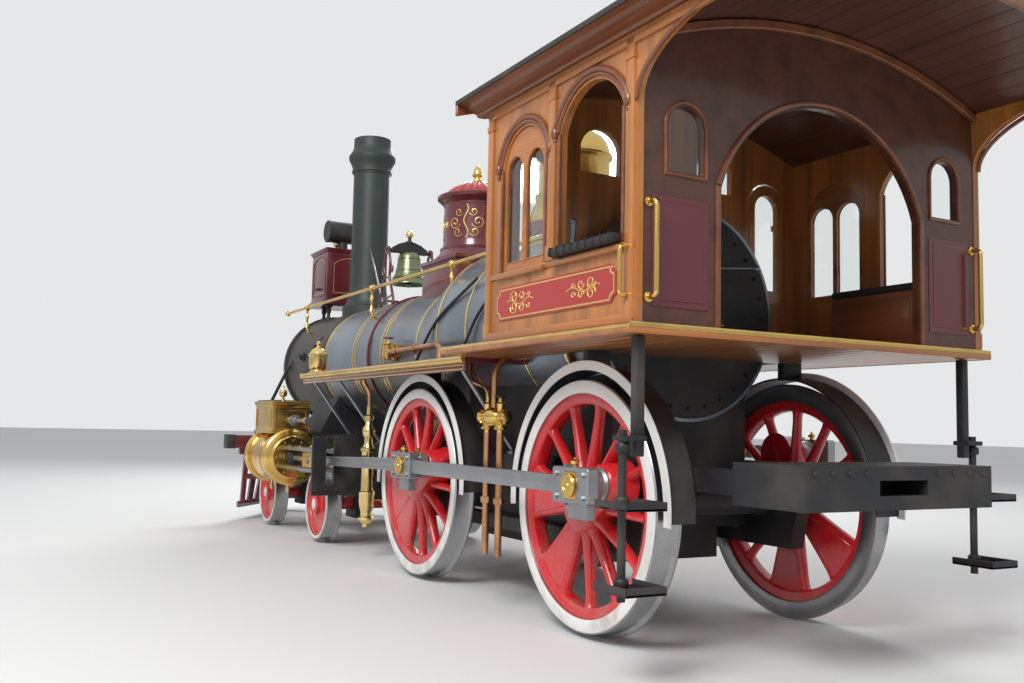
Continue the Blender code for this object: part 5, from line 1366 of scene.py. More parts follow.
@dataclass
class Cab(Maker):
    """The wooden cab with pilasters, arched windows, number panels, doors, floor and roof."""

    recipes: Recipes
    rear: float = -1.0
    front: float = 0.45
    half: float = 1.2
    floor: float = 1.58
    eave: float = 2.93
    sill: float = 1.96

    def build(self) -> None:
        """Builds the cab."""
        for word, side in SIDES:
            self._side(word, side)
            self._windows(word, side)
            self._panel(word, side)
            self._door(word, side)
        self._rear_wall()
        self._front_wall()
        self._floor()
        self._roof()
        self._fittings()

    def _line(self, half: float, drop: float, steps: int = 24) -> Outline:
        """The arched line of the roof's underside, from left to right."""
        inner, rise = self.half - 0.05, 0.24
        radius = (inner * inner + rise * rise) / (2 * rise)
        points = []
        for index in range(steps + 1):
            y = half - 2 * half * index / steps
            points.append((y, self.eave + rise - radius + math.sqrt(radius * radius - y * y) - drop))
        return points

    def _side(self, word: str, side: float) -> None:
        """One side wall with its mouldings and the bracket that carries the roof behind it."""
        wing = []
        for index in range(13):
            turn = math.radians(90 * index / 12)
            wing.append((self.rear - 0.66 * (1 - math.cos(turn)), 2.62 + 0.31 * 0.95 * math.sin(turn)))
        outline = [(self.front, self.eave), (self.front, self.floor), (self.rear, self.floor)] + wing
        outline.append((self.rear - 0.66, self.eave))
        rear_window = arched(-0.90, -0.34, self.sill, 2.80, 0.2, 21)
        front_window = arched(-0.20, 0.27, self.sill, 2.74, 0.2, 21)
        wall = Shop("cab_side_panel_" + word)
        wall.slab(outline, [rear_window, front_window], side * 1.151, side * 1.192, Facing.Y)
        wall.finish(CAB_WOOD, "engine", "cab_wood", ["cab_" + word])
        posts = Shop("cab_pilasters_" + word)
        for low, high in ((-0.995, -0.93), (-0.305, -0.235), (0.385, 0.447)):
            foot = 1.955 if -0.5 < low < 0.0 else 1.60
            posts.box((low, side * 1.185, foot), (high, side * 1.206, self.eave - 0.02), 0.005)
            posts.box((low - 0.004, side * 1.185, foot), (high + 0.004, side * 1.212, foot + 0.08), 0.005)
            posts.box((low - 0.004, side * 1.185, 2.80), (high + 0.004, side * 1.211, 2.835), 0.004)
        posts.finish(CAB_WOOD, "engine", "cab_wood")
        rails = Shop("cab_rails_" + word)
        rails.box((-0.998, side * 1.186, 1.583), (0.449, side * 1.211, 1.625), 0.006)
        rails.box((-0.998, side * 1.186, 1.925), (0.449, side * 1.203, 1.957), 0.005)
        rails.box((-0.92, side * 1.186, 1.918), (-0.32, side * 1.226, 1.946), 0.008)
        rails.box((-0.22, side * 1.186, 1.918), (0.29, side * 1.222, 1.946), 0.008)
        rails.box((-1.655, side * 1.186, 2.868), (0.449, side * 1.206, 2.905), 0.005)
        rails.finish(CAB_RAIL, "engine", "cab_wood")
        mould = Shop("cab_arch_mouldings_" + word)
        for low, high, top in ((-0.90, -0.34, 2.80), (-0.20, 0.27, 2.74)):
            head = arched(low - 0.02, high + 0.02, self.sill, top + 0.024, 0.21, 25)[2:]
            path = [(x, side * 1.196, z) for x, z in head]
            mould.sweep(path, 0.011, 10)
            outer = arched(low - 0.045, high + 0.045, self.sill, top + 0.048, 0.22, 25)[2:]
            mould.sweep([(x, side * 1.199, z) for x, z in outer], 0.017, 10)
            for x, z in (outer[0], outer[-1]):
                mould.lathe(mm(0, -75, 8, -70, 12, -58, 9, -45, 20, -35, 24, -15, 20, 4, 0, 12),
                            (x, side * 1.199, z), (0, 0, 1), 16)
            for x in (low - 0.006, high + 0.006):
                mould.box((x - 0.012, side * 1.188, self.sill), (x + 0.012, side * 1.2015, top - 0.2), 0.004)
        path = [(x - 0.002, side * 1.196, z - 0.016) for x, z in wing]
        mould.sweep(path, 0.012, 10)
        mould.finish(CAB_DARK, "engine", "cab_wood")

    def _windows(self, word: str, side: float) -> None:
        """The paired sash in front, its panes, and the armrest of the open window."""
        sash = Shop("cab_front_sash_" + word)
        low, high, top = -0.20, 0.27, 2.74
        middle = (low + high) / 2
        outline = arched(low + 0.001, high - 0.001, self.sill + 0.001, top - 0.001, 0.2, 21)
        lights = []
        for start, end in ((low + 0.03, middle - 0.017), (middle + 0.017, high - 0.03)):
            lights.append(arched(start, end, self.sill + 0.045, 2.60, 0.085, 13))
        sash.slab(outline, lights, side * 1.156, side * 1.183, Facing.Y, 0.003)
        for light in lights:
            sash.sweep([(x, side * 1.183, z) for x, z in light + light[:1]], 0.006, 8)
        sash.box((middle - 0.012, side * 1.18, self.sill + 0.03), (middle + 0.012, side * 1.189, 2.52), 0.003)
        sash.finish(CAB_RAIL, "engine", "cab_wood")
        panes = Shop("cab_sash_panes_" + word)
        for start, end in ((low + 0.028, middle - 0.015), (middle + 0.015, high - 0.028)):
            panes.slab(arched(start, end, self.sill + 0.043, 2.602, 0.085, 13), (), side * 1.166,
                       side * 1.170, Facing.Y)
        panes.finish(GLASS)
        rest = Shop("cab_armrest_" + word)
        rest.box((-0.905, side * 1.13, 1.955), (-0.335, side * 1.262, 2.0), 0.018)
        for index in range(9):
            x = -0.88 + index * 0.065
            rest.box((x - 0.004, side * 1.128, 1.957), (x + 0.004, side * 1.265, 2.0035), 0.003)
        rest.finish(LEATHER)

    def _panel(self, word: str, side: float) -> None:
        """The blank red number panel with its gold border and scrolls."""
        low_x, high_x, low_z, high_z = -0.86, 0.31, 1.685, 1.868

        def shape(inset: float) -> Outline:
            """The panel's outline with hollow corners, drawn in by an inset."""
            notch = 0.034
            points: Outline = []
            corners = ((high_x - inset, high_z - inset, 270), (low_x + inset, high_z - inset, 360),
                       (low_x + inset, low_z + inset, 90), (high_x - inset, low_z + inset, 180))
            for x, z, start in corners:
                points += arc((x, z), notch, start, start - 90, 6)
            return points

        board = Shop("cab_number_board_" + word)
        board.slab(shape(0.0), (), side * 1.186, side * 1.201, Facing.Y, 0.003)
        board.finish(PANEL_RED, "engine", "cab_wood")
        gold = Shop("cab_number_board_lines_" + word)
        gold.slab(shape(0.010), [shape(0.018)], side * 1.199, side * 1.2022, Facing.Y)
        for sign in (-1, 1):
            middle = (low_x + high_x) / 2
            for lift in (-1, 1):
                for turns, start, size in ((1.35, 0.38, 0.040), (1.1, 0.29, 0.030), (0.9, 0.22, 0.020)):
                    centre_x = middle + sign * start
                    centre_z = (low_z + high_z) / 2 + lift * 0.026
                    path = []
                    for index in range(18):
                        share = index / 17
                        turn = lift * (share * turns * 2 * math.pi) + (0 if sign > 0 else math.pi)
                        radius = size * (1 - 0.8 * share)
                        path.append((centre_x + radius * math.cos(turn), side * 1.2015,
                                     centre_z + radius * math.sin(turn)))
                    gold.sweep(path, 0.0034, 6)
            tail = []
            for index in range(12):
                share = index / 11
                tail.append((middle + sign * (0.16 + 0.3 * share), side * 1.2015,
                             (low_z + high_z) / 2 + 0.014 * math.sin(share * 9.0)))
            gold.sweep(tail, 0.004, 6)
        gold.finish(GOLD_LINE)

    def _door(self, word: str, side: float) -> None:
        """A narrow front door with an arched light and its hinges."""
        low, high = 0.7515, 1.0585
        low_y, high_y = min(side * low, side * high), max(side * low, side * high)
        frame = Shop("cab_front_door_" + word)
        outline = arched(low_y, high_y, 1.672, 2.768, 0.14, 17)
        light = arched(low_y + 0.055, high_y - 0.055, 2.05, 2.70, 0.1, 17)
        frame.slab(outline, [light], 0.402, 0.448, Facing.X, 0.003)
        panel = oblong(low_y + 0.055, 1.73, high_y - 0.055, 1.97)
        inner = oblong(low_y + 0.07, 1.745, high_y - 0.07, 1.955)
        for x in (0.3985, 0.4455):
            frame.slab(panel, [inner], x, x + 0.006, Facing.X, 0.002)
        body = f"front_door_{word}_body"
        frame.finish(CAB_WOOD, body, "cab_wood", ["front_door_" + word])
        metal = Shop("cab_front_door_hinges_" + word)
        for z in (1.81, 2.49):
            metal.rod((0.462, side * 1.0645, z - 0.024), (0.462, side * 1.0645, z + 0.024), 0.0118, 16)
            metal.box((0.447, side * 0.99, z - 0.02), (0.453, side * 1.062, z + 0.02), 0.001)
        metal.ball((0.47, side * 0.785, 2.02), 0.016, 16)
        metal.rod((0.447, side * 0.785, 2.02), (0.465, side * 0.785, 2.02), 0.008, 12)
        metal.finish(BRASS, body)
        pane = Shop("cab_front_door_pane_" + word)
        pane.slab(arched(low_y + 0.053, high_y - 0.053, 2.048, 2.702, 0.1, 17), (), 0.423, 0.427, Facing.X)
        pane.finish(GLASS, body)

    def _rear_wall(self) -> None:
        """The rear wall with its wide doorway, small lights and panels; its grab irons come with the
        fittings.
        """
        half = 1.149
        top = self._line(half, 0.001)
        low = self.floor + 0.001
        doorway = arched(-0.69, 0.69, low, 2.76, 0.5, 31)
        outline = [(half, low)] + top + [(-half, low), (-0.69, low)] + doorway[2:][::-1] + [(0.69, low)]
        holes = []
        for _, side in SIDES:
            ends = sorted((side * 0.80, side * 1.01))
            holes.append(arched(ends[0], ends[1], 2.30, 2.62, 0.1, 13))
        wall = Shop("cab_rear_panelling")
        wall.slab(outline, holes, -0.996, -0.953, Facing.X)
        # The rear wall's panelling gets the darkened wood as painted shade.
        wall.finish(CAB_PAINTED_SHADE, "engine", "cab_wood", ["cab_rear"])
        trim = Shop("cab_rear_mouldings")
        for x in (-0.998, -0.952):
            trim.sweep([(x, y, z) for y, z in arched(-0.712, 0.712, low + 0.02, 2.782, 0.51, 31)[2:]], 0.014,
                       10)
            for _, side in SIDES:
                trim.box((x - 0.006, side * 0.698, low), (x + 0.006, side * 0.728, 2.27), 0.003)
                ends = sorted((side * 0.785, side * 1.025))
                light = arched(ends[0], ends[1], 2.285, 2.636, 0.115, 15)
                trim.sweep([(x, y, z) for y, z in light + light[:1]], 0.010, 8)
        trim.finish(CAB_DARK, "engine", "cab_wood")
        panels = Shop("cab_rear_panels")
        for _, side in SIDES:
            ends = sorted((side * 0.77, side * 1.10))
            for inset, near, far in ((0.0, -1.0005, -0.9955), (0.03, -1.0035, -0.9995)):
                low_y, high_y, low_z, high_z = ends[0] + inset, ends[1] - inset, 1.66 + inset, 2.18 - inset
                outer = oblong(low_y, low_z, high_y, high_z)
                panels.slab(outer, (), near, far, Facing.X, 0.002)
        panels.finish(MAROON, "engine", "cab_wood")
        panes = Shop("cab_rear_panes")
        for _, side in SIDES:
            ends = sorted((side * 0.798, side * 1.012))
            panes.slab(arched(ends[0], ends[1], 2.298, 2.622, 0.1, 13), (), -0.976, -0.972, Facing.X)
        panes.finish(GLASS)

    def _front_wall(self) -> None:
        """The front wall round the boiler, with round-headed spectacles."""
        half = 1.149
        top = self._line(half, 0.001)
        low = self.floor + 0.001
        reach = math.sqrt(0.662 ** 2 - (low - WAGON_AXIS) ** 2)
        start = math.degrees(math.atan2(low - WAGON_AXIS, reach))
        barrel = arc((0.0, WAGON_AXIS), 0.662, start, 180 - start, 40)
        outline = [(half, low)] + top + [(-half, low)] + barrel[::-1]
        holes = []
        for _, side in SIDES:
            ends = sorted((side * 0.74, side * 1.07))
            holes.append(arched(ends[0], ends[1], 1.66, 2.78, 0.14, 17))
            ends = sorted((side * 0.305, side * 0.595))
            holes.append(arched(ends[0], ends[1], 2.66, 2.94, 0.116, 15))
        wall = Shop("cab_front_panelling")
        wall.slab(outline, holes, 0.401, 0.447, Facing.X)
        wall.finish(CAB_WOOD, "engine", "cab_wood", ["cab_front"])
        trim = Shop("cab_front_mouldings")
        trim.lathe(mm(662.5, 0, 690, 0, 690, 12, 662.5, 18), (0.447, 0, WAGON_AXIS), (1, 0, 0), 72, True)
        for _, side in SIDES:
            ends = sorted((side * 0.29, side * 0.61))
            light = arched(ends[0], ends[1], 2.645, 2.955, 0.128, 17)
            trim.sweep([(0.449, y, z) for y, z in light + light[:1]], 0.010, 8)
        trim.finish(CAB_DARK, "engine", "cab_wood")
        panes = Shop("cab_spectacle_panes")
        for _, side in SIDES:
            ends = sorted((side * 0.303, side * 0.597))
            panes.slab(arched(ends[0], ends[1], 2.658, 2.942, 0.116, 15), (), 0.42, 0.424, Facing.X)
        panes.finish(GLASS)

    def _floor(self) -> None:
        """Floor boards, brass edge strips, seat boxes and the white-lipped rear splashers."""
        boards = Shop("cab_floor_boards")
        low = self.floor - 0.048
        width = 0.1215
        for index in range(20):
            y = -1.2165 + index * width
            inner, outer = min(abs(y), abs(y + width)), 0.97
            end = outer if inner > 0.612 else 0.097
            boards.box((-1.018, y + 0.001, low), (end, y + width - 0.001, self.floor), 0.003)
        boards.finish(CAB_RAIL, "engine", "cab_wood", ["cab_floor"])
        strip, fascia = Shop("cab_floor_edges"), Shop("cab_floor_fascia")
        for shop, start, end, low_z, high_z in ((strip, 5, 90, 1.558, 1.582), (fascia, -90, 5, 1.53, 1.5575)):
            for _, side in SIDES:
                profile = [(side * (1.216 + across), 1.555 + up) for across, up in arc((0, 0), 0.026, start,
                        end, 8)]
                shop.slab(profile + [(side * 1.208, high_z), (side * 1.208, low_z)], (), -1.03, 0.97,
                          Facing.X)
                shop.box((0.966, side * 0.62, low_z), (0.976, side * 1.235, high_z), 0.002)
            shop.box((-1.034, -1.235, low_z), (-1.018, 1.235, high_z), 0.003)
        strip.finish(BRASS)
        fascia.finish(CAB_CROSS)
        chest = Shop("cab_seat_boxes")
        cushion = Shop("cab_seat_cushions")
        for _, side in SIDES:
            chest.box((-0.868, side * 0.822, 1.575), (-0.252, side * 1.148, 1.915), 0.006)
            chest.box((-0.83, side * 0.816, 1.62), (-0.29, side * 0.824, 1.87), 0.004)
            cushion.box((-0.87, side * 0.82, 1.915), (-0.25, side * 1.148, 1.958), 0.016)
        chest.finish(CAB_DARK, "engine", "cab_wood")
        cushion.finish(LEATHER)
        for word, side in SIDES:
            splasher(f"rear_splasher_{word}", 0.0, side, self.floor - 0.049)

    def _roof(self) -> None:
        """Canvas on top, boards below, and a stepped cornice all round."""
        steps = 24
        over, under = [], []
        for index in range(steps + 1):
            share = 1 - 2 * index / steps
            z = 3.01 + 0.21 * (1 - share * share)
            over.append((1.353 * share, z))
            under.append((1.353 * share, z - 0.03))
        canvas = Shop("cab_roof_canvas")
        canvas.slab(over + under[::-1], (), -1.80, 0.60, Facing.X, 0.004)
        canvas.finish(ROOF_CLOTH, "engine", "cab_wood", ["cab_roof"])
        lining = Shop("cab_roof_lining")
        line, lift, gap = self._line(1.15, 0.0, 20), 0.018, 0.0015
        for first, second in zip(line, line[1:]):
            lining.slab([(first[0] - gap, first[1]), (second[0] + gap, second[1]),
                         (second[0] + gap, second[1] + lift), (first[0] - gap, first[1] + lift)], (), -1.78,
                         0.58, Facing.X, 0.002)
        # The roof's underside gets the darkened wood as painted shade.
        lining.finish(CAB_PAINTED_SHADE, "engine", "cab_wood")
        cornice = Shop("cab_cornice")
        for _, side in SIDES:
            profile = [(1.15, 2.935), (1.195, 2.933), (1.205, 2.936), (1.212, 2.948), (1.226, 2.953),
                       (1.238, 2.955), (1.262, 2.958), (1.285, 2.966), (1.300, 2.978), (1.312, 2.981),
                       (1.334, 2.983), (1.342, 2.986), (1.349, 2.994), (1.3505, 3.004), (1.15, 3.035)]
            cornice.slab([(side * y, z) for y, z in profile], (), -1.796, 0.596, Facing.X)
        for start, end in ((0.575, 0.599), (-1.799, -1.775)):
            lower = [(y * 0.999, z - 0.062) for y, z in under]
            cornice.slab([(y * 0.999, z + 0.012) for y, z in under] + lower[::-1], (), start, end, Facing.X,
                         0.004)
        for start, end in ((0.45, 0.49), (-1.03, -0.998)):
            inner = self._line(1.15, 0.05, steps)
            cornice.slab([(y, z + 0.045) for y, z in inner] + [(y, z) for y, z in inner][::-1], (), start,
                         end, Facing.X, 0.004)
        cornice.finish(CAB_DARK, "engine", "cab_wood")

    def _fittings(self) -> None:
        """Grab irons, the regulator, gauge cocks, a gauge and levers on the backhead."""
        irons = Shop("cab_grab_irons")
        for _, side in SIDES:
            irons.sweep([(-1.0, side * 1.12, 1.70), (-1.06, side * 1.12, 1.70), (-1.06, side * 1.12, 2.14),
                         (-1.0, side * 1.12, 2.14)], 0.013, 12, 0.05)
            irons.sweep([(-0.96, side * 1.2, 1.705), (-0.96, side * 1.25, 1.705), (-0.96, side * 1.25, 1.93),
                         (-0.96, side * 1.2, 1.93)], 0.011, 12, 0.04)
            for z in (1.70, 2.14):
                irons.lathe(mm(0, 0, 26, 0, 24, 8, 14, 14, 0, 14), (-0.998, side * 1.12, z), (-1, 0, 0), 20)
        for y in (-0.36, -0.28, -0.20):
            irons.rod((0.10, y, 1.66 + (y + 0.28)), (0.04, y, 1.66 + (y + 0.28)), 0.011, 12)
            irons.rod((0.055, y - 0.03, 1.66 + (y + 0.28)), (0.055, y + 0.03, 1.66 + (y + 0.28)), 0.007, 10)
        irons.lathe(mm(0, 0, 90, 0, 94, -12, 94, -34, 84, -40, 78, -33, 0, -33), (0.098, 0.0, 2.22),
                    (1, 0, 0), 40)
        irons.finish(BRASS)
        iron = Shop("cab_backhead_levers")
        iron.rod((0.10, 0.0, 2.06), (-0.02, 0.0, 2.06), 0.022, 16)
        iron.rod((-0.01, 0.03, 2.06), (-0.01, -0.42, 2.10), 0.012, 12)
        iron.ball((-0.01, -0.44, 2.10), 0.022, 16)
        iron.sweep([(0.30, 0.72, 1.58), (0.30, 0.72, 2.02), (0.27, 0.72, 2.30)], 0.014, 12, 0.1)
        iron.ball((0.27, 0.72, 2.31), 0.02, 14)
        iron.finish(STEEL)
        dial = Shop("cab_gauge_face")
        dial.lathe(mm(0, -34.5, 77, -34.5, 77, -36.5, 0, -36.5), (0.098, 0.0, 2.22), (1, 0, 0), 40)
        dial.finish(TYRE_WHITE)


def splasher(name: str, x: float, side: float, hang_z: float) -> None:
    """A curved cover over a driving wheel with a white lip, its black sheet and a bracket.

    Args:
        name: the piece's name.
        x: the wheel's place along.
        side: which side of the engine.
        hang_z: the height that the bracket hangs from.
    """
    centre = (x, 0.686)
    lip = Shop(name + "_lip")
    lip.slab(arc(centre, 0.7885, -4, 184, 61) + arc(centre, 0.7345, 184, -4, 61), (), side * 0.8085,
             side * 0.8195, Facing.Y, 0.003)
    lip.finish(TYRE_WHITE)
    sheet = Shop(name + "_sheet")
    sheet.slab(arc(centre, 0.750, -3, 183, 61) + arc(centre, 0.7385, 183, -3, 61), (), side * 0.631,
               side * 0.810, Facing.Y, 0.002)
    sheet.box((x - 0.025, side * 0.645, 1.42), (x + 0.025, side * 0.80, hang_z), 0.004)
    sheet.finish(IRON_BLACK)


@dataclass
class Boiler(Maker):
    """The jacketed barrel with bands and check valves, the smokebox, its door and the stack."""

    recipes: Recipes
    axis_z: float = BOILER_AXIS

    def build(self) -> None:
        """Builds the boiler's outside from the backhead to the smokebox door."""
        self._jacket()
        self._backhead()
        self._smokebox()
        self._door()
        self._stack()
        for word, side in SIDES:
            self._check_valve(word, side)

    def _hoop(self, x: float, radius: float, centre_z: float, sides: int = 96) -> Path3:
        """A ring of points round the barrel."""
        return [(x, y, z) for y, z in circle((0.0, centre_z), radius, sides)]

    def _jacket(self) -> None:
        """The sheet-iron jacket and its polished bands."""
        jacket = Shop("boiler_jacket")
        rows = []
        for x, radius, centre_z in ((0.42, 0.64, WAGON_AXIS), (0.101, 0.64, WAGON_AXIS),
                                    (0.101, 0.6595, WAGON_AXIS), (2.34, 0.6595, WAGON_AXIS),
                                    (2.36, 0.6575, 1.808), (2.84, 0.5725, 1.7225), (2.86, 0.5695, 1.72),
                                    (5.299, 0.5695, 1.72)):
            rows.append(self._hoop(x, radius, centre_z))
        jacket.loft(rows)
        jacket.finish(JACKET, "engine", "jacket_iron", ["boiler"], 24.0)
        bands = Shop("boiler_bands")
        for x in (2.90, 3.62, 3.69, 4.34, 4.41, 5.21, 5.27):
            bands.lathe(mm(568, -14, 572.5, -14, 574, -11, 574, 11, 572.5, 14, 568, 14), (x, 0, self.axis_z),
                        (1, 0, 0), 96, True)
        for x in (0.53, 1.05, 1.80, 2.30):
            bands.lathe(mm(658, -14, 662.5, -14, 664, -11, 664, 11, 662.5, 14, 658, 14), (x, 0, WAGON_AXIS),
                        (1, 0, 0), 96, True)
        bands.finish(GILT)
        strap = Shop("boiler_pipe_strap")
        strap.lathe(mm(571, -18, 586, -14, 590, 0, 586, 14, 571, 18), (3.98, 0, self.axis_z), (1, 0, 0), 96,
                    True)
        strap.finish(MAROON)
        rods = Shop("boiler_side_rods")
        for _, side in SIDES:
            rods.sweep([(2.72, side * 0.66, 1.56), (2.30, side * 0.672, 1.90), (1.75, side * 0.60, 2.16)],
                       0.011, 10, 0.2)
            rods.sweep([(1.85, side * 0.69, 1.56), (1.55, side * 0.675, 1.93), (1.10, side * 0.585, 2.18)],
                       0.011, 10, 0.2)
        rods.finish(IRON_BLACK)

    def _backhead(self) -> None:
        """The black backhead with the fire hole's lining and the fire door."""
        plate = Shop("boiler_backhead")
        hole = oblong(-0.15, 1.74, 0.15, 1.98)
        plate.slab(circle((0.0, WAGON_AXIS), 0.639, 72), [hole], 0.1005, 0.128, Facing.X, 0.003)
        for side in (-1, 1):
            plate.box((0.12, side * 0.1505, 1.73), (0.39, side * 0.165, 1.99), 0.002)
            z = 1.86 + side * 0.1205
            plate.box((0.12, -0.15, z), (0.39, 0.15, z + side * 0.014), 0.002)
        plate.box((0.388, -0.165, 1.73), (0.40, 0.165, 1.99), 0.002)
        for z in (1.80, 1.92):
            plate.rod((0.058, 0.202, z + 0.001), (0.058, 0.202, z + 0.05), 0.0118, 16)
            plate.box((0.07, 0.20, z + 0.006), (0.102, 0.25, z + 0.044), 0.003)
        plate.finish(IRON_BLACK)
        self.bolt_ring("backhead_stays", (0.1005, 0, WAGON_AXIS), (-1, 0, 0), 0.58, 28, 0.014, IRON_BLACK)
        door = Shop("fire_door_leaf")
        door.box((0.0705, -0.189, 1.701), (0.0992, 0.1885, 2.019), 0.008)
        for z in (1.80, 1.92):
            door.box((0.060, -0.13, z - 0.044), (0.072, 0.20, z - 0.006), 0.003)
            door.rod((0.058, 0.202, z - 0.05), (0.058, 0.202, z - 0.001), 0.0118, 16)
        door.sweep([(0.072, -0.15, 1.84), (0.048, -0.15, 1.84), (0.048, -0.15, 1.93), (0.072, -0.15, 1.93)],
                   0.007, 10, 0.01)
        door.finish(IRON_BLACK, "fire_door_body", "frame_black", ["fire_door"])

    def _hoop_rivets(self, name: str, x: float, radius: float, count: int, size: float,
                     finish: Finish) -> None:
        """Rivets standing outward round the barrel."""
        head = Shop("head")
        head.lathe(((0.0, -size * 0.3), (size, -size * 0.3), (size * 0.9, size * 0.3),
                    (size * 0.5, size * 0.62), (0.0, size * 0.7)), (radius, 0, 0), (1, 0, 0), 8)
        tilt = lean((1, 0, 0))
        values = {"Count": count, "Step": 2 * math.pi / count, "Start": 0.02,
                  "Centre": (x, 0.0, self.axis_z), "Tilt": tilt}
        self.deliver(name, self.recipes.around.cook(head, finish, values), finish)

    def _smokebox(self) -> None:
        """The riveted smokebox and its front ring."""
        shell = Shop("smokebox_sheet")
        shell.lathe(mm(0, 5322, 556, 5322, 556, 6549, 577.5, 6549, 577.5, 6470, 574.5, 6465, 574.5, 5390,
                       577.5, 5385, 577.5, 5301, 0, 5301), (0, 0, self.axis_z), (1, 0, 0), 96)
        shell.finish(SMOKEBOX_GREY, "engine", "smokebox_grey", ["smokebox"], 24.0)
        self._hoop_rivets("smokebox_rivets_rear", 5.343, 0.5775, 52, 0.010, SMOKEBOX_GREY)
        self._hoop_rivets("smokebox_rivets_front", 6.51, 0.5775, 52, 0.010, SMOKEBOX_GREY)
        ring = Shop("smokebox_front_ring")
        ring.lathe(mm(390, 6550.5, 390, 6604, 396, 6610, 460, 6610, 470, 6602, 560, 6600, 575, 6606, 592,
                      6608, 603, 6600, 604.5, 6585, 604.5, 6558, 598, 6550.5), (0, 0, self.axis_z),
                      (1, 0, 0), 96, True)
        for z in (self.axis_z - 0.22, self.axis_z + 0.22):
            ring.rod((6.6523, 0.464, z + 0.001), (6.6523, 0.464, z + 0.05), 0.0118, 16)
            ring.box((6.606, 0.462, z + 0.006), (6.647, 0.515, z + 0.044), 0.004)
        ring.finish(SMOKEBOX_GREY, "engine", "smokebox_grey", ["smokebox_front"], 24.0)
        self.bolt_ring("smokebox_ring_bolts", (6.601, 0, self.axis_z), (1, 0, 0), 0.515, 24, 0.013,
                       SMOKEBOX_GREY)
        levers = Shop("smokebox_levers")
        for _, side in SIDES:
            levers.sweep([(5.36, side * 0.55, 1.98), (5.40, side * 0.62, 1.90), (5.52, side * 0.63, 1.80),
                          (5.60, side * 0.60, 1.66)], 0.010, 10, 0.04)
            levers.box((5.56, side * 0.565, 1.60), (5.64, side * 0.615, 1.70), 0.008)
            levers.lathe(mm(0, 0, 50, 0, 52, 12, 30, 22, 30, 50, 0, 56), (5.95, side * 0.572, 1.80),
                         (0, side, 0), 24)
        levers.finish(IRON_BLACK)

    def _door(self) -> None:
        """The dished smokebox door with strap hinges and a centre knob."""
        door = Shop("smokebox_door_dish")
        z = self.axis_z
        door.lathe(mm(0, 6612.5, 436, 6612.5, 439.5, 6617, 439.5, 6630, 433, 6638, 400, 6642, 360, 6645, 240,
                      6660, 120, 6670, 62, 6674, 0, 6675), (0, 0, z), (1, 0, 0), 96)
        door.lathe(mm(50, 6668, 60, 6672, 60, 6690, 50, 6698, 32, 6700, 24, 6712, 24, 6720, 18, 6725.5, 0,
                      6725.8, 0, 6668), (0, 0, z), (1, 0, 0), 40)
        for height in (z - 0.22, z + 0.22):
            door.rod((6.6523, 0.464, height - 0.05), (6.6523, 0.464, height - 0.001), 0.0118, 16)
            door.slab([(-0.16, height - 0.018), (0.455, height - 0.034), (0.455, height - 0.006),
                       (-0.16, height - 0.004)], (), 6.636, 6.652, Facing.X, 0.003)
        door.finish(SMOKEBOX_GREY, "smokebox_door_body", "smokebox_grey", ["smokebox_door"], 24.0)
        self.bolt_ring("smokebox_door_dogs", (6.6415, 0, z), (1, 0, 0), 0.395, 10, 0.012, SMOKEBOX_GREY,
                       "smokebox_door_body", 0.32)

    def _stack(self) -> None:
        """The straight stack with its moulded cap, flared foot and riveted seam."""
        stack = Shop("stack_casing")
        stack.lathe(mm(165.5, 4192, 165.5, 2270, 269.5, 2190, 269.5, 2338, 262, 2350, 246, 2358, 236, 2372,
                       222, 2410, 208, 2470, 199, 2540, 195.5, 2600, 195.5, 3790, 201, 3800, 201, 3812, 217,
                       3822, 218.5, 3835, 216.5, 3846, 211.5, 3853, 210.5, 3866, 222, 3905, 240, 3942, 251,
                       3960, 254.5, 3972, 254.5, 4002, 250, 4012, 236, 4030, 218, 4060, 208, 4088, 204.5,
                       4105, 204.5, 4192, 200, 4199, 172, 4199), (5.57, 0, 0), (0, 0, 1), 96, True)
        turn = math.radians(205)
        stack.box((5.57 + 0.193, -0.022, 2.60), (5.57 + 0.199, 0.022, 3.79), 0.002,
                  Matrix.Translation((5.57, 0, 0)) @ Matrix.Rotation(turn, 4,
                          "Z") @ Matrix.Translation((-5.57, 0, 0)))
        stack.finish(STACK_GREEN, "engine", "stack_green", ["stack"], 24.0)
        out = (math.cos(turn), math.sin(turn), 0.0)
        for offset in (-0.075, 0.075):
            way = (math.cos(turn + offset), math.sin(turn + offset), 0.0)
            spot = (5.57 + 0.198 * way[0], 0.198 * way[1])
            self.rivet_row(f"stack_rivets_{int(offset * 1000)}", (*spot, 2.64), (*spot, 3.76), 26, 0.0065,
                           out, STACK_GREEN)

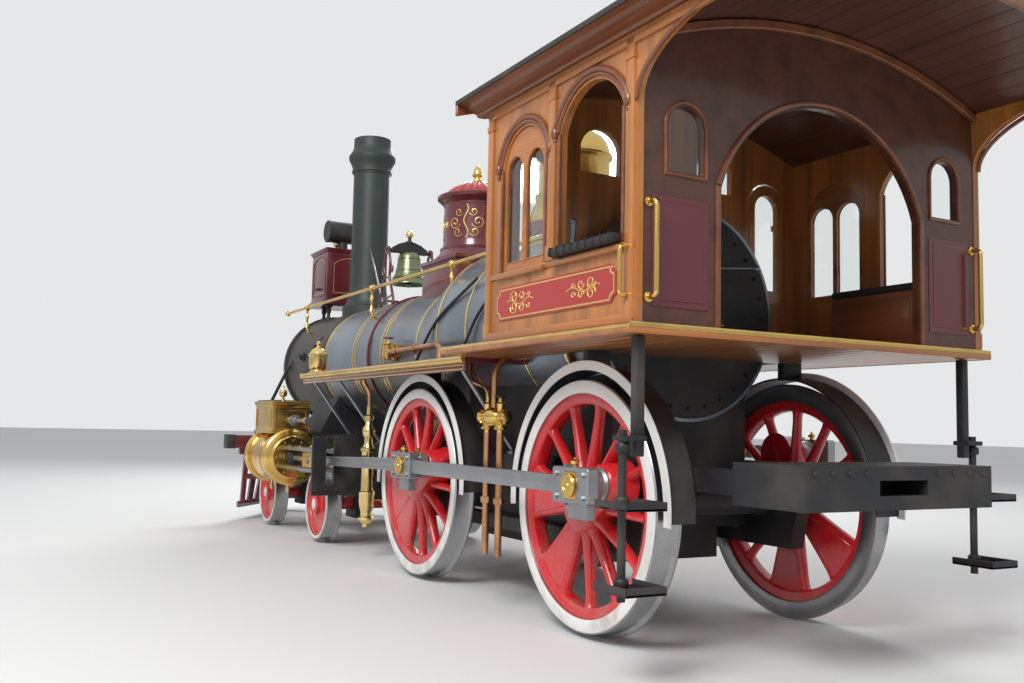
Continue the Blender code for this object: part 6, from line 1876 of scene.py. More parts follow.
    def _check_valve(self, word: str, side: float) -> None:
        """A check valve with its hand wheel and delivery pipe."""
        brass = Shop("check_valve_" + word)
        brass.lathe(mm(0, 550, 75, 550, 78, 582, 70, 590, 42, 594, 40, 635, 52, 642, 52, 656, 30, 664, 0,
                       666), (3.33, 0, 1.71), (0, side, 0), 32)
        brass.lathe(mm(0, 1640, 30, 1645, 36, 1660, 36, 1765, 44, 1772, 44, 1785, 16, 1792, 12, 1835, 0,
                       1838), (3.33, side * 0.64, 0), (0, 0, 1), 28)
        brass.finish(BRASS)
        pipe = Shop("delivery_pipe_" + word)
        pipe.sweep([(3.30, side * 0.64, 1.69), (3.12, side * 0.70, 1.695), (2.10, side * 0.75, 1.69),
                    (2.00, side * 0.76, 1.67), (1.93, side * 0.80, 1.542)], 0.023, 16, 0.08)
        for x in (2.55, 2.98):
            pipe.rod((x - 0.02, side * (0.727 if x < 2.8 else 0.707), 1.6925),
                     (x + 0.02, side * (0.727 if x < 2.8 else 0.707), 1.6925), 0.034, 6)
        pipe.finish(COPPER)
        wheel = Shop("check_valve_wheel_" + word)
        wheel.sweep([(3.33 + 0.042 * across, side * 0.64 + 0.042 * up, 1.83) for across,
                     up in circle((0, 0), 1, 25)] + [(3.372, side * 0.64, 1.83)], 0.006, 8)
        for turn in (0, 90):
            dx, dy = polar((0, 0), 0.042, turn)
            wheel.rod((3.33 - dx, side * 0.64 - dy, 1.83), (3.33 + dx, side * 0.64 + dy, 1.83), 0.004, 8)
        wheel.finish(MAROON)


@dataclass
class Mountings(Maker):
    """The headlight, the bell, the domes and the handrails on top of the boiler."""

    recipes: Recipes

    def build(self) -> None:
        """Builds each mounting."""
        self._headlight()
        self._bell()
        self._sand_dome()
        self._steam_dome()
        for word, side in SIDES:
            self._handrail(word, side)

    def _headlight(self) -> None:
        """The box headlight with framed panels, lens, chimney drum and finial."""
        box, gold, black = Shop("headlight_case"), Shop("headlight_lines"), Shop("headlight_drum")
        rear, front, half, low, high = 6.18, 6.74, 0.27, 2.46, 3.06
        box.box((rear + 0.002, -half + 0.004, low), (front - 0.004, half - 0.004, high), 0.006)
        box.box((rear - 0.006, -half - 0.008, low), (front + 0.006, half + 0.008, low + 0.035), 0.006)
        box.box((rear - 0.010, -half - 0.010, high - 0.03), (front + 0.010, half + 0.010, high - 0.010),
                0.006)
        box.box((rear - 0.0195, -half - 0.0195, high - 0.012), (front + 0.0195, half + 0.0195,
                high + 0.0145), 0.008)
        box.box((rear - 0.0595, -half - 0.0595, low - 0.039), (front + 0.0195, half + 0.0595, low), 0.009)
        for _, side in SIDES:
            def ring(inset: float) -> Outline:
                """A panel line on the headlight's side, drawn in by an inset."""
                return arched(rear + 0.05 + inset, front - 0.05 - inset, low + 0.075 + inset,
                              high - 0.06 - inset, 0.07, 13)
            box.slab(ring(0.0), [ring(0.018)], side * (half - 0.006), side * (half + 0.006), Facing.Y, 0.003)
            gold.slab(ring(0.030), [ring(0.037)], side * (half - 0.006), side * (half - 0.0025), Facing.Y)
            gold.slab(oblong(rear - 0.05, low - 0.028, front + 0.01, low - 0.012),
                      [oblong(rear - 0.046, low - 0.024, front + 0.006, low - 0.016)], side * (half + 0.058),
                      side * (half + 0.0612), Facing.Y)
            black.sweep([(6.40, side * 0.27, 2.62), (6.40, side * 0.305, 2.62), (6.52, side * 0.305, 2.62),
                         (6.52, side * 0.27, 2.62)], 0.008, 10, 0.02)
        def back(inset: float) -> Outline:
            """A panel line on the headlight's back, drawn in by an inset."""
            return arched(-half + 0.05 + inset, half - 0.05 - inset, low + 0.075 + inset,
                          high - 0.06 - inset, 0.07, 13)
        box.slab(back(0.0), [back(0.018)], rear - 0.005, rear + 0.006, Facing.X, 0.003)
        gold.slab(back(0.030), [back(0.037)], rear - 0.0005, rear + 0.006, Facing.X)
        black.lathe(mm(0, -199, 120, -199, 129.5, -192, 129.5, -176, 125, -170, 125, 170, 129.5, 176, 129.5,
                       192, 120, 199, 0, 199), (6.46, 0, 3.31), (0, 1, 0), 48)
        black.lathe(mm(0, 3060, 85, 3060, 82, 3090, 56, 3105, 54, 3220, 0, 3220), (6.46, 0, 0), (0, 0, 1), 32)
        for x in (6.28, 6.45):
            for _, side in SIDES:
                black.lathe(mm(0, 2240, 45, 2240, 40, 2275, 20, 2290, 18, 2330, 28, 2350, 30, 2370, 20, 2390,
                               40, 2410, 40, 2422, 0, 2422), (x, side * 0.2, 0), (0, 0, 1), 24)
        box.lathe(mm(0, 3070, 50, 3070, 46, 3090, 30, 3100, 28, 3140, 44, 3160, 0, 3162), (6.68, 0, 0),
                  (0, 0, 1), 28)
        box.finish(MAROON, "engine", "maroon", ["headlight"])
        gold.finish(GOLD_LINE)
        black.finish(IRON_BLACK)
        brass = Shop("headlight_brasswork")
        brass.lathe(mm(0, 3160, 22, 3160, 18, 3172, 30, 3182, 42, 3205, 40, 3232, 22, 3252, 12, 3262, 16,
                       3275, 10, 3292, 0, 3305), (6.68, 0, 0), (0, 0, 1), 28)
        brass.lathe(mm(196, 6730, 222, 6730, 226, 6742, 222, 6752, 205, 6757, 196, 6750), (0, 0, 2.765),
                    (1, 0, 0), 64, True)
        brass.lathe(mm(0, 6728, 197, 6739, 197, 6740.5, 0, 6729.5), (0, 0, 2.765), (1, 0, 0), 48)
        brass.finish(GILT)
        lens = Shop("headlight_lens")
        lens.lathe(mm(0, 6745, 198, 6745, 198, 6748, 120, 6752, 0, 6754), (0, 0, 2.765), (1, 0, 0), 48)
        lens.finish(GLASS)

    def _bell(self) -> None:
        """The bell in its yoke and the scroll-cast stands."""
        x, axis_z = 4.45, 2.80
        bell = Shop("bell_casting")
        bell.lathe(mm(0, 2789, 70, 2788, 88, 2780, 102, 2762, 108, 2735, 113, 2700, 119, 2650, 128, 2600,
                      143, 2552, 162, 2515, 184, 2486, 189.5, 2478, 189.5, 2470.5, 183, 2470.5, 165, 2489,
                      143, 2522, 124, 2565, 108, 2610, 100, 2660, 94, 2710, 86, 2742, 0, 2746), (x, 0, 0),
                      (0, 0, 1), 64)
        for low, radius in ((2.715, 0.1125), (2.60, 0.129), (2.527, 0.158)):
            bell.lathe(((radius - 0.004, low), (radius + 0.002, low + 0.003), (radius + 0.002, low + 0.009),
                        (radius - 0.004, low + 0.012)), (x, 0, 0), (0, 0, 1), 64, True)
        bell.rod((x, 0, 2.758), (x, 0, 2.455), 0.011, 14)
        bell.ball((x, 0, 2.468), 0.027, 18)
        bell.finish(BRONZE, "bell_body", "bell_bronze", ["bell"], 40.0)
        yoke = Shop("bell_yoke")
        yoke.slab([(-0.19, 2.777), (0.19, 2.777), (0.194, 2.80), (0.185, 2.826), (0.12, 2.868),
                   (0.05, 2.893), (-0.05, 2.893), (-0.12, 2.868), (-0.185, 2.826), (-0.194, 2.80)], (),
                   x - 0.024, x + 0.024, Facing.X, 0.006)
        yoke.rod((x, -0.234, axis_z), (x, 0.234, axis_z), 0.0195, 24)
        yoke.lathe(mm(0, 2885, 40, 2885, 34, 2902, 18, 2912, 16, 2935, 0, 2938), (x, 0, 0), (0, 0, 1), 24)
        yoke.finish(IRON_BLACK, "bell_body")
        ball = Shop("bell_ball")
        ball.ball((x, 0, 2.972), 0.0395, 24)
        ball.finish(GILT, "bell_body")
        stand = Shop("bell_stands")
        for _, side in SIDES:
            y = side * 0.2275
            stand.lathe(mm(21.2, -12.5, 40, -12.5, 44, -8, 44, 8, 40, 12.5, 21.2, 12.5), (x, y, axis_z),
                        (0, 1, 0), 32, True)
            for way in (-1, 1):
                stand.sweep([(x + way * 0.19, y, 2.255), (x + way * 0.150, y, 2.36),
                             (x + way * 0.055, y, 2.52), (x + way * 0.085, y, 2.66),
                             (x + way * 0.035, y, 2.78)], 0.0135, 12, 0.08)
                curl = []
                for index in range(18):
                    share = index / 17
                    turn = math.radians(-70 + 430 * share)
                    radius = 0.042 * (1 - 0.75 * share)
                    curl.append((x + way * (0.108 + radius * math.cos(turn)), y,
                                 2.60 + radius * math.sin(turn)))
                stand.sweep(curl, 0.008, 8)
                stand.box((x + way * 0.145, y - 0.012, 2.235), (x + way * 0.19, y + 0.012, 2.268), 0.004)
            stand.sweep([(x - 0.15, y, 2.34), (x, y, 2.31), (x + 0.15, y, 2.34)], 0.010, 10, 0.1)
            stand.rod((x - 0.06, y, 2.52), (x + 0.06, y, 2.52), 0.010, 10)
        stand.box((x - 0.04, -0.222, 2.285), (x + 0.04, 0.222, 2.30), 0.005)
        stand.finish(MAROON, "engine", "maroon", ["bell_stand"])
        stay = Shop("stack_stay")
        stay.rod((5.375, 0.06, 2.95), (4.63, 0.20, 2.30), 0.008, 10)
        stay.finish(STEEL)

    def _sand_dome(self) -> None:
        """The sand dome: square base, round body with gold scrolls, fluted lid and acorn."""
        x = 2.98
        base = Shop("sand_dome_base")
        base.box((x - 0.345, -0.345, 2.16), (x + 0.345, 0.345, 2.46), 0.012)
        for half, low, high in ((0.352, 2.445, 2.462), (0.3695, 2.462, 2.484), (0.358, 2.482, 2.4995)):
            base.box((x - half, -half, low), (x + half, half, high), 0.005)
        base.lathe(mm(0, 2498, 345, 2498, 352, 2506, 345, 2518, 318, 2545, 303, 2575, 308, 2585, 308, 2597,
                      290, 2605, 282, 2640, 279.5, 2670, 279.5, 2955, 286, 2965, 286, 2978, 296, 2985, 318,
                      3008, 338, 3022, 341, 3030, 341, 3048, 334, 3055, 300, 3058, 280, 3062, 0, 3064),
                      (x, 0, 0), (0, 0, 1), 80)
        base.finish(MAROON, "engine", "maroon", ["sand_dome"], 24.0)
        lid = Shop("sand_dome_lid_seed")
        lid.lathe(mm(0, 3060, 276, 3060, 275.5, 3066, 270, 3078, 262, 3090, 250, 3104, 235, 3117, 218, 3130,
                     198, 3143, 176, 3155, 152, 3167, 126, 3178, 100, 3188, 70, 3198, 56, 3204, 0, 3206),
                     (x, 0, 0), (0, 0, 1), 192)
        values = {"Middle": x, "Count": 20.0, "Depth": 0.030, "Low": 3.063, "High": 3.1999}
        made = self.recipes.flutes.cook(lid, PANEL_RED, values)
        self.deliver("sand_dome_lid", made, PANEL_RED, "engine", "maroon", (), 50.0)
        acorn = Shop("sand_dome_acorn")
        acorn.lathe(mm(0, 3200, 55, 3200, 52, 3212, 30, 3220, 26, 3235, 0, 3236), (x, 0, 0), (0, 0, 1), 32)
        acorn.lathe(mm(0, 3236, 28, 3238, 44, 3250, 46, 3262, 40, 3268, 38, 3292, 30, 3315, 16, 3334, 0,
                       3349), (x, 0, 0), (0, 0, 1), 32)
        acorn.finish(BRASS)
        gold = Shop("sand_dome_scrolls")
        radius = 0.2812
        for middle in (45.0, 135.0, 225.0, 315.0):
            for way in (-1, 1):
                for lift, spread, size, turns in ((2.80, 0.105, 0.058, 1.4), (2.715, 0.075, 0.042, 1.2),
                                                  (2.885, 0.065, 0.038, 1.2), (2.80, 0.205, 0.035, 1.1)):
                    path = []
                    for index in range(20):
                        share = index / 19
                        turn = math.radians(200) + share * turns * 2 * math.pi
                        reach = size * (1 - 0.82 * share)
                        across = way * (spread + reach * math.cos(turn))
                        angle = math.radians(middle) + across / radius
                        path.append((x + radius * math.cos(angle), radius * math.sin(angle),
                                     lift + reach * math.sin(turn)))
                    gold.sweep(path, 0.0042, 6)
            stem = []
            for index in range(10):
                share = index / 9
                angle = math.radians(middle) + 0.02 * math.sin(share * 9) / radius
                stem.append((x + radius * math.cos(angle), radius * math.sin(angle), 2.66 + 0.29 * share))
            gold.sweep(stem, 0.005, 6)
        gold.finish(GOLD_LINE)

    def _steam_dome(self) -> None:
        """The brass steam dome with its base band."""
        x = 1.42
        dome = Shop("steam_dome_casing")
        dome.lathe(mm(0, 2300, 339, 2300, 339, 2575, 332, 2592, 318, 2600, 312, 2620, 302, 2655, 283, 2700,
                      278, 2745, 284, 2752, 284, 2765, 264, 2775, 259.5, 2800, 259.5, 3020, 266, 3032, 280,
                      3045, 282, 3058, 278, 3068, 262, 3078, 259.5, 3095, 252, 3130, 236, 3165, 205, 3205,
                      160, 3235, 100, 3256, 50, 3262, 30, 3269, 0, 3270), (x, 0, 0), (0, 0, 1), 80)
        dome.finish(BRASS, "engine", "brass", ["steam_dome"], 24.0)
        black = Shop("steam_dome_base_band")
        black.lathe(mm(330, 2400, 344.5, 2400, 344.5, 2545, 338, 2552, 330, 2552), (x, 0, 0), (0, 0, 1), 80,
                    True)
        black.finish(MAROON)

    def _handrail(self, word: str, side: float) -> None:
        """One handrail with its turned posts and ball end."""
        y, z = side * 0.52, 2.35
        rail = Shop("handrail_tube_" + word)
        rail.rod((0.451, y, z), (6.77, y, z), 0.0168, 20)
        rail.ball((6.782, y, z), 0.034, 24)
        rail.lathe(mm(0, 450, 36, 450, 34, 460, 22, 470, 17, 485, 0, 485), (0, y, z), (1, 0, 0), 24)
        for x, radius, centre in ((6.05, 0.578, 1.72), (4.075, 0.57, 1.72), (2.35, 0.66, WAGON_AXIS)):
            foot_z = centre + math.sqrt(max(0.0, radius * radius - 0.46 * 0.46))
            foot_z = min(foot_z, 2.30)
            rail.ball((x, y, z), 0.0335, 20)
            rail.lathe(mm(0, 0, 18, 0, 11, 30, 14, 60, 21, 80, 14, 100, 11, 130, 16, 170, 26, 190, 26, 200,
                          0, 200), (x, y, z - 0.02), (0, 0, -1), 20)
            rail.sweep([(x, y, z - 0.21), (x, side * 0.50, z - 0.26), (x, side * 0.40, z - 0.30)], 0.014, 12,
                       0.03)
        rail.finish(BRASS, "engine", "brass", ["handrail_" + word])


@dataclass
class Running(Maker):
    """Running boards, steps, pumps, injectors and their pipes."""

    recipes: Recipes

    def build(self) -> None:
        """Builds both sides."""
        for word, side in SIDES:
            self._board(word, side)
            self._pot(word, side)
            self._pump(word, side)
            self._injector(word, side)
            self._step(word, side)
            splasher(f"front_splasher_{word}", 2.246, side, 1.505)

    def _board(self, word: str, side: float) -> None:
        """The board, its brass nosing and the braces under it."""
        board = Shop("running_board_planks_" + word)
        for low, high in ((0.972, 2.34), (2.343, 3.345), (3.348, 4.348)):
            inner = 0.603 if high < 2.5 else 0.545
            outline = oblong(low, side * inner, high, side * 1.062)
            if low < 2.5 < high:
                outline = [(low, side * 0.603), (2.86, side * 0.545), (high, side * 0.545),
                           (high, side * 1.062), (low, side * 1.062)]
            board.slab(outline, (), 1.503, 1.5395, Facing.Z, 0.003)
        board.box((0.972, side * 1.036, 1.445), (4.348, side * 1.060, 1.503), 0.005)
        board.finish(MAROON, "engine", "maroon", ["running_board_" + word])
        nose = Shop("running_board_nosing_" + word)
        nose.rod((0.972, side * 1.07, 1.515), (4.348, side * 1.07, 1.515), 0.0245, 20)
        nose.box((4.342, side * 0.56, 1.495), (4.356, side * 1.09, 1.542), 0.003)
        nose.finish(BRASS)
        lines = Shop("running_board_lines_" + word)
        lines.slab(oblong(1.0, 1.452, 4.32, 1.484), [oblong(1.006, 1.458, 4.314, 1.478)], side * 1.058,
                   side * 1.0612, Facing.Y)
        lines.finish(GOLD_LINE)
        braces = Shop("running_board_braces_" + word)
        for x in (1.14, 3.52, 4.18):
            braces.sweep([(x, side * 1.03, 1.50), (x, side * 1.0, 1.46), (x, side * 0.64, 0.98),
                          (x, side * 0.60, 0.93)], 0.014, 10, 0.03)
            braces.box((x - 0.03, side * 0.97, 1.492), (x + 0.03, side * 1.05, 1.503), 0.002)
            braces.box((x - 0.03, side * 0.55, 0.9205), (x + 0.03, side * 0.64, 0.94), 0.003)
        braces.finish(STEEL)

    def _pot(self, word: str, side: float) -> None:
        """The brass oil pot on the board's front end."""
        pot = Shop("oil_pot_" + word)
        pot.lathe(mm(0, 1540, 85, 1540, 85, 1552, 70, 1560, 62, 1575, 76, 1590, 84, 1620, 84, 1700, 90, 1706,
                     90, 1722, 74, 1730, 66, 1750, 46, 1772, 20, 1786, 14, 1800, 22, 1815, 20, 1834, 0,
                     1848), (4.27, side * 0.95, 0), (0, 0, 1), 40)
        pot.finish(GILT)

    def _pump(self, word: str, side: float) -> None:
        """The upright feed pump with its flanges and pipes."""
        x, y = 3.3, side * 0.80
        pump = Shop("feed_pump_barrel_" + word)
        pump.lathe(mm(0, 241, 30, 241, 33, 270, 50, 282, 62, 300, 62, 320, 50, 330, 46, 360, 58, 400, 64,
                      440, 64, 500, 65.5, 505, 65.5, 530, 56, 538, 53, 560, 53, 840, 56, 860, 65.5, 866,
                      65.5, 892, 48, 900, 36, 930, 36, 980, 50, 1000, 54, 1030, 50, 1060, 34, 1080, 28, 1120,
                      40, 1135, 40, 1160, 24, 1170, 22, 1239.5, 0, 1239.5), (x, y, 0), (0, 0, 1), 40)
        pump.finish(GILT, "engine", "brass", ["feed_pump_" + word])
        black = Shop("feed_pump_bracket_" + word)
        black.box((x - 0.045, side * 0.598, 0.60), (x + 0.045, side * 0.755, 0.66), 0.008)
        black.box((x - 0.06, side * 0.598, 0.56), (x + 0.06, side * 0.612, 0.72), 0.004)
        black.box((x - 0.045, side * 0.598, 0.80), (x + 0.045, side * 0.755, 0.84), 0.008)
        black.finish(IRON_BLACK)
        pipe = Shop("feed_pump_pipes_" + word)
        pipe.sweep([(x, y, 1.22), (x, y, 1.36), (x, side * 0.86, 1.44), (x, side * 0.86, 1.503)], 0.019, 14,
                   0.06)
        pipe.sweep([(x, side * 0.74, 0.47), (x, side * 0.66, 0.47), (x - 0.02, side * 0.64, 0.38),
                    (3.05, side * 0.64, 0.36)], 0.017, 14, 0.05)
        pipe.finish(COPPER)

    def _injector(self, word: str, side: float) -> None:
        """The injector cluster between the driving wheels, with its copper pipes."""
        x, y, z = 0.93, side * 0.87, 1.16
        body = Shop("injector_body_" + word)
        body.lathe(mm(0, -169, 30, -169, 34, -150, 48, -146, 48, -128, 34, -120, 32, -80, 52, -60, 62, -30,
                      65.5, 0, 62, 30, 52, 60, 32, 80, 34, 120, 48, 128, 48, 146, 34, 150, 30, 169, 0, 169),
                      (x, y, z), (1, 0, 0), 36)
        for offset in (-0.085, 0.085):
            body.lathe(mm(0, 0, 30, 0, 30, 30, 40, 34, 40, 50, 22, 56, 20, 90, 0, 92),
                       (x + offset, y, z - 0.03), (0, 0, -1), 24)
            body.lathe(mm(0, 0, 22, 0, 26, 50, 16, 60, 12, 100, 0, 102), (x + offset, y, z + 0.03),
                       (0, 0, 1), 24)
        body.finish(BRASS, "engine", "brass", ["injector_" + word])
        pipes = Shop("injector_pipes_" + word)
        for offset in (-0.085, 0.085):
            pipes.sweep([(x + offset, y, z - 0.10), (x + offset, y, 0.302)], 0.0225, 16)
            pipes.rod((x + offset, y, 0.62), (x + offset, y, 0.66), 0.034, 6)
        pipes.sweep([(x, y, z + 0.05), (x, y, 1.46), (x, side * 0.80, 1.529)], 0.020, 16, 0.05)
        pipes.sweep([(x + 0.085, y, z + 0.10), (x + 0.10, y, 1.34), (1.28, side * 0.87, 1.40),
                     (1.34, side * 0.84, 1.503)], 0.013, 12, 0.06)
        pipes.finish(COPPER)
        wheel = Shop("injector_wheels_" + word)
        for offset in (-0.085,):
            ring = [(x + offset + 0.036 * across, y + 0.036 * up, z + 0.125) for across,
                    up in circle((0, 0), 1, 20)]
            wheel.sweep(ring + ring[:1], 0.005, 8)
            wheel.rod((x + offset, y, z + 0.12), (x + offset, y, z + 0.135), 0.01, 10)
            wheel.rod((x + offset - 0.036, y, z + 0.125), (x + offset + 0.036, y, z + 0.125), 0.004, 8)
        wheel.finish(IRON_BLACK)

    def _step(self, word: str, side: float) -> None:
        """The hanging steps behind the rear driving wheel."""
        x, y = -0.93, side * 1.2
        step = Shop("cab_step_irons_" + word)
        step.box((x - 0.024, side * 1.096, 0.98), (x + 0.024, side * 1.144, 1.53), 0.008)
        step.box((x - 0.05, side * 1.10, 1.05), (x + 0.05, side * 1.225, 1.075), 0.006)
        step.sweep([(x, y, 1.10), (x, y, 0.34)], 0.020, 16)
        for z in (0.42, 0.78, 1.02):
            step.lathe(mm(0, -22, 28, -22, 34, -12, 34, 12, 28, 22, 0, 22), (x, y, z), (0, 0, 1), 20)
        for z in (0.76, 0.40):
            low_x, high_x = x - 0.19, x + 0.06
            low_y, high_y = side * 1.092, side * 1.308
            step.box((low_x, low_y, z - 0.01), (high_x, high_y, z + 0.004), 0.003)
            step.box((low_x, low_y, z - 0.01), (low_x + 0.008, high_y, z + 0.03), 0.003)
            step.box((low_x, low_y, z - 0.01), (high_x, low_y + side * 0.008, z + 0.03), 0.003)
            step.box((low_x, high_y - side * 0.008, z - 0.01), (high_x, high_y, z + 0.03), 0.003)
            for index in range(5):
                line_x = low_x + 0.03 + index * 0.045
                step.box((line_x, low_y, z + 0.002), (line_x + 0.008, high_y, z + 0.008), 0.002)
        step.finish(IRON_BLACK, "engine", "frame_black", ["step_" + word])


@dataclass
class Front(Maker):
    """The pilot, the beam, the leading truck and the frame's bolts."""

    recipes: Recipes

    def build(self) -> None:
        """Builds the front end and dresses the frames."""
        self._pilot()
        self._beam()
        for name, x in (("truck_front", 6.28), ("truck_rear", 4.58)):
            self._wheelset(name, x)
        for word, side in SIDES:
            self._frame_bolts(word, side)

    def _pilot(self) -> None:
        """The slatted pilot."""
        base = Shop("pilot_bars")
        rear, tip, half = 6.756, 8.14, 1.018
        arrow = [(rear, -half), (rear + 0.08, -half), (tip - 0.03, -0.12), (tip - 0.002, -0.07),
                 (tip - 0.002, 0.07), (tip - 0.03, 0.12), (rear + 0.08, half), (rear, half),
                 (tip - 0.19, 0.07), (tip - 0.19, -0.07)]
        base.slab(arrow, (), 0.121, 0.189, Facing.Z, 0.008)
        base.box((rear, -half, 0.715), (rear + 0.08, half, 0.784), 0.008)
        base.box((rear + 0.005, -0.95, 0.44), (rear + 0.035, 0.95, 0.50), 0.006)
        base.finish(MAROON, "engine", "maroon", ["pilot"])
        for word, side in SIDES:
            start = 0.0 if side > 0 else 1.0 / 8.0
            values = {"Count": 9 if side > 0 else 8, "High Start": (6.80, side * 0.93 * start, 0.745),
                      "High End": (6.80, side * 0.93, 0.745), "Low Start": (8.05 - 1.25 * start,
                              side * 0.96 * start, 0.165), "Low End": (6.80, side * 0.96, 0.165),
                              "Width": 0.05, "Depth": 0.055}
            made = self.recipes.fan.cook(None, MAROON, values)
            self.deliver(f"pilot_slats_{word}", made, MAROON, "engine", "maroon", (), 30.0)

    def _beam(self) -> None:
        """The front beam with its gold line, iron straps and braces."""
        beam = Shop("front_beam_timber")
        beam.box((6.7205, -1.168, 0.787), (6.8985, 1.168, 0.9335), 0.008)
        beam.finish(MAROON, "engine", "maroon", ["front_beam"])
        lines = Shop("front_beam_lines")
        lines.slab(oblong(-1.13, 0.812, 1.13, 0.91), [oblong(-1.122, 0.82, 1.122, 0.902)], 6.896, 6.8995,
                   Facing.X)
        lines.finish(GOLD_LINE)
        iron = Shop("front_beam_straps")
        for _, side in SIDES:
            iron.box((6.716, side * 1.08, 0.783), (6.8995, side * 1.171, 0.9385), 0.004)
            iron.box((6.70, side * 0.50, 0.921), (6.86, side * 0.60, 0.94), 0.004)
            iron.sweep([(6.36, side * 0.57, 1.74), (6.42, side * 0.60, 1.70), (6.80, side * 0.83, 0.98),
                        (6.81, side * 0.83, 0.935)], 0.018, 14, 0.04)
            iron.box((6.33, side * 0.55, 1.70), (6.39, side * 0.586, 1.78), 0.006)
        iron.finish(IRON_BLACK)

    def _wheelset(self, name: str, x: float) -> None:
        """A truck axle with two small wheels: steel tyres, white edges and red centres."""
        body = name + "_axle"
        tread = 0.33
        red, steel, white = Shop(name + "_centres"), Shop(name + "_tyres"), Shop(name + "_tyre_edges")
        for _, side in SIDES:
            centre, axis = (x, 0.0, tread), (0, side, 0)
            steel.lathe(mm(292, 814, 292, 684, 300, 681, 340, 681, 352, 685, 357.5, 692, 355.5, 700, 345,
                           708, 334, 713, 329.5, 722, 327.5, 812, 322, 818.5, 297, 818.5), centre, axis, 72,
                           True)
            white.lathe(mm(293, 812, 293, 820.5, 297, 822.5, 315, 822.5, 319, 820, 319, 812), centre, axis,
                        72, True)
            red.lathe(mm(0, 661, 72, 661, 75, 700, 85, 722, 260, 726, 280, 700, 292.5, 700, 292.5, 806, 283,
                         808, 272, 800, 262, 782, 235, 772, 150, 775, 105, 785, 90, 800, 84, 830, 70, 838, 0,
                         838), centre, axis, 72)
            white.lathe(mm(0, 836, 50, 836, 52, 842, 46, 845.5, 0, 845.5), centre, axis, 36)
        red.lathe(mm(0, -660, 56, -660, 50, 0, 56, 660, 0, 660), (x, 0, tread), (0, 1, 0), 32)
        red.finish(WHEEL_RED, body, "wheel_red", [name + "_wheelset"])
        steel.finish(TREAD, body)
        white.finish(TYRE_WHITE, body)

    def _frame_bolts(self, word: str, side: float) -> None:
        """Rivets along the frames, the firebox and the tail."""
        self.rivet_row(f"frame_rivets_{word}", (2.85, side * 0.601, 0.86), (4.9, side * 0.601, 0.86), 15,
                       0.014, (0, side, 0), IRON_BLACK)
        self.rivet_row(f"firebox_rivets_{word}", (0.24, side * 0.5, 1.02), (1.94, side * 0.5, 1.02), 16,
                       0.013, (0, side, 0), IRON_BLACK)
        self.rivet_row(f"tail_rivets_{word}", (-1.46, side * 0.24, 0.925), (-1.46, side * 0.56, 0.925), 4,
                       0.016, (-1, 0, 0), IRON_BLACK)


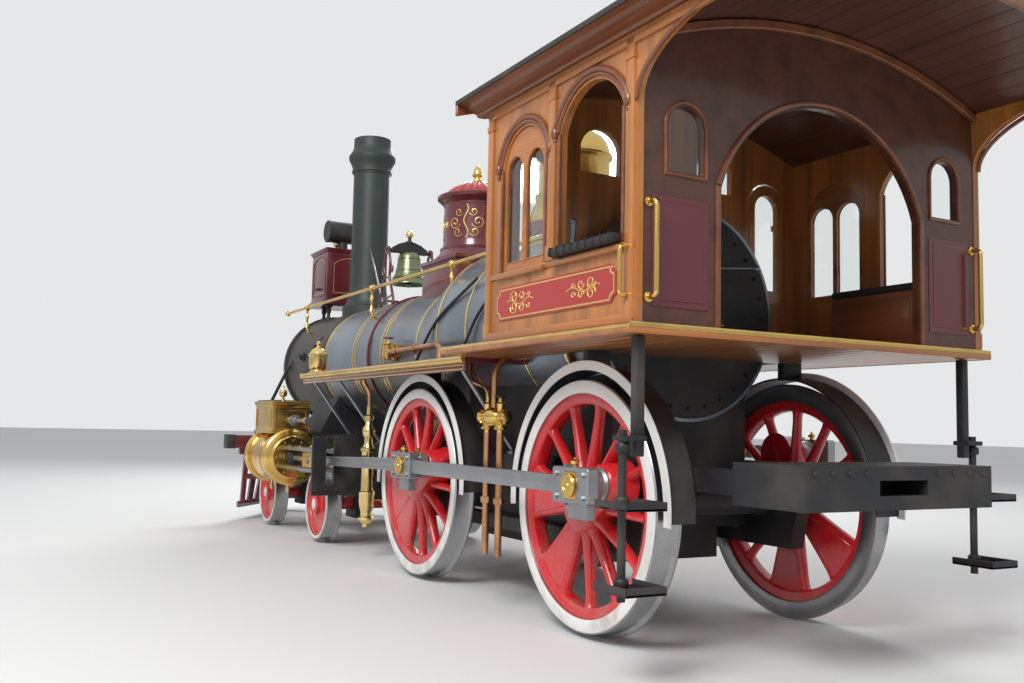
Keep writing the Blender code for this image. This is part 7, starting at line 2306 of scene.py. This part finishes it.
@dataclass
class Studio:
    """The floor, the lamps and the camera at the photograph's angle."""

    eye: tuple[float, float, float] = (-4.623, 3.809, 1.110)
    yaw: float = 28.82
    pitch: float = 4.79
    roll: float = 1.22
    lens: float = 35.06

    def camera(self) -> None:
        """Sets the camera."""
        yaw, pitch, roll = (math.radians(value) for value in (self.yaw, self.pitch, self.roll))
        ahead = Vector((math.cos(yaw) * math.cos(pitch), -math.sin(yaw) * math.cos(pitch), math.sin(pitch)))
        right = ahead.cross(Vector((0, 0, 1))).normalized()
        above = right.cross(ahead)
        turned_right = right * math.cos(roll) + above * math.sin(roll)
        turned_above = above * math.cos(roll) - right * math.sin(roll)
        data = bpy.data.cameras.new("photo_camera")
        data.sensor_width = 36.0
        data.lens = self.lens
        data.clip_end = 500.0
        item = bpy.data.objects.new("photo_camera", data)
        bpy.context.scene.collection.objects.link(item)
        matrix = Matrix((turned_right, turned_above, -ahead)).transposed().to_4x4()
        matrix.translation = Vector(self.eye) + Shop.shift
        item.matrix_world = matrix
        bpy.context.scene.camera = item

    def lamp(self, name: str, place: Point, aim: Point, size: float, power: float) -> None:
        """Adds one large soft lamp."""
        data = bpy.data.lights.new(name, "AREA")
        data.size = size
        data.energy = power
        item = bpy.data.objects.new(name, data)
        item.location = place
        item.rotation_mode = "QUATERNION"
        item.rotation_quaternion = (Vector(aim) - Vector(place)).to_track_quat("-Z", "Y")
        bpy.context.scene.collection.objects.link(item)

    def stage(self) -> None:
        """Lays the floor and lights the set."""
        work = bmesh.new()
        bmesh.ops.create_grid(work, x_segments=1, y_segments=1, size=90.0)
        data = bpy.data.meshes.new("studio_floor")
        work.to_mesh(data)
        work.free()
        floor = bpy.data.objects.new("studio_floor", data)
        bpy.context.scene.collection.objects.link(floor)
        paint = bpy.data.materials.new("studio_floor_paint")
        paint.use_nodes = True
        shader = paint.node_tree.nodes["Principled BSDF"]
        shader.inputs["Base Color"].default_value = (0.74, 0.74, 0.73, 1.0)
        shader.inputs["Roughness"].default_value = 0.9
        data.materials.append(paint)
        world = bpy.data.worlds.new("studio_air")
        bpy.context.scene.world = world
        world.use_nodes = True
        board = Board(world.node_tree)
        back = world.node_tree.nodes["Background"]
        rays = board.make("ShaderNodeLightPath")
        seen = Wire(board, rays.outputs["Is Camera Ray"]).math("MAXIMUM",
                Wire(board, rays.outputs["Is Transmission Ray"]))
        glossy = Wire(board, rays.outputs["Is Glossy Ray"])
        where = board.add("ShaderNodeTexCoord", output="Generated")
        up = board.add("ShaderNodeSeparateXYZ", None, {0: where}, "Z").between(-0.1, 0.6)
        sky = board.mix(up, (0.55, 0.56, 0.58), (0.95, 0.97, 1.0))
        shown = board.mix(glossy, (0.62, 0.63, 0.65), sky)
        colour = board.mix(seen, shown, (0.93, 0.94, 0.95))
        world.node_tree.links.new(colour.socket, back.inputs["Color"])
        back.inputs["Strength"].default_value = 0.85
        self.lamp("key_lamp", (-9.0, 10.0, 11.0), (0.0, 0.0, 1.2), 6.0, 1900.0)
        self.lamp("front_lamp", (11.0, -7.0, 9.0), (0.5, 0.0, 1.5), 6.0, 1100.0)
        bpy.context.scene.view_settings.view_transform = "Standard"


NODE_FINISHES: dict[str, Finish] = {"rod": STEEL, "crosshead": STEEL, "guides": STEEL, "axle": IRON_BLACK,
                                    "wheel": WHEEL_RED, "frame": IRON_BLACK, "cylinder": BRASS,
                                    "steam_chest": BRASS, "pilot": MAROON, "beam": MAROON, "boiler": JACKET,
                                    "firebox": IRON_BLACK, "smokebox": SMOKEBOX_GREY, "stack": STACK_GREEN,
                                    "headlight": MAROON, "bell_stand": MAROON, "bell": BRONZE,
                                    "sand_dome": MAROON, "steam_dome": BRASS, "handrail": BRASS,
                                    "running_board": MAROON, "cab": CAB_WOOD, "front_door": CAB_WOOD,
                                    "step": IRON_BLACK, "pump": BRASS, "injector": COPPER,
                                    "saddle": IRON_BLACK, "tail": IRON_BLACK, "fire_door": IRON_BLACK,
                                    "yoke": IRON_BLACK}


def dress_nodes(frame: dict[str, Any]) -> None:
    """Gives every CAD node that stays in view its finish.
    """
    for name, item in frame["nodes"].items():
        fits = [finish for key, finish in NODE_FINISHES.items() if key in name]
        chosen = fits[0] if fits else IRON_BLACK
        if "axle" in name:
            chosen = IRON_BLACK
        item.data.materials.clear()
        item.data.materials.append(chosen.material())


def main() -> None:
    """Builds the looks in order."""
    logging.basicConfig(level=logging.INFO, format="%(name)s %(message)s")
    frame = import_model()
    studio = Studio()
    studio.camera()
    studio.stage()
    dress_nodes(frame)
    recipes = Recipes()
    wheels = DrivingWheels(recipes)
    wheels.build()
    Motion(recipes, wheels).build()
    Cylinders(recipes).build()
    Cab(recipes).build()
    Boiler(recipes).build()
    Mountings(recipes).build()
    Running(recipes).build()
    Front(recipes).build()


if __name__ == "__main__":
    main()
